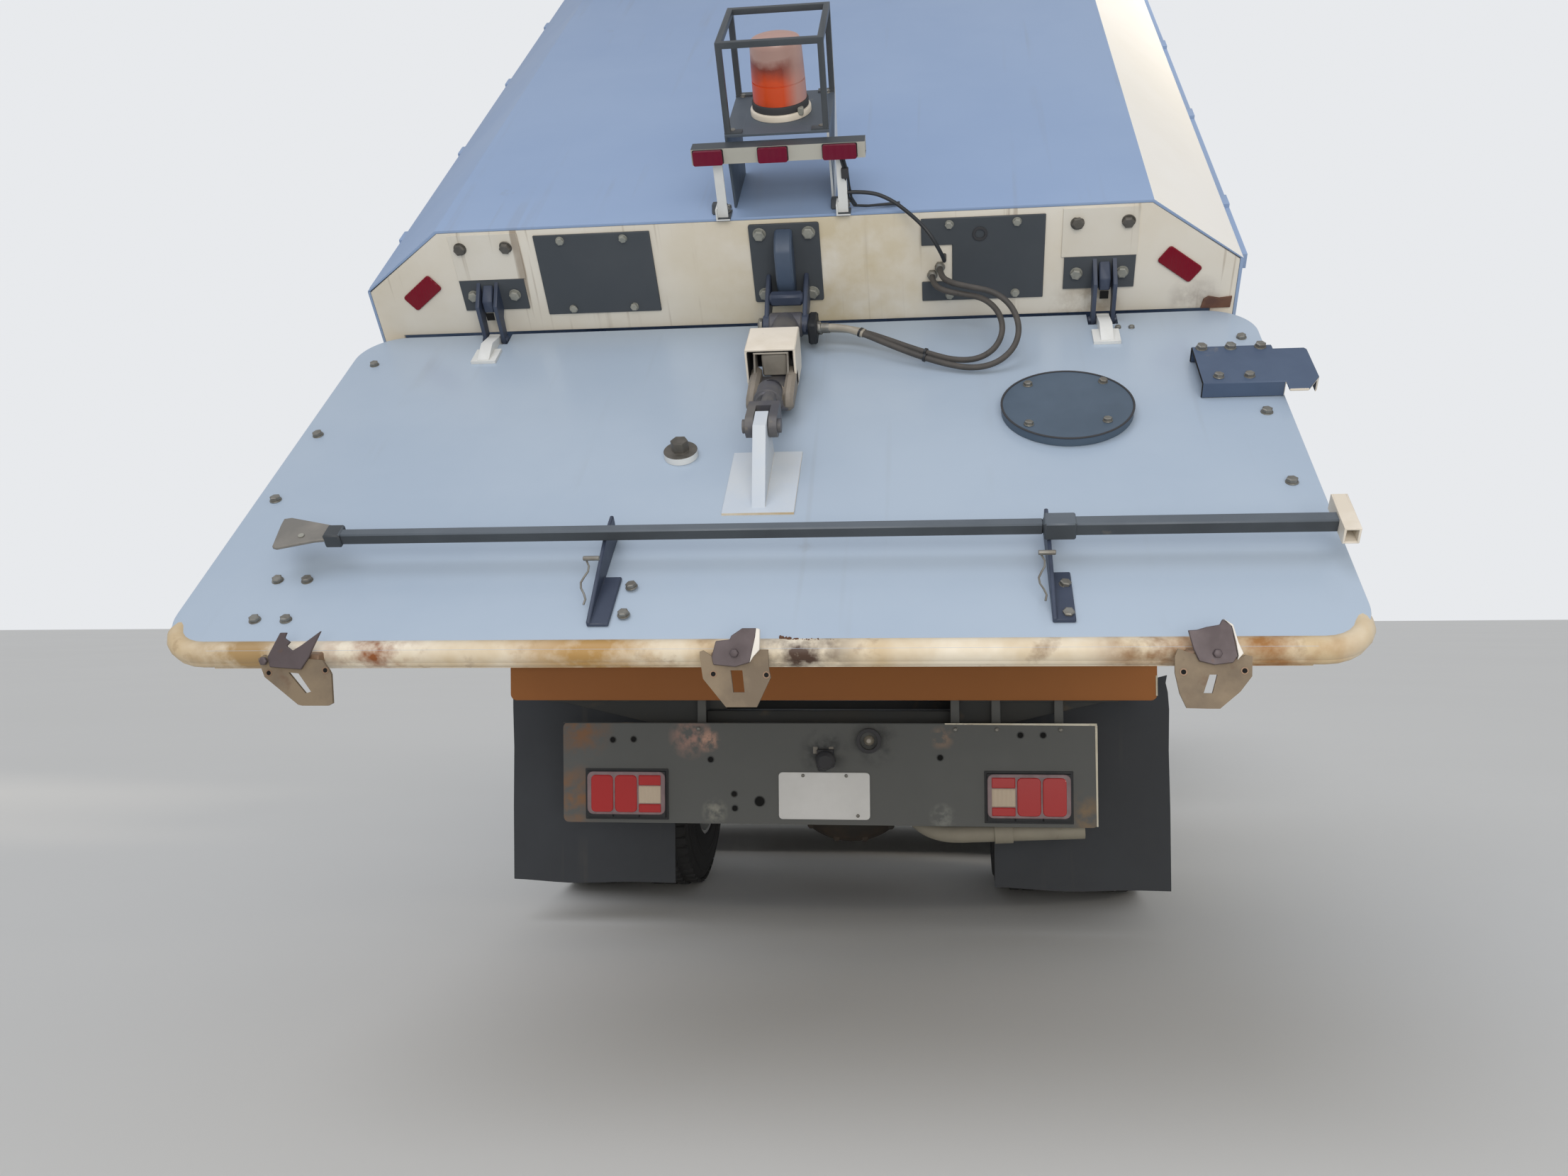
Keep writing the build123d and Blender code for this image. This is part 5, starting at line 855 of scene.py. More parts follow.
@dataclass
class Repeat:
    """Geometry Nodes that set one small shape on many points, baked to one plain mesh on one body."""

    name: str
    shape: Shape
    finish: Look
    place: Place = CHASSIS
    jitter: float = 0.0
    seed: int = 7
    spots: list[tuple[Vector, Vector, Vector]] = field(default_factory=list)

    def put(self, at: Point, facing: Point, size: float | Point, along: Point = ACROSS) -> None:
        """Adds one point.

        Args:
            at: Where the shape's foot stands, in this frame's millimetres.
            facing: The way its top points.
            size: Its size in millimetres, one number or one for each of its own axes.
            along: The way its own X points, as near as the facing allows.
        """
        scale = Vector((size, size, size)) if isinstance(size, (int, float)) else Vector(size)
        up = Vector(facing).normalized()
        across = Vector(along) - up * Vector(along).dot(up)
        across = across.normalized() if across.length > 1e-4 else up.orthogonal().normalized()
        turn = Matrix((across, up.cross(across), up)).transposed()
        tilt = Matrix.Rotation(math.radians(self.place.tilt), 3, "X")
        euler = (tilt @ turn).to_euler()
        self.spots.append((self.place.at(*at), Vector(euler), scale / 1000))

    def row(self, spots: Iterable[Point], facing: Point, size: float) -> "Repeat":
        """Adds points that share a facing and a size, and returns the repeat itself."""
        for spot in spots:
            self.put(spot, facing, size)
        return self

    def tree(self) -> Tree:
        """Builds the node tree: the shape from cones, set on the points, realised and given its finish."""
        tree = bpy.data.node_groups.new(self.name, "GeometryNodeTree")
        tree.is_modifier = True
        for label, kind in (("Points", "Geometry"), ("Share of size", "Float"), ("Jitter", "Float"), ("Seed", "Int")):
            tree.interface.new_socket(label, in_out="INPUT", socket_type="NodeSocket" + kind)
        tree.interface.new_socket("Mesh", in_out="OUTPUT", socket_type="NodeSocketGeometry")
        given = node(tree, "NodeGroupInput").outputs
        joined = node(tree, "GeometryNodeJoinGeometry")
        for sides, bottom, top, low, high in reversed(self.shape.value):
            cone = node(tree, "GeometryNodeMeshCone", {"Vertices": sides, "Radius Bottom": bottom,
                                                       "Radius Top": top, "Depth": high - low})
            placed = node(tree, "GeometryNodeTransform",
                          {"Geometry": cone.outputs["Mesh"], "Translation": (0, 0, low),
                           "Rotation": (0, 0, math.pi / 4 if sides == 4 else 0)})
            tree.links.new(placed.outputs[0], joined.inputs[0])
        points = node(tree, "GeometryNodeMeshToPoints", {"Mesh": given["Points"]})
        turn = node(tree, "GeometryNodeInputNamedAttribute", {"Name": "turn"}, data_type="FLOAT_VECTOR")
        size = node(tree, "GeometryNodeInputNamedAttribute", {"Name": "size"}, data_type="FLOAT_VECTOR")
        shake = node(tree, "FunctionNodeRandomValue", {0: (-1, -1, -1), 1: (1, 1, 1), "Seed": given["Seed"]},
                     data_type="FLOAT_VECTOR")
        shaken = node(tree, "ShaderNodeVectorMath", {0: shake.outputs[0], "Scale": given["Jitter"]},
                      operation="SCALE")
        turned = node(tree, "ShaderNodeVectorMath", {0: turn.outputs[0], 1: shaken.outputs[0]}, operation="ADD")
        sized = node(tree, "ShaderNodeVectorMath", {0: size.outputs[0], "Scale": given["Share of size"]},
                     operation="SCALE")
        rotation = node(tree, "FunctionNodeEulerToRotation", {0: turned.outputs[0]})
        put = node(tree, "GeometryNodeInstanceOnPoints",
                   {"Points": points.outputs[0], "Instance": joined.outputs[0], "Rotation": rotation.outputs[0],
                    "Scale": sized.outputs[0]})
        real = node(tree, "GeometryNodeRealizeInstances", {"Geometry": put.outputs[0]})
        coated = node(tree, "GeometryNodeSetMaterial", {"Geometry": real.outputs[0],
                                                        "Material": self.finish.material()})
        node(tree, "NodeGroupOutput", {0: coated.outputs[0]})
        return tree

    def done(self, body: str, slot: str) -> bpy.types.Object:
        """Bakes the points to one mesh on the body.

        Args:
            body: The body it rides on.
            slot: A material slot name; not used.

        Returns:
            The baked object.
        """
        cloud = bpy.data.meshes.new(self.name)
        cloud.from_pydata([s[0] for s in self.spots], [], [])
        for label, index in (("turn", 1), ("size", 2)):
            values = cloud.attributes.new(label, "FLOAT_VECTOR", "POINT")
            for item, spot in zip(values.data, self.spots):
                item.vector = spot[index]
        made = bpy.data.objects.new(self.name, cloud)
        bpy.context.scene.collection.objects.link(made)
        tree = self.tree()
        modifier = made.modifiers.new("repeat", "NODES")
        modifier.node_group = tree
        values = {"Share of size": 1.0, "Jitter": self.jitter, "Seed": self.seed}
        for item in tree.interface.items_tree:
            if item.item_type == "SOCKET" and item.in_out == "INPUT" and item.name in values:
                modifier[item.identifier] = values[item.name]
        ready = made.evaluated_get(bpy.context.evaluated_depsgraph_get())
        baked = bpy.data.meshes.new_from_object(ready)
        made.modifiers.clear()
        made.data = baked
        baked.name = self.name
        for label in ("turn", "size"):
            if label in baked.attributes:
                baked.attributes.remove(baked.attributes[label])
        bpy.data.node_groups.remove(tree)
        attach(made, body)
        log.info("%s on %s: %d shapes, %d faces", self.name, body, len(self.spots), len(baked.polygons))
        return made


@dataclass
class View:
    """The camera at the photograph's place, a pale floor, soft lamps and an even sky."""

    eye_m: Point = (0.4036, -6.46875, 1.162)
    yaw: float = -0.121
    pitch: float = 0.0106
    roll: float = -0.0087
    lens: float = 30.307
    sensor: float = 36
    far_m: float = 200
    floor_m: float = 60.0
    sun_watts: float = 0.8
    sun_width: float = 0.7
    sun_shines: Point = (0.35, 0.55, -1)
    # Name, place, what it points at, size in metres, watts, colour and spread in degrees
    lamps: tuple[tuple[str, Point, Point, float, float, str, float], ...] = (
        ("near_panel", (1.2, -9.5, 2.2), (0.1, 0, 1.3), 4, 55, "#fbf6f0", 90),
        ("side_panel", (9, -1.2, 3.6), (1.1, 0.3, 3.1), 2, 110, "#fff3e2", 40))

    def build(self) -> None:
        """Sets up the camera, floor, lamps and world."""
        ahead = Vector((math.sin(self.yaw) * math.cos(self.pitch), math.cos(self.yaw) * math.cos(self.pitch),
                        math.sin(self.pitch)))
        right = Vector((math.cos(self.yaw), -math.sin(self.yaw), 0))
        up = right.cross(ahead)
        side = right * math.cos(self.roll) + up * math.sin(self.roll)
        top = up * math.cos(self.roll) - right * math.sin(self.roll)
        camera = bpy.data.objects.new("view", bpy.data.cameras.new("view"))
        camera.data.lens = self.lens
        camera.data.sensor_width = self.sensor
        camera.data.clip_end = self.far_m
        turn = Matrix((side, top, -ahead)).transposed().to_4x4()
        camera.matrix_world = Matrix.Translation(self.eye_m) @ turn
        scene = bpy.context.scene
        scene.collection.objects.link(camera)
        scene.camera = camera
        scene.view_settings.view_transform = "Standard"
        self._floor()
        for lamp in self.lamps:
            self._lamp(*lamp)
        sun = bpy.data.lights.new("soft_sun", "SUN")
        sun.energy = self.sun_watts
        sun.angle = self.sun_width
        sun.color = linear("#f2f5ff")[:3]
        high = bpy.data.objects.new("soft_sun", sun)
        high.rotation_euler = Vector(self.sun_shines).to_track_quat("-Z", "Y").to_euler()
        scene.collection.objects.link(high)
        self._sky()

    def _lamp(self, name: str, at: Point, towards: Point, size: float, watts: float, colour: str,
              spread: float) -> None:
        """Adds one square soft lamp that shines within spread degrees."""
        lamp = bpy.data.lights.new(name, "AREA")
        lamp.size = size
        lamp.spread = math.radians(spread)
        lamp.energy = watts
        lamp.color = linear(colour)[:3]
        made = bpy.data.objects.new(name, lamp)
        made.location = at
        made.rotation_euler = (Vector(towards) - Vector(at)).to_track_quat("-Z", "Y").to_euler()
        bpy.context.scene.collection.objects.link(made)

    def _floor(self) -> None:
        """Adds the pale floor, which carries the object's shadow."""
        half = self.floor_m
        mesh = bpy.data.meshes.new("studio_floor")
        mesh.from_pydata([(-half, -half, 0), (half, -half, 0), (half, half, 0), (-half, half, 0)], [],
                         [(0, 1, 2, 3)])
        floor = bpy.data.objects.new("studio_floor", mesh)
        mesh.materials.append(Finish("studio_paper", "#dad9d5", worn="#d6d5d1", worn_mm=2000, worn_share=0.3,
                                     dirt="#d2d1cd", dirt_mm=45, dirt_share=0.0, roughness=0.9,
                                     grain_mm=40).material())
        bpy.context.scene.collection.objects.link(floor)

    def _sky(self) -> None:
        """An even grey-white sky that lights softly and shows near white to the camera and in gloss."""
        world = bpy.data.worlds.new("studio_sky")
        bpy.context.scene.world = world
        world.use_nodes = True
        tree = world.node_tree
        tree.nodes.clear()
        path = node(tree, "ShaderNodeLightPath").outputs
        seen = node(tree, "ShaderNodeMath", {0: path["Is Camera Ray"], 1: path["Is Transmission Ray"]},
                    operation="MAXIMUM")
        strength = node(tree, "ShaderNodeMapRange", {"Value": seen.outputs[0], "To Min": 0.55, "To Max": 0.9})
        sky = node(tree, "ShaderNodeBackground", {"Color": linear("#f3f5f8"), "Strength": strength.outputs[0]})
        node(tree, "ShaderNodeOutputWorld", {"Surface": sky.outputs[0]})


@dataclass
class Hose:
    """One free hose or cable: route points (across, out, up from the hinge line), as in the CAD source."""

    node_name: str
    radius: float
    route: tuple[tuple[float, float, float], ...]
    finish: Finish
    length_m: float

    def build(self) -> bpy.types.Object:
        name = self.node_name + "_line"
        made = self.curve(name, self.radius / 1000)
        made.data.materials.append(self.finish.material())
        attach(made, "hopper")
        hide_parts(self.node_name)
        first = HOPPER.at(self.route[0][0], -self.route[0][1], HINGE_LINE + self.route[0][2])
        log.info("%s: free hose of %.3f m", name, self.length_m)
        return made

    def curve(self, name: str, bevel_m: float) -> bpy.types.Object:
        """One open NURBS spline whose control points are the route's."""
        line = bpy.data.curves.new(name, "CURVE")
        line.dimensions = "3D"
        line.bevel_depth = bevel_m
        line.bevel_resolution = 5
        line.use_fill_caps = bool(bevel_m)
        spline = line.splines.new("NURBS")
        spline.points.add(len(self.route) - 1)
        for point, (across, out, up) in zip(spline.points, self.route):
            point.co = (*HOPPER.at(across, -out, HINGE_LINE + up), 1)
        spline.order_u = 3
        spline.use_endpoint_u = True
        spline.resolution_u = 10
        made = bpy.data.objects.new(name, line)
        bpy.context.scene.collection.objects.link(made)
        return made

    def line(self) -> list[Vector]:
        """The spline's own points, for pieces that lie along it."""
        bare = self.curve("bare_line", 0.0)
        mesh = bpy.data.meshes.new_from_object(bare.evaluated_get(bpy.context.evaluated_depsgraph_get()))
        spots = [v.co.copy() for v in mesh.vertices]
        bpy.data.objects.remove(bare)
        bpy.data.meshes.remove(mesh)
        return spots


@dataclass
class Hoses:
    """The two hydraulic hoses to the door cylinder and the lamp cable beside them."""

    upper: Hose = field(default_factory=lambda: Hose("door_hose_upper", 7.5, (
        (400, 0, 150), (400, 58, 150), (430, 108, 155), (479, 138, 158), (537, 152, 150), (580, 182, 124),
        (597, 226, 88), (583, 268, 56), (540, 299, 32), (481, 308, 24), (422, 292, 27), (366, 270, 34),
        (312, 244, 42), (256, 214, 52), (200, 182, 62), (142, 158, 70), (84, 158, 70)), HOSE_RUBBER, 0.943))
    lower: Hose = field(default_factory=lambda: Hose("door_hose_lower", 7.5, (
        (380, 0, 128), (380, 54, 128), (407, 102, 132), (450, 126, 134), (508, 134, 126), (547, 163, 102),
        (558, 205, 70), (537, 246, 42), (491, 269, 26), (432, 265, 24), (374, 236, 27), (318, 206, 32),
        (262, 174, 38), (204, 144, 44), (144, 124, 46), (84, 124, 46)), HOSE_RUBBER, 0.86))
    cable: Hose = field(default_factory=lambda: Hose("light_cable", 5, (
        (412, 0, 180), (412, 40, 180), (410, 72, 205), (397, 86, 242), (370, 74, 286), (324, 34, 316),
        (279, 11, 343), (226, 0, 362), (170, 0, 362)), CABLE_PVC, 0.406))

    def build(self) -> None:
        """Builds the three lines and the sleeves and ties on them."""
        for hose in (self.upper, self.lower, self.cable):
            hose.build()
        sleeves = Piece("hose_sleeves", HOPPER)
        for hose in (self.upper, self.lower):
            spots = hose.line()
            if (spots[0] - HOPPER.at(84, -hose.route[-1][1], HINGE_LINE + hose.route[-1][2])).length > 0.02:
                spots.reverse()
            run = self._stretch(spots, 0.004, 0.03)
            sleeves.tube(run, hose.radius + 3.6, BOLT_ZINC, 12, placed=True)
            sleeves.tube(self._stretch(spots, 0.028, 0.125), hose.radius + 2.0, CLEAR_SLEEVE, 12, placed=True)
            for start in (0.112, 0.3):
                sleeves.tube(self._stretch(spots, start, start + 0.006), hose.radius + 3.4, CABLE_PVC, 12, placed=True)
        for spot in ((400, 0, 150), (380, 0, 128)):
            sleeves.hexagon((spot[0], -1, HINGE_LINE + spot[2]), BACK, 24, 16, BOLT_ZINC)
        sleeves.done("hopper", "rubber")

    def _stretch(self, spots: list[Vector], start: float, end: float) -> list[Vector]:
        """The part of a line between two distances along it, in metres."""
        found = []
        gone = 0.0
        for first, second in zip(spots, spots[1:]):
            step = (second - first).length
            for mark in (start, end):
                if gone <= mark < gone + step:
                    found.append(first.lerp(second, (mark - gone) / step))
            if start < gone + step < end:
                found.append(second)
            gone += step
        return found


@dataclass(frozen=True)
class Latch:
    """One latch: a hanging plate with a slot, cut in two halves along the slot, and an ear folded up over it.

    Every outline holds (x, height) corners in millimetres, from left to right over the photograph.
    """

    left: tuple[Span, ...]
    right: tuple[Span, ...]
    ear: tuple[Span, ...]
    fold: tuple[Span, ...]
    bolt: Span
    holes: tuple[Span, ...]
    front: float = -1896

    def build(self, piece: Piece) -> None:
        """Adds plate, ear, bright fold, a painted highlight, bolt and the block that carries them."""
        y = self.front
        for half in (self.left, self.right):
            piece.prism(half, "y", (y - 3.5, y + 3.5), RUSTY_ZINC, 0)
        piece.prism(self.ear, "y", (y - 10, y - 3.4), EAR_GREY, 1.2)
        # The fold's bright line is a painted highlight
        if self.fold:
            piece.prism(self.fold, "y", (y - 12, y - 2), BRIGHT_EDGE, 0.8)
        piece.hexagon((self.bolt[0], y - 10, self.bolt[1]), BACK, 15, 8, EAR_GREY)
        # Each hole: a rusty ring round a black disc of painted shade
        for x, z in self.holes:
            piece.ring((x, y - 3.4, z), BACK, 7, 4.6, 0.8, RUSTY_STEEL, 18)
            piece.rod((x, y - 3.4, z), BACK, 4.6, 0.4, HOLE_BLACK, 0, 18)
        middle = (self.left[0][0] + self.right[0][0]) / 2
        piece.prism([(y + 3, 1046), (y + 32, 1044), (y + 32, 1072), (y + 3, 1066)], "x", (middle - 46, middle + 46),
                    RUSTY_STEEL, 3)


LATCHES = (
    Latch(left=((-953, 1058), (-940, 1066), (-930, 1061), (-880, 1060), (-880, 1030), (-889, 1031), (-854, 990),
                (-848, 991), (-848, 965), (-860, 965), (-869, 967), (-939, 1022)),
          right=((-797, 970), (-800, 1027), (-804, 1035), (-819, 1055), (-842, 1057), (-880, 1060), (-880, 1030),
                 (-868, 1029), (-842, 993), (-848, 991), (-848, 965), (-807, 965)),
          ear=((-930, 1062), (-903, 1110), (-889, 1110), (-894, 1099), (-882, 1091), (-890, 1083), (-878, 1074),
               (-860, 1084), (-847, 1093), (-818, 1113), (-836, 1078), (-843, 1062), (-860, 1037), (-925, 1042)),
          fold=(), bolt=(-936, 1054), holes=((-930, 1030), (-812, 1035))),
    Latch(left=((-61, 1058), (-61, 1069), (-55, 1071), (-38, 1060), (12, 1060), (12, 1033), (-2, 1033), (3, 991),
                (14, 991), (14, 963), (-11, 963), (-55, 1017)),
          right=((72, 1032), (70, 1072), (54, 1072), (40, 1060), (12, 1060), (12, 1033), (21, 1033), (25, 991),
                 (14, 991), (14, 963), (48, 963), (75, 1019)),
          ear=((-37, 1059), (-29, 1089), (-2, 1092), (1, 1099), (22, 1113), (49, 1113), (47, 1097), (36, 1048),
               (8, 1040), (-34, 1044)),
          fold=((49, 1113), (56, 1111), (55, 1072), (43, 1059), (36, 1048), (47, 1097)), bolt=(7, 1066),
          holes=((-35, 1026), (67, 1024))),
    Latch(left=((820, 1056), (826, 1071), (850, 1062), (888, 1054), (888, 1023), (881, 1023), (870, 989), (878, 989),
                (878, 961), (840, 962), (828, 988), (820, 1026)),
          right=((957, 1056), (945, 1059), (930, 1051), (888, 1054), (888, 1023), (895, 1023), (886, 989), (878, 989),
                 (878, 961), (899, 961), (935, 992), (956, 1020)),
          ear=((843, 1104), (859, 1105), (876, 1110), (899, 1114), (904, 1124), (920, 1113), (930, 1057),
               (922, 1045), (889, 1041), (862, 1048), (852, 1071)),
          fold=((905, 1125), (922, 1114), (931, 1082), (940, 1062), (929, 1050), (931, 1058), (927, 1082), (920, 1111)),
          bolt=(894, 1062), holes=((835, 1028), (943, 1030))))


@dataclass
class RearDoor:
    """The opened rear door with its lugs, covers, side bracket, locking rod and three latches."""

    def build(self) -> None:
        """Builds the panel, the fittings on it and their fasteners."""
        self._panel()
        self._fittings()
        self._rod_and_latches()
        self._fasteners()

    def _panel(self) -> None:
        """The pressed panel, with its cream lip under a running seam."""
        skin = Piece("door_panel", DOOR)
        skin.cad("rear_door", DOOR_ENAMEL, 7.0, 4)
        made = skin.done("rear_door", "white_paint", "rear_door")
        mesh = made.data
        mesh.materials.append(LIP_ENAMEL.material())
        home = DOOR.matrix().inverted()
        lip = len(mesh.materials) - 1
        mesh.materials.append(LUG_ENAMEL.material())
        mesh.materials.append(HOOD_CREAM.material())
        lug, edge = lip + 1, lip + 2
        # The door's face keeps its painted sky shade; faces turned from it take the lip's cream, partly painted warm
        # light
        for face in mesh.polygons:
            spot = home @ face.center
            normal = (home.to_3x3() @ face.normal).normalized()
            fin = abs(spot.x) < 90 and 640 < -spot.y < 900
            if fin and spot.z > 1:
                face.material_index = edge if normal.z < 0.5 and spot.z < 12 else lug
            elif not fin and normal.z < 0.8 and (-spot.y > 60 or abs(spot.x) > 1050):
                face.material_index = lip
        drips = Repeat("lip_dirt", Shape.CRUMB, LIP_DIRT, DOOR, 0.9, 11)
        for i in range(34):
            share = ((i * 0.618034) % 1) ** 1.5
            drips.put((86 + 110 * share, -(DOOR_LENGTH - 20 - 14 * ((i * 0.37) % 1) * (1 - share)), 1.5), UP,
                      3 + 7 * ((i * 0.71) % 1) * (1 - 0.6 * share), (1, 0.4 * math.sin(i), 0))
        drips.done("rear_door", "white_paint")

    def _fittings(self) -> None:
        """The lug, the capped plug, the round cover, the side bracket and the rod's two brackets."""

        def pick(low: Vector, high: Vector) -> Look:
            """Tells the fittings apart by where they stand on the door."""
            middle = (low + high) / 2
            if -middle.y > 950:
                return FORK_BLUE
            if -middle.y > 250 and middle.x > 900:
                return BRACKET_BLUE
            if -middle.y > 250 and middle.x > 500:
                return COVER_BLUE
            return FITTING_ENAMEL

        parts = Piece("door_fitments", DOOR)
        parts.cad("door_fittings", pick, 2.0)
        parts.ring((694, -505, 21), UP, 155, 150, 3, BLACK_PLASTIC, 64)

        def tones(at: Vector, normal: Vector) -> Look | None:
            """The plug's dark crown, the bracket's dark end, painted shade on its faces turned inward and into the
            door, and its pale box.
            """
            s = -at.y
            if math.hypot(at.x + 206, s - 662) < 45 and at.z > 17.5:
                return PLUG_STEEL
            if at.x > 1000 and 250 < s < 500:
                if at.x < 1009 and normal.x < -0.5 or at.z < 30 and normal.z < -0.5:
                    return HOLE_BLACK
                if at.x > 1190 and normal.y < -0.4:
                    return HOOD_CREAM
                if at.z > 30 and s < 292 and normal.y > 0.3:
                    return FITTING_ENAMEL
            return None

        parts.repaint(tones)
        parts.done("rear_door", "grey_plate", "door_fittings")

    def _rod_and_latches(self) -> None:
        """The locking rod with its end tube, and the bent latch plates with their ears."""
        roll = Piece("rolled_lip", DOOR)
        for finish, out, radius, drop in ((LIP_ENAMEL, -19, 24, 1334), (LIP_ENAMEL, -30, 19, 1337)):
            route = [(-1179, -1250, out - 7), (-1179, -1258, out - 5)]
            for turn in (math.radians(a) for a in range(15, 91, 15)):
                route.append((80 * (1 - math.cos(turn)) - 1178, -(1264 + (drop - 1264) * math.sin(turn)), out))
            route += [(-x, y, z) for x, y, z in reversed(route)]
            roll.tube(route, radius, finish, 20)
        roll.done("rear_door", "white_paint")
        bar = Piece("locking_rod", DOOR)
        for x, s, z in (((-900, 600), (1056, 1080), (63, 89)), ((600, 1165), (1054, 1084), (62, 91)),
                        ((602, 664), (1048, 1090), (56, 96)), ((-905, -868), (1044, 1086), (60, 92))):
            bar.box(x, (-s[1], -s[0]), z, ROD_GREY, 3)
        bar.prism([(-872, -1082), (-872, -1046), (-898, -1034), (-1006, -1002), (-1024, -1006), (-1022, -1030),
                   (-1010, -1108), (-1000, -1112), (-925, -1088)], "z", (75, 83), SPADE_STEEL, 2)
        bar.rod((-958, -1072, 83), UP, 7, 3, BOLT_DUSTY, 1)
        for low, high in ((1162, 1166.5), (1189.5, 1194)):
            bar.box((low, high), (-1122, -1004), (62, 98), HOOD_CREAM, 1)
        for z in ((62, 66.5), (93.5, 98)):
            bar.box((1165, 1191), (-1122, -1004), z, HOOD_CREAM, 1)
        # The tube's open end: a black sheet of painted shade
        bar.box((1167, 1189), (-1004.5, -1004), (67, 93), HOLE_BLACK, 0)
        # Faces pointing out of the door take the lighter grey: painted light, with dust
        bar.repaint(lambda at, normal: ROD_TOP if normal.z > 0.7 and -870 < at.x < 1160 else None)
        bar.done("rear_door", "dark_plate", "latch_rod")
        plates = Piece("latch_plates", CHASSIS)
        for latch in LATCHES:
            latch.build(plates)
        plates.done("rear_door", "rusty_steel", "door_latches")

    def _fasteners(self) -> None:
        """The bolts, nuts and rivets over the door, where the photograph shows them."""
        bolts = Repeat("door_bolts", Shape.HEX_BOLT, BOLT_ZINC, DOOR, 0.15, 3)
        for x, s, size in ((-1155, 526, 22), (-1150, 812, 22), (-1019, 1120, 20), (-952, 1121, 20),
                           (-1015, 1253, 20), (-947, 1253, 20), (1144, 528, 22), (1141, 816, 22),
                           (855, 93, 13), (889, 95, 13), (1150, 168, 20), (-1130, 168, 20)):
            bolts.put((x, -s, 0), UP, size)
        bolts.row(((607.51, -412.5, 22), (785.14, -407.1, 22), (600.07, -592.5, 22), (778.63, -584.4, 22)),
                  UP, 18)
        bolts.row(((-234, -1250, 5), (639, -1258, 5), (-234, -1160, 5), (639, -1168, 5)), UP, 20)
        bolts.row(((1030, -290, 40), (1098, -290, 40), (1168, -290, 40)), UP, 22)
        bolts.row(((1048, -430, 40), (1118, -430, 40)), UP, 20)
        bolts.done("rear_door", "steel")
        pins = Piece("bracket_pins", DOOR)
        for x in (-300, 612):
            pins.rod((x - 26, -1150, 72), ACROSS, 5, 34, BOLT_ZINC)
            links = [(x - 20 + 7 * math.sin(k * 1.1), -1150 - 11 * k, 66 - 5.5 * k) for k in range(9)]
            pins.tube(links, 2.2, BOLT_ZINC, 6)
        pins.done("rear_door", "steel")


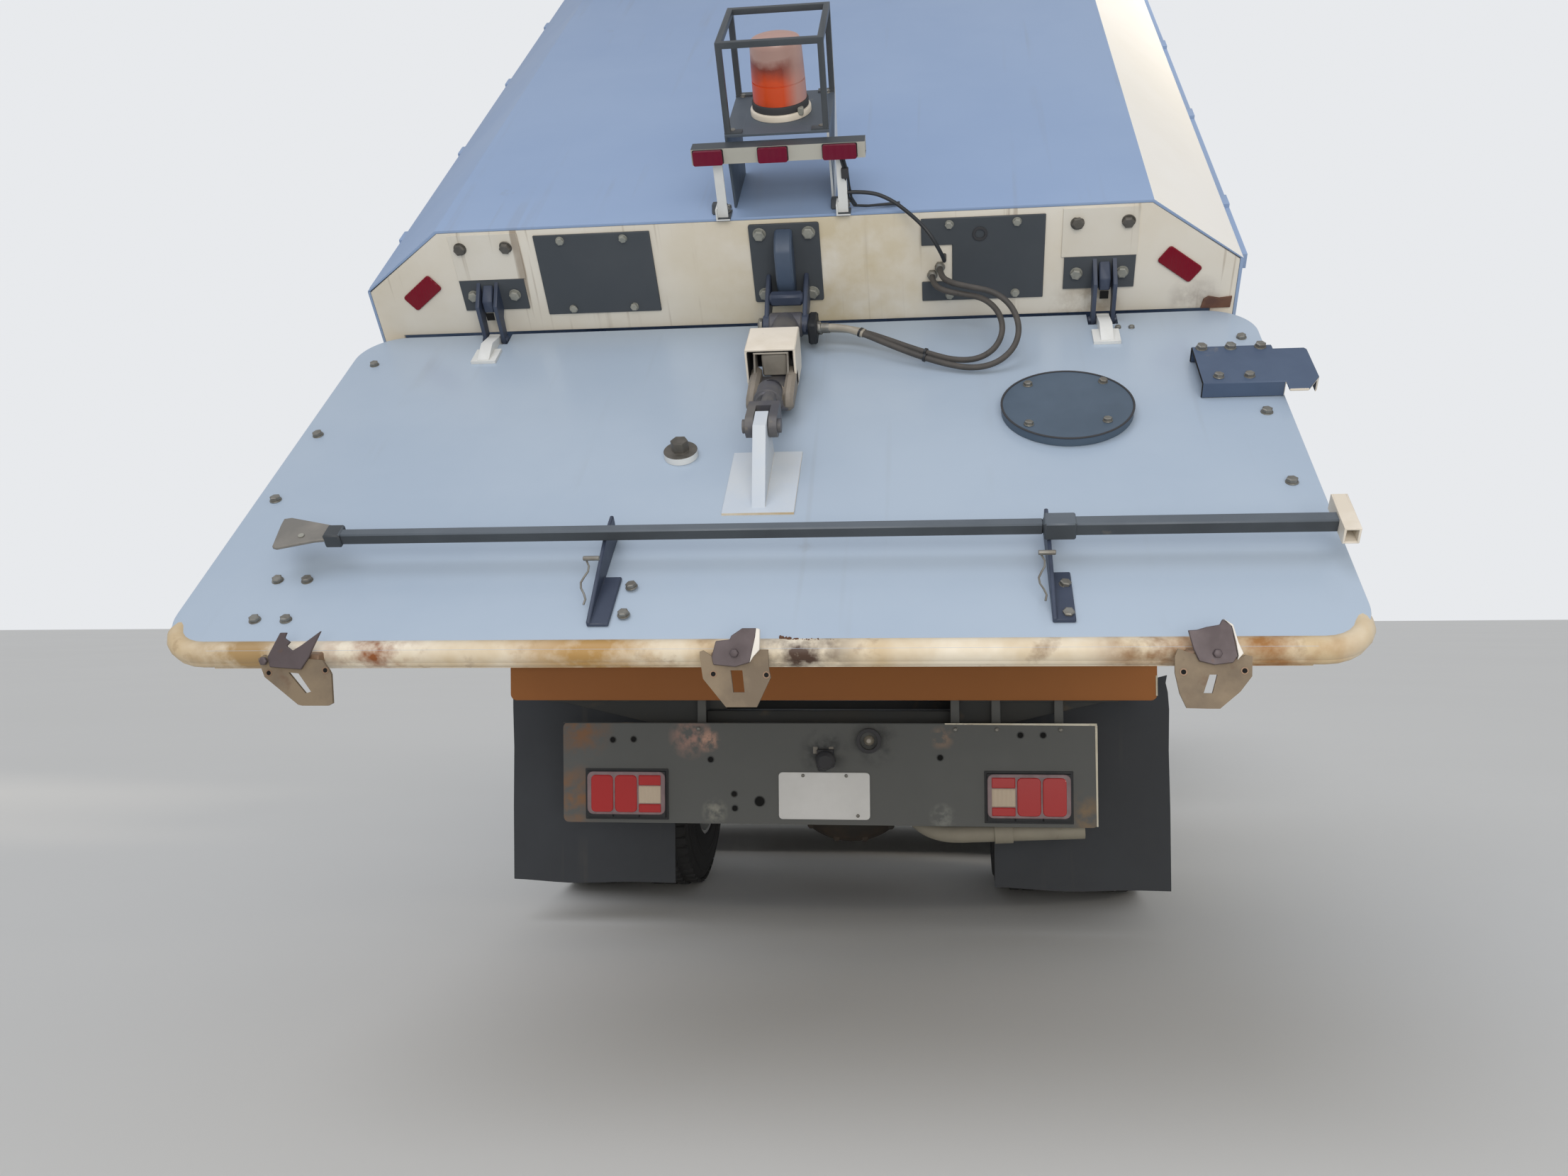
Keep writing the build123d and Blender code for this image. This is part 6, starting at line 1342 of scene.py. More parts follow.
@dataclass
class Band:
    """The hopper's rear face above the door: cover plates, hinge plates, pads, trunnion and hood."""

    def build(self) -> None:
        """Builds the end walls, the fittings and their bolts."""
        # The rear wall takes the band's cream, partly painted warm light; its front part takes the roof's blue painted
        # sky shade
        dress("hopper_ends", "hopper_end_walls", BAND_ENAMEL, "hopper", "white_paint", 4, 2, HOPPER,
              lambda at, normal: ROOF_ENAMEL if at.y > 2000 else None)

        def pick(low: Vector, high: Vector) -> Look | None:
            """Tells the fittings on the band apart, without the middle one, which is made anew."""
            middle = abs(low.x + high.x) / 2
            if middle < 20:
                return None
            return FORK_BLUE if middle > 680 else COVER_GREY

        low = HINGE_LINE
        fittings = Piece("band_fitments", HOPPER)
        fittings.cad("band_fittings", pick, 1.6)

        def tones(at: Vector, normal: Vector) -> Look | None:
            """The white pads over the dark hinge plates."""
            up = at.z - HINGE_LINE
            if abs(at.x) > 700 and at.y > -8:
                return BAND_ENAMEL if up > 163 else COVER_GREY
            return None

        fittings.repaint(tones)
        self._trunnion(fittings)
        for side in (-1, 1):
            ends = flip(side, 806, 834)
            fittings.prism([(-6, low + 150), (-44, low + 118), (-44, low + 84), (-6, low + 84)], "x", ends,
                           FORK_BLUE, 3)
            # A black sheet of painted shade in the gap under the fork
            fittings.box([ends[0] + 3, ends[1] - 3], (-45, -43.5), (low + 62, low + 84), HOLE_BLACK, 0)
            middle, high = side * 1010, low + 130
            turn = math.radians(-side * 37)
            outline = [(middle + dx * math.cos(turn) - dz * math.sin(turn),
                        high + dx * math.sin(turn) + dz * math.cos(turn))
                       for dx, dz in rounded((-54, 54), (-26, 26), 8)]
            fittings.prism(outline, "y", (-7, 0), RED_REFLECTOR, 2)
        fittings.prism([(1075, low + 2), (1150, low + 2), (1152, low + 34), (1120, low + 30), (1092, low + 36),
                        (1080, low + 28)], "y", (-5, 0), RUST_SCRAP, 1)
        fittings.ring((502, -6, low + 238), BACK, 19, 12, 4, BLACK_PLASTIC, 28)
        fittings.done("hopper", "grey_plate", "band_fittings")
        bolts = Repeat("band_bolts", Shape.HEX_BOLT, BOLT_DUSTY, HOPPER, 0.2, 5)
        for side in (-1, 1):
            for xs, ups, size in (((425, 595), (68, 267), 18), ((750, 866), (117,), 25), ((64,), (92, 262), 27)):
                bolts.row([(side * x, -6, low + up) for x in xs for up in ups], BACK, size)
        bolts.done("hopper", "steel")
        pads = Repeat("pad_bolts", Shape.HEX_BOLT, PLUG_STEEL, HOPPER, 0.2, 6)
        pads.row([(side * x, -4, low + 255) for side in (-1, 1) for x in (746, 872)], BACK, 27)
        pads.done("hopper", "steel")

    def _trunnion(self, piece: Piece) -> None:
        """The centre plate with its lever, and the forked trunnion that holds the door cylinder."""
        low = HINGE_LINE
        piece.prism(rounded((-92, 92), (low + 67, low + 288), 6), "y", (-7, 0), COVER_GREY, 1.2)
        piece.prism([(-4, low + 276), (-40, low + 262), (-62, low + 236), (-66, low + 160), (-52, low + 110),
                     (-4, low + 100)], "x", (-24, 22), LEVER_BLUE, 5)
        for x in (-56, 44):
            piece.prism([(-6, low + 150), (-60, low + 128), (-149, low + 76), (-156, low + 54), (-119, low + 38),
                         (-60, low + 58), (-6, low + 72)], "x", (x, x + 12), FORK_BLUE, 3)
            piece.rod((x - 4, -125, low + 62), ACROSS, 27, 20, FORK_BLUE, 3, 32)
            piece.hexagon((x + (18 if x > 0 else -6), -125, low + 62), (1 if x > 0 else -1, 0, 0), 34, 12, BOLT_ZINC)
        piece.rod((-60, -125, low + 62), ACROSS, 13.5, 120, BOLT_ZINC, 1)
        piece.box((-44, 44), (-92, -60), (low + 96, low + 128), FORK_BLUE, 6)
        piece.box((60, 84), (-176, -104), (low + 28, low + 88), PORT_BLACK, 5)
        for y, z in ((-158, 70), (-124, 46)):
            piece.hexagon((84, y, low + z), ACROSS, 26, 10, BOLT_ZINC)


@dataclass
class DoorCylinder:
    """The hydraulic cylinder that opens the door."""

    foot: Span = (-125, 62)
    eye: Span = (-712, 108)

    def build(self) -> None:
        """Builds barrel and rod with gland, ports and pins."""
        barrel = Piece("door_cylinder_case", HOPPER)
        start = Vector((0, self.foot[0], HINGE_LINE + self.foot[1]))
        end = Vector((0, self.eye[0], HINGE_LINE + self.eye[1]))
        along = (end - start).normalized()
        up = Vector((0, along.z, -along.y))

        def spot(far: float, high: float) -> Span:
            """A point beside the cylinder: so far along it and so high above its axis."""
            found = start + along * far + up * high
            return (found.y, found.z)

        barrel.rod((-43, *start[1:]), ACROSS, 32, 86, OILED_CAST, 3, 36)
        barrel.rod(start, along, 36.5, 232, OILED_CAST, 2, 40)
        for outline, across, finish, bevel in self._sheets():
            barrel.prism([spot(*corner) for corner in outline], "x", across, finish, bevel)
        barrel.lathe(start + along * 370 + Vector((-6, 0, 0)), along,
                     ((0, 31), (44, 31), (46, 34), (58, 34), (60, 30), (66, 27)), OILED_CAST, 36)
        barrel.done("door_cylinder_barrel", "cast", "door_cylinder_barrel")
        rod = Piece("door_cylinder_ram", HOPPER)
        rod.cad("door_cylinder_rod", OILED_CAST, 1.5)
        rod.slide(lambda at: along * (376 - (at - start).dot(along)) if (at - start).dot(along) < 340 else None)
        rod.done("door_cylinder_rod", "steel", "door_cylinder_rod")

    def _sheets(self) -> tuple[tuple[Sequence[Span], Span, Look, float], ...]:
        """The hood, its black lining of painted shade, the block in it and the castings: outline (along, above), span
        across, finish and bevel.
        """
        cheek = ((148, 60), (272, 60), (276, 40), (276, -26), (262, -44), (160, -44), (148, -20))
        lining = ((150, 55), (276.5, 55), (276.5, -24), (262, -40), (150, -40))
        frame_side = ((226, 46), (262, 46), (292, -22), (226, -22))
        casting = ((240, 4), (330, 2), (384, -6), (398, -20), (400, -36), (386, -47), (240, -47))
        return (
            (((148, 56), (272, 56), (276, 60), (272, 63), (148, 63)), (-74, 50), HOOD_CREAM, 2.5),
            (cheek, (-74, -68), HOOD_CREAM, 1.5),
            (lining, (-68, -66.8), HOLE_BLACK, 0),
            (cheek, (44, 50), HOOD_CREAM, 1.5),
            (lining, (42.8, 44), HOLE_BLACK, 0),
            (((150, 53), (270, 53), (270, 56), (150, 56)), (-67, 43), HOLE_BLACK, 0),
            (((150, 53), (158, 53), (158, -40), (150, -40)), (-67, 43), HOLE_BLACK, 0),
            (((222, 40), (258, 40), (258, -17), (222, -17)), (-36, 27), BLOCK_GREY, 4),
            (((226, 50), (263, 50), (263, 44), (226, 44)), (-55, 32), HOOD_CREAM, 1.5),
            (frame_side, (-55, -50), BLOCK_GREY, 1.5),
            (frame_side, (27, 32), BLOCK_GREY, 1.5),
            (((250, -20), (386, -16), (400, -34), (386, -47), (250, -47)), (-52, 40), OILED_CAST, 4),
            (casting, (-64, -38), CASTING_BEIGE, 9),
            (casting, (24, 50), CASTING_BEIGE, 9),
            (((330, 0), (386, -8), (398, -30), (386, -44), (330, -44)), (-44, 28), CASTING_BEIGE, 10))


@dataclass
class RoofGear:
    """The light bar with three lamps, the beacon on its platform and the cage round it."""

    lamps: tuple[Span, ...] = ((-207, -133), (-44, 29), (117, 200))

    def build(self) -> None:
        """Builds bar, lamps, cage, platform, beacon and the cable under the bar."""
        top = ROOF_TOP

        def bar_tones(at: Vector, normal: Vector) -> Look:
            """Tells the lamps, the dark top sheet, the white legs and the dark feet apart."""
            if at.y < -21 and at.z > top + 150:
                return BAR_LENS
            if at.z < top + 10:
                return COVER_GREY
            if at.z < top + 176 and abs(abs(at.x) - 155) < 20:
                return FITTING_ENAMEL
            if abs(normal.x) > 0.7 and abs(at.x) > 205:
                return HOOD_CREAM
            return CAGE_GREY if normal.z > 0.4 else BAR_FACE

        bar = Piece("light_bar_case", HOPPER)
        bar.cad("light_bar", BAR_FACE, 1.2)
        bar.repaint(bar_tones)
        for low, high in self.lamps:
            bar.prism(rounded((low - 2, high + 2), (top + 179.5, top + 217), 4), "y", (-22.5, -20), PORT_BLACK, 0.6)
        for x in (-152, 158):
            bar.prism([(20, top + 0.5), (62, top + 0.5), (62, top + 16), (50, top + 24), (34, top + 24)], "x",
                      (x - 34, x + 4), COVER_GREY, 3)
        bar.slide(lambda at: Vector((0, 0, -26)) if at.z > top + 150 else None)
        bar.done("hopper", "grey_plate", "light_bar")

        def cage_tones(at: Vector, normal: Vector) -> Look | None:
            """Tells the white right gusset and the platform from the tubes."""
            if at.z < top + 198 and at.x > 100:
                return FITTING_ENAMEL
            return PLATFORM_GREY if at.z < top + 206 else None

        cage = Piece("beacon_cage", HOPPER)
        cage.cad("beacon_guard", CAGE_GREY, 1.5, 2)
        cage.repaint(cage_tones)
        cage.done("hopper", "dark_plate", "beacon_guard")
        self._beacon()
        bolts = Repeat("roof_bolts", Shape.HEX_BOLT, BOLT_ZINC, HOPPER, 0.2, 9)
        bolts.row([(x, y, top + 6) for x in (-146, 164) for y in (30, 50)], UP, 15)
        bolts.row([(x, y, top + 205) for x in (-112, 112) for y in (52, 290)], UP, 14)
        bolts.done("hopper", "steel")
        wires = Piece("lamp_wires", HOPPER)
        for shift in (0, 7):
            wires.tube([(150 + shift, -6, top + 176), (158 + shift, -9, top + 150), (166 + shift, -4, top + 112),
                        (168 + shift, 2, top + 74), (172 + shift, 8, top + 38), (184 + shift, 16, top + 12),
                        (214 + shift, 22, top + 7), (300, 26 + shift, top + 7)], 3.2, CABLE_PVC, 8)
        wires.box((158, 176), (-14, 2), (top + 96, top + 122), BLACK_PLASTIC, 2)
        wires.done("hopper", "black_plastic")

    def _beacon(self) -> None:
        """The turned dome with its groove, clamp ring and pale foot."""
        home = HOPPER.matrix().inverted()
        low, high = limits([home @ v.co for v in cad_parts["beacon"].data.vertices])
        x, y = (low.x + high.x) / 2, (low.y + high.y) / 2
        foot, tall, wide = low.z, high.z - low.z, (high.x - low.x) / 2
        piece = Piece("beacon_lamp", HOPPER)
        piece.lathe((x, y, foot), UP, ((0, wide), (tall * 0.07, wide), (tall * 0.09, wide * 0.97)),
                    HOOD_CREAM, 48, 1)
        piece.box((x + wide * 0.62, x + wide * 0.8), (y - wide * 0.76, y - wide * 0.55),
                  (foot + tall * 0.05, foot + tall * 0.15), BOLT_DUSTY, 2)
        piece.lathe((x, y, foot + tall * 0.09), UP,
                    ((0, wide * 0.93), (tall * 0.09, wide * 0.93), (tall * 0.1, wide * 0.9)), BLACK_PLASTIC, 48, 1)
        dome = [(tall * 0.0, 0.88), (tall * 0.26, 0.87), (tall * 0.262, 0.845), (tall * 0.275, 0.845),
                (tall * 0.277, 0.867), (tall * 0.5, 0.85), (tall * 0.72, 0.83), (tall * 0.76, 0.815),
                (tall * 0.79, 0.77), (tall * 0.806, 0.66), (tall * 0.81, 0.4), (tall * 0.812, 0.0)]
        piece.lathe((x, y, foot + tall * 0.185), UP, [(h, r * wide) for h, r in dome], BEACON_AMBER, 48)
        piece.done("hopper", "amber_lens", "beacon")


@dataclass
class Tail:
    """The tail plate with its lamps, blank plate, socket and torn holes."""

    holes: tuple[tuple[float, float, float], ...] = (
        (-718, 700, 9), (-646, 702, 9), (-382, 635, 9), (-303, 520, 9), (-301, 472, 9), (-217, 496, 16),
        (645, 720, 9), (718, 720, 9), (384, 645, 9))

    def build(self) -> None:
        """Builds plate, lamps and what hangs on the plate."""

        def pick(low: Vector, high: Vector) -> Look:
            """Tells the plate, its flanges and the fitments apart."""
            wide, middle = high.x - low.x, (low.x + high.x) / 2
            small = wide < 330 and high.z - low.z < 160
            if small and low.z > 350 and abs(middle) < 60 and low.y < -2:
                return BARE_PLATE if wide > 200 else BLACK_PLASTIC
            return TAIL_GREY

        plate = Piece("tail_panel")
        plate.cad("tail_plate", pick, 1.8)
        plate.prism(rounded((-152, 152), (438.5, 594.5), 13), "y", (-6.5, -0.1), BARE_PLATE, 1.2)
        # Torn holes: a grey ring round a black disc of painted shade
        for x, z, radius in self.holes:
            plate.ring((x, -0.2, z), BACK, radius + 3, radius, 1.0, CHASSIS_GREY, 20)
            plate.rod((x, -0.1, z), BACK, radius, 0.4, HOLE_BLACK, 0, 20)
        plate.prism([(400, 754), (890, 751), (890, 758.5), (400, 758.5)], "y", (-1.6, -0.1), CREAM_EDGE, 0.4)
        plate.prism([(-890, 755.5), (400, 756), (400, 758.5), (-890, 758.5)], "y", (-1.0, -0.1), CHASSIS_GREY, 0.3)
        plate.prism([(886, 424), (891.5, 424), (891.5, 752), (884, 752)], "y", (-1.6, -0.1), CREAM_EDGE, 0.4)
        plate.ring((151, -28, 702), BACK, 41, 29, 4, BLACK_PLASTIC, 40)
        plate.lathe((151, -8, 702), BACK, ((0, 18), (8, 16), (14, 11), (20, 7)), CLEAR_SLEEVE, 24)
        plate.lathe((8, -20, 640), (0, -1, -0.2), ((0, 30), (10, 33), (22, 30), (30, 22)), BLACK_PLASTIC, 28)
        plate.box((-20, 12), (-22, -2), (600, 640), BLACK_PLASTIC, 5)
        for x in (-28, 24):
            plate.box((x - 8, x + 8), (-4, 0), (656, 680), BLOCK_GREY, 2)
        plate.done("chassis", "grey_plate", "tail_plate")
        self._lamps()
        screws = Repeat("tail_screws", Shape.DOMED_RIVET, BOLT_ZINC, CHASSIS, 0.2, 12)
        screws.row(((-70, -7.5, 584), (74, -7.5, 584), (112, -7.5, 452)), BACK, 12)
        screws.row([(x, 0, 738) for x in HANGER_X], BACK, 16)
        screws.done("chassis", "steel")

    def _lamps(self) -> None:
        """Each lamp is red, red, and inboard a stack of red, clear and red."""
        lamps = Piece("tail_lamp_units")
        lamps.cad("tail_lamps", PORT_BLACK, 8.0, 3)
        for side in (-1, 1):
            inner, outer = LAMP_INNER_X, LAMP_OUTER_X
            ends = flip(side, inner + 1, outer - 1)
            lamps.prism(rounded(ends, (LAMP_BOTTOM + 10, LAMP_TOP - 1), 20), "y", (-17, -13), LAMP_RIM, 2)
            third = (outer - inner - 24) / 3
            for part in range(3):
                low = inner + 12 + part * third + 3
                high = low + third - 6
                ends = flip(side, low, high)
                foot, head = LAMP_BOTTOM + 18, LAMP_TOP - 12
                rows = ((foot, head),) if part else ((foot, foot + 28), (foot + 30, head - 36), (head - 34, head))
                for row, (base, crown) in enumerate(rows):
                    finish = CLEAR_LENS if not part and row == 1 else RED_LENS
                    lamps.prism(rounded(ends, (base, crown), 3 if len(rows) > 1 else 15), "y", (-20, -14), finish, 2.5)
        lamps.done("chassis", "red_lens", "tail_lamps")


@dataclass
class Undercarriage:
    """Frame rails, axles, exhaust, tank, guards, flaps, bumper, engine, ducts and the suction head."""

    flap: Span = (568, 1168)
    flap_top: float = 900
    flap_foot: float = 156
    cover_centre: Span = (20, 462)
    cover_bolts: int = 14
    bolt_circle: float = 256

    def build(self) -> None:
        """Builds what the truck stands on and what hangs below it."""
        for name, copy, finish, slot, bevel in (
                ("chassis_frame", "frame_rails", CHASSIS_GREY, "grey_chassis", 3.0),
                ("rear_mudguards", "mudguard_sheets", CHASSIS_GREY, "black_plastic", 1.5),
                ("front_axle", "front_axle_beam", CAST_IRON, "cast", 3.0),
                ("engine_and_drive_shaft", "engine_block", CAST_IRON, "cast", 6.0),
                ("suction_ducts", "duct_sheets", MOUTH_DARK, "dark_plate", 2.0),
                ("pickup_head", "suction_head", CHASSIS_GREY, "dark_plate", 3.0)):
            dress(name, copy, finish, "chassis", slot, bevel)
        self._sill()
        self._rear_axle()
        dress("exhaust_system", "exhaust_pipes", EXHAUST_STEEL, "chassis", "rusty_steel", 2)
        self._flaps()
        dress("fuel_tank", "fuel_tank_body", BLACK_PLASTIC, "chassis", "black_plastic", 8, 2)
        self._bumper()

    def _sill(self) -> None:
        """The primed sill under the hopper, with a pale right end: a strip of painted sunlight."""

        def pick(low: Vector, high: Vector) -> Look:
            """The sill is the one solid as wide as the body."""
            return SILL_PRIMER if high.x - low.x > 1900 and low.z > 800 else CHASSIS_GREY

        piece = Piece("subframe_beams")
        piece.cad("hopper_subframe", pick, 4.0, 2)
        # The sunlit right end face, as a strip of painted light
        piece.prism([(1084, 846), (1089.6, 846), (1089.6, 912), (1084, 912)], "y", (38.6, 42), CREAM_EDGE, 0.6)
        piece.done("chassis", "sill_paint", "hopper_subframe")

    def _rear_axle(self) -> None:
        """The axle casing with its cover's ring of bolts."""
        dress("rear_axle", "rear_axle_case", CAST_IRON, "chassis", "cast", 4, 2)
        cover = Piece("axle_cover")
        x, z = self.cover_centre
        cover.lathe((x, REAR_AXLE_Y - 60, z), BACK,
                    ((0, 272), (40, 268), (90, 240), (130, 190), (155, 110), (164, 0)), CAST_IRON, 48)
        cover.done("chassis", "cast")
        bolts = Repeat("axle_bolts", Shape.HEX_BOLT, CAST_IRON, CHASSIS, 0.2, 21)
        bolts.row([(x + self.bolt_circle * c, REAR_AXLE_Y - 116, z + self.bolt_circle * s)
                   for c, s in around(self.cover_bolts)], BACK, 24)
        bolts.done("chassis", "cast")

    def _flaps(self) -> None:
        """Rubber flaps with a curved lower edge, a torn outer strip at the right and a clamping bar."""
        piece = Piece("rubber_flaps")
        inner, outer = self.flap
        steps = 12
        for side in (-1, 1):
            outline = [(side * inner, self.flap_top), (side * inner, self.flap_foot)]
            for share in (i / steps for i in range(steps + 1)):
                sag = 5.5 * math.sin(math.pi * share) - 3 * math.sin(share * 9 + side)
                outline.append((side * (inner + (outer - inner) * share), self.flap_foot - sag))
            outline += [(side * outer, 430), (side * (outer - 3), 640), (side * outer, 780)]
            if side > 0:
                outline += [(outer - 4, 840), (outer - 11, 872), (outer - 6, 898), (outer - 40, 889), (outer - 62, 898)]
            else:
                outline += [(side * outer, self.flap_top)]
            piece.prism(outline, "y", (300, 308), FLAP_RUBBER, 1.5)
            ends = flip(side, *self.flap)
            piece.box((ends[0] + 8, ends[1] - 70), (295, 300), (858, 892), CHASSIS_GREY, 1)
        piece.done("chassis", "rubber", "mud_flaps")
        bolts = Repeat("flap_bolts", Shape.HEX_BOLT, BOLT_ZINC, CHASSIS, 0.2, 31)
        bolts.row([(side * x, 295, 875) for side in (-1, 1) for x in (620, 760, 900, 1040)], BACK, 17)
        bolts.done("chassis", "steel")

    def _bumper(self) -> None:
        """The front bumper with headlamps, steps and a recessed centre."""
        piece = Piece("bumper_beam")
        piece.cad("front_bumper", lambda low, high: BLACK_PLASTIC if high.y - low.y > 300 else COVER_GREY, 8.0, 2)
        for side in (-1, 1):
            ends = flip(side, 705, 955)
            piece.prism([(ends[0], 565), (ends[1], 565), (ends[1], 685), (ends[0], 685)], "y", (6185, 6205),
                        HEADLAMP_GLASS, 6)
            for x in (765, 895):
                piece.lathe((side * x, 6168, 625), (0, 1, 0), ((0, 20), (14, 52), (16, 54)), BRIGHT_REFLECTOR, 32)
        piece.done("chassis", "grey_plate", "front_bumper")


@dataclass
class Wheel:
    """One tyre with its tread, on the axle at (x, y)."""

    body: str
    name: str
    x: float
    y: float
    blocks: int = 58
    rows: tuple[tuple[float, float, float], ...] = ((-104, 44, 34), (-54, 36, 38), (0, 44, 36), (54, 36, 38),
                                                    (104, 44, 34))
    beads: tuple[tuple[float, float, float], ...] = ((352, 4, 1.4), (372, 2.5, 1.0), (430, 5, 1.6))

    def build(self) -> None:
        """Turns the tyre, sets the tread blocks round it and adds the moulding lines on its sides."""
        tyre = Piece(self.name + "_tyre")
        half = TYRE_WIDTH / 2
        crown = TYRE_RADIUS - 11
        flank = ((22, RIM_RADIUS - 3), (1, RIM_RADIUS + 1), (3, 306), (4, 341), (0, 391), (3, 420), (9, 448),
                 (20, 466), (34, crown - 3), (62, crown))
        profile = [(half - inset, radius) for inset, radius in flank] + [(0, crown + 1)]
        profile += [(inset - half, radius) for inset, radius in reversed(flank)]
        self._turned(tyre, profile, 96)
        self._tread(crown)
        for radius, inset, wide in self.beads:
            for side in (-1, 1):
                edge = half - inset
                self._turned(tyre, ((side * edge, radius), (side * (edge + wide + 1.6), radius + 3),
                                    (side * edge, radius + 6)), 64)
        tyre.done(self.body, "tyre_rubber")

    def _tread(self, crown: float) -> None:
        """Sets five rows of blocks, each row half a block on from the last, lower on the shoulders."""
        blocks = Repeat(self.name + "_tread", Shape.TREAD_BLOCK, TYRE_RUBBER, CHASSIS, 0.0, 41)
        for row, (shift, wide, along) in enumerate(self.rows):
            shoulder = abs(shift) > 100
            foot = crown - (9 if shoulder else 2)
            top = TYRE_RADIUS - (8.5 if shoulder else 0.3)
            for c, s in around(self.blocks, 0.5 * (row % 2)):
                blocks.put((self.x + shift, self.y + foot * c, TYRE_RADIUS + foot * s), (0, c, s),
                           (wide, along, top - foot))
        blocks.done(self.body, "tyre_rubber")

    def _turned(self, piece: Piece, profile: Sequence[Span], steps: int) -> None:
        """Turns a closed outline of (across, radius) pairs round the axle."""
        part = bmesh.new()
        bridge(part, [[part.verts.new((self.x + across, self.y + radius * c, TYRE_RADIUS + radius * s))
                       for c, s in around(steps)] for across, radius in profile], True)
        piece.add(part, TYRE_RUBBER, 0)


@dataclass
class Wheels:
    """All six wheels: single in front, twin at the rear."""

    nuts: int = 8
    nut_circle: float = 96

    def build(self) -> None:
        """Dresses each wheel body: tyres, painted rims, hubs and nuts."""
        for side, label in ((1, "right"), (-1, "left")):
            self._axle_end("front_wheel_" + label, side, FRONT_AXLE_Y, (WHEEL_X,))
            self._axle_end("rear_wheels_" + label, side, REAR_AXLE_Y, (WHEEL_X, WHEEL_X - TWIN_SPACING))
            paint("knuckle_" + label, CAST_IRON)

    def _axle_end(self, body: str, side: int, y: float, places: Sequence[float]) -> None:
        """Dresses one wheel body.

        Args:
            body: The wheel body, whose CAD node has the same name.
            side: 1 for the right, -1 for the left.
            y: The axle's place along the truck.
            places: The tyres' middle planes across the truck.
        """
        discs = Piece(body + "_discs")
        discs.cad(body, lambda low, high: None if high.z - low.z > 900 else RIM_PAINT, 2.0)
        for n, across in enumerate(places):
            Wheel(body, body + ("_inner" if n else ""), side * across, y).build()
        discs.done(body, "white_paint", body)
        nuts = Repeat(body + "_nuts", Shape.HEX_BOLT, BOLT_ZINC, CHASSIS, 0.3, 43)
        face = self._hub_face(body, side, y)
        nuts.row([(face, y + self.nut_circle * c, TYRE_RADIUS + self.nut_circle * s)
                  for c, s in around(self.nuts, 0.5)], (side, 0, 0), 30)
        nuts.done(body, "steel")

    def _hub_face(self, body: str, side: int, y: float) -> float:
        """The outermost place of the wheel's metal about 96 mm from the axle."""
        best = 0.0
        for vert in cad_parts[body].data.vertices:
            spot = vert.co * 1000
            reach = math.hypot(spot.y + ORIGIN_Y - y, spot.z - TYRE_RADIUS)
            if 60 < reach < 150:
                best = max(best, side * spot.x)
        return side * (best - 1)


@dataclass
class HopperShell:
    """The hopper's floor, sides and roof: thick enamelled sheet with pressed ribs."""

    def build(self) -> None:
        """Builds the three shells and their seam fasteners."""

        def sunlit(at: Vector, normal: Vector) -> Look | None:
            """The right chamfer, which faces the sun, gets painted sunlight."""
            return CHAMFER_ENAMEL if normal.x > 0.45 and normal.z > 0.3 else None

        for name, copy, bevel in (("hopper_floor", "hopper_floor_sheet", 4), ("hopper_sides", "hopper_side_walls", 6),
                                  ("hopper_roof", "hopper_roof_sheet", 3)):
            dress(name, copy, ROOF_ENAMEL, "hopper", "white_paint", bevel, 2, HOPPER, sunlit)
        rivets = Repeat("shell_rivets", Shape.DOMED_RIVET, ROOF_ENAMEL, HOPPER, 0.2, 51)
        for side in (-1, 1):
            rivets.row([(side * (HOPPER_HALF_WIDTH - 0.5), 60 + 120 * i, 60) for i in range(22)], (side, 0, 0), 16)
        rivets.done("hopper", "white_paint")


@dataclass
class LiftGear:
    """The two hopper lift cylinders."""

    def build(self) -> None:
        """Dresses barrels and rods."""
        dress("lift_barrels", "lift_cases", CHASSIS_GREY, "lift_barrels", "cast", 2, 2)
        dress("lift_rods", "lift_rams", TURNED_STEEL, "lift_rods", "steel", 1.5)


@dataclass
class PowerPack:
    """The louvred housing behind the cab, with its stack and air intake."""

    lowest_slat: float = 1534
    slat_step: float = 70
    rows: int = 9

    def build(self) -> None:
        """Builds housing, louvre slats, seams and latches."""

        def pick(low: Vector, high: Vector) -> Look:
            """Tells the stack and the intake from the housing."""
            if high.x - low.x < 200 and high.z > 2400:
                return RUSTY_STEEL
            return BODY_ENAMEL if high.x - low.x > 400 or high.z - low.z > 400 else BLACK_PLASTIC

        piece = Piece("power_pack_case")
        piece.cad("power_pack_housing", pick, 6.0, 2)
        for side in (-1, 1):
            for y in (3100, 4000):
                ends = flip(side, 1099, 1103)
                piece.box(ends, (y - 3, y + 3), (1080, 2330), BODY_ENAMEL, 0.6)
            for y in (3250, 3850):
                ends = flip(side, 1099, 1106)
                piece.box(ends, (y - 26, y + 26), (1240, 1300), BLACK_PLASTIC, 2)
        piece.done("chassis", "white_paint", "power_pack_housing")
        slats = Repeat("louvre_slats", Shape.SLAT, BODY_ENAMEL, CHASSIS, 0.0, 61)
        for side in (-1, 1):
            for row in range(self.rows):
                slats.put((side * 1088, 3550, self.lowest_slat + self.slat_step * row), (side * 0.8, 0, -0.6),
                          (790, 4, 24), (0, 1, 0))
        slats.done("chassis", "white_paint")


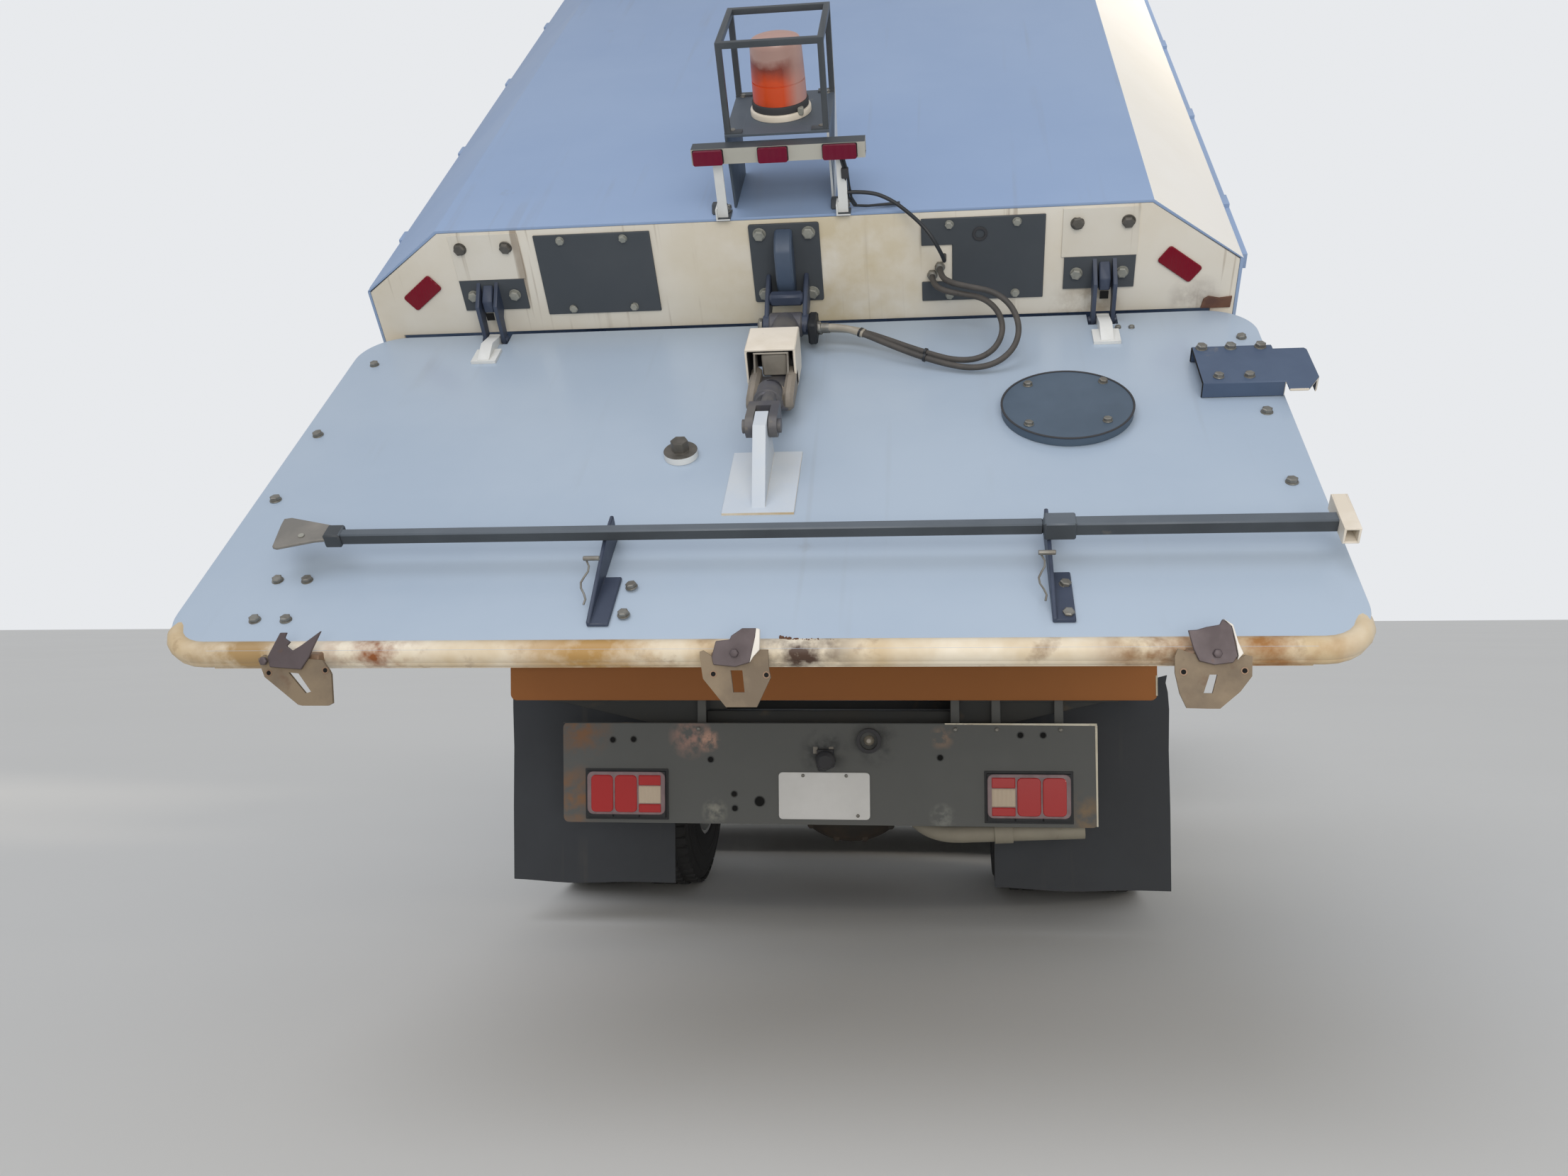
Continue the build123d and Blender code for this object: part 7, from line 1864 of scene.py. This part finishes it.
@dataclass
class Cab:
    """The tilting cab: shell, doors, glass, mirrors, seats, wheel, lamps and wipers."""

    def build(self) -> None:
        """Builds the shell, doors and everything fixed to them."""

        def door(low: Vector, high: Vector) -> Look:
            """A cab door's thin solid is its pane."""
            return WINDOW_GLASS if high.x - low.x < 12 else BODY_ENAMEL

        def fitout(low: Vector, high: Vector) -> Look:
            """Cloth on the seats, plastic on the dashboard and the column."""
            seat = high.z - low.z > 90 and high.y - low.y < 700 and low.y < 5200
            return CLOTH_GREY if seat else BLACK_PLASTIC

        for name, copy, pick, body, slot, bevel, trim in (
                ("cab_floor", "cab_floor_pan", BODY_ENAMEL, "cab", "white_paint", 3, None),
                ("cab_sides", "cab_side_panels", BODY_ENAMEL, "cab", "white_paint", 5, None),
                ("cab_front", "cab_front_panel", BODY_ENAMEL, "cab", "white_paint", 6, self._front_trim),
                ("cab_back", "cab_back_panel", BODY_ENAMEL, "cab", "white_paint", 5, None),
                ("cab_roof", "cab_roof_panel", BODY_ENAMEL, "cab", "white_paint", 8, None),
                ("mirrors", "mirror_heads", BLACK_PLASTIC, "cab", "black_plastic", 4, None),
                ("cab_door_right", "right_door_panel", door, "cab_door_right", "white_paint", 4,
                 partial(self._door_trim, 1)),
                ("cab_door_left", "left_door_panel", door, "cab_door_left", "white_paint", 4,
                 partial(self._door_trim, -1))):
            dress(name, copy, pick, body, slot, bevel, 2, trim=trim)
        dress("cab_glass", "cab_panes", WINDOW_GLASS, "cab", "glass", 1)
        dress("cab_interior", "cab_fitout", fitout, "cab", "seat_fabric", 14, 3)

    def _door_trim(self, side: int, piece: Piece) -> None:
        """The window's two rubber strips and the handle."""
        outer = max(abs(v.co.x) * 1000 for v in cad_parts["cab_door_right"].data.vertices)
        ends = flip(side, outer - 2, outer + 3)
        for base in (1590, 2348):
            piece.box(ends, (5010, 5880), (base, base + 12), BLACK_PLASTIC, 1.5)
        grip = flip(side, outer - 2, outer + 9)
        piece.box(grip, (5030, 5170), (1470, 1500), BLACK_PLASTIC, 4)

    def _front_trim(self, piece: Piece) -> None:
        """Wiper arms and indicator lamps on the front."""
        for x in (-480, 120):
            piece.tube([(x, CAB_FRONT + 4, 1590), (x + 60, CAB_FRONT - 2, 1680), (x + 330, CAB_FRONT - 42, 1840)],
                       7, BLACK_PLASTIC, 8)
        for side in (-1, 1):
            ends = flip(side, 960, 1060)
            piece.prism([(ends[0], 1330), (ends[1], 1330), (ends[1], 1400), (ends[0], 1400)], "y",
                        (CAB_FRONT - 2, CAB_FRONT + 12), AMBER_LENS, 5)


@dataclass
class Broom:
    """One side broom: a disc of bristle tufts under a plate, on its swinging arm."""

    side: int
    label: str
    rings: tuple[tuple[float, int], ...] = ((150, 26), (190, 34), (230, 42), (268, 50))
    base: float = 302
    tip: float = 113
    tuft: float = 26
    twist: float = 0.013

    def build(self) -> None:
        """Builds the arm, the plate and the tufts."""
        arm = "broom_arm_" + self.label
        dress(arm, arm + "_casting", CHASSIS_GREY, arm, "grey_chassis", 3, 2)
        name = "broom_" + self.label
        x, y = self.side * BROOM_CENTRE[0], BROOM_CENTRE[1]
        core = Piece(name + "_core")
        core.cad(name, lambda a, b: None if b.z - a.z > 200 and b.x - a.x > 500 else CHASSIS_GREY, 2.0, 2)
        core.rod((x, y, 300), UP, 286, 86, BLACK_PLASTIC, 4, 56)
        tufts = Repeat(name + "_bristles", Shape.BRISTLE_TUFT, BRISTLE, CHASSIS, 0.05, 71)
        for radius, count in self.rings:
            lean = 0.2 + 0.5 * (radius - 130) / 140
            for c, s in around(count, radius * self.twist):
                facing = Vector((c * lean, s * lean, -1)).normalized()
                reach = (self.base - self.tip) / -facing.z
                tufts.put((x + radius * c, y + radius * s, self.base), facing, (self.tuft, self.tuft, reach))
        core.done(name, "bristle", name)
        tufts.done(name, "bristle")


def main() -> None:
    """Builds the sweeper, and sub-assembly by sub-assembly."""
    logging.basicConfig(level=logging.INFO, format="%(message)s")
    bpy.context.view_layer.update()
    View().build()
    Hoses().build()
    for part in (RearDoor(), Band(), DoorCylinder(), RoofGear(), Tail(), Undercarriage(), Wheels(), HopperShell(),
                 LiftGear(), PowerPack(), Cab(), Broom(1, "right"), Broom(-1, "left")):
        log.info("building %s", type(part).__name__)
        part.build()


if __name__ == "__main__":
    main()
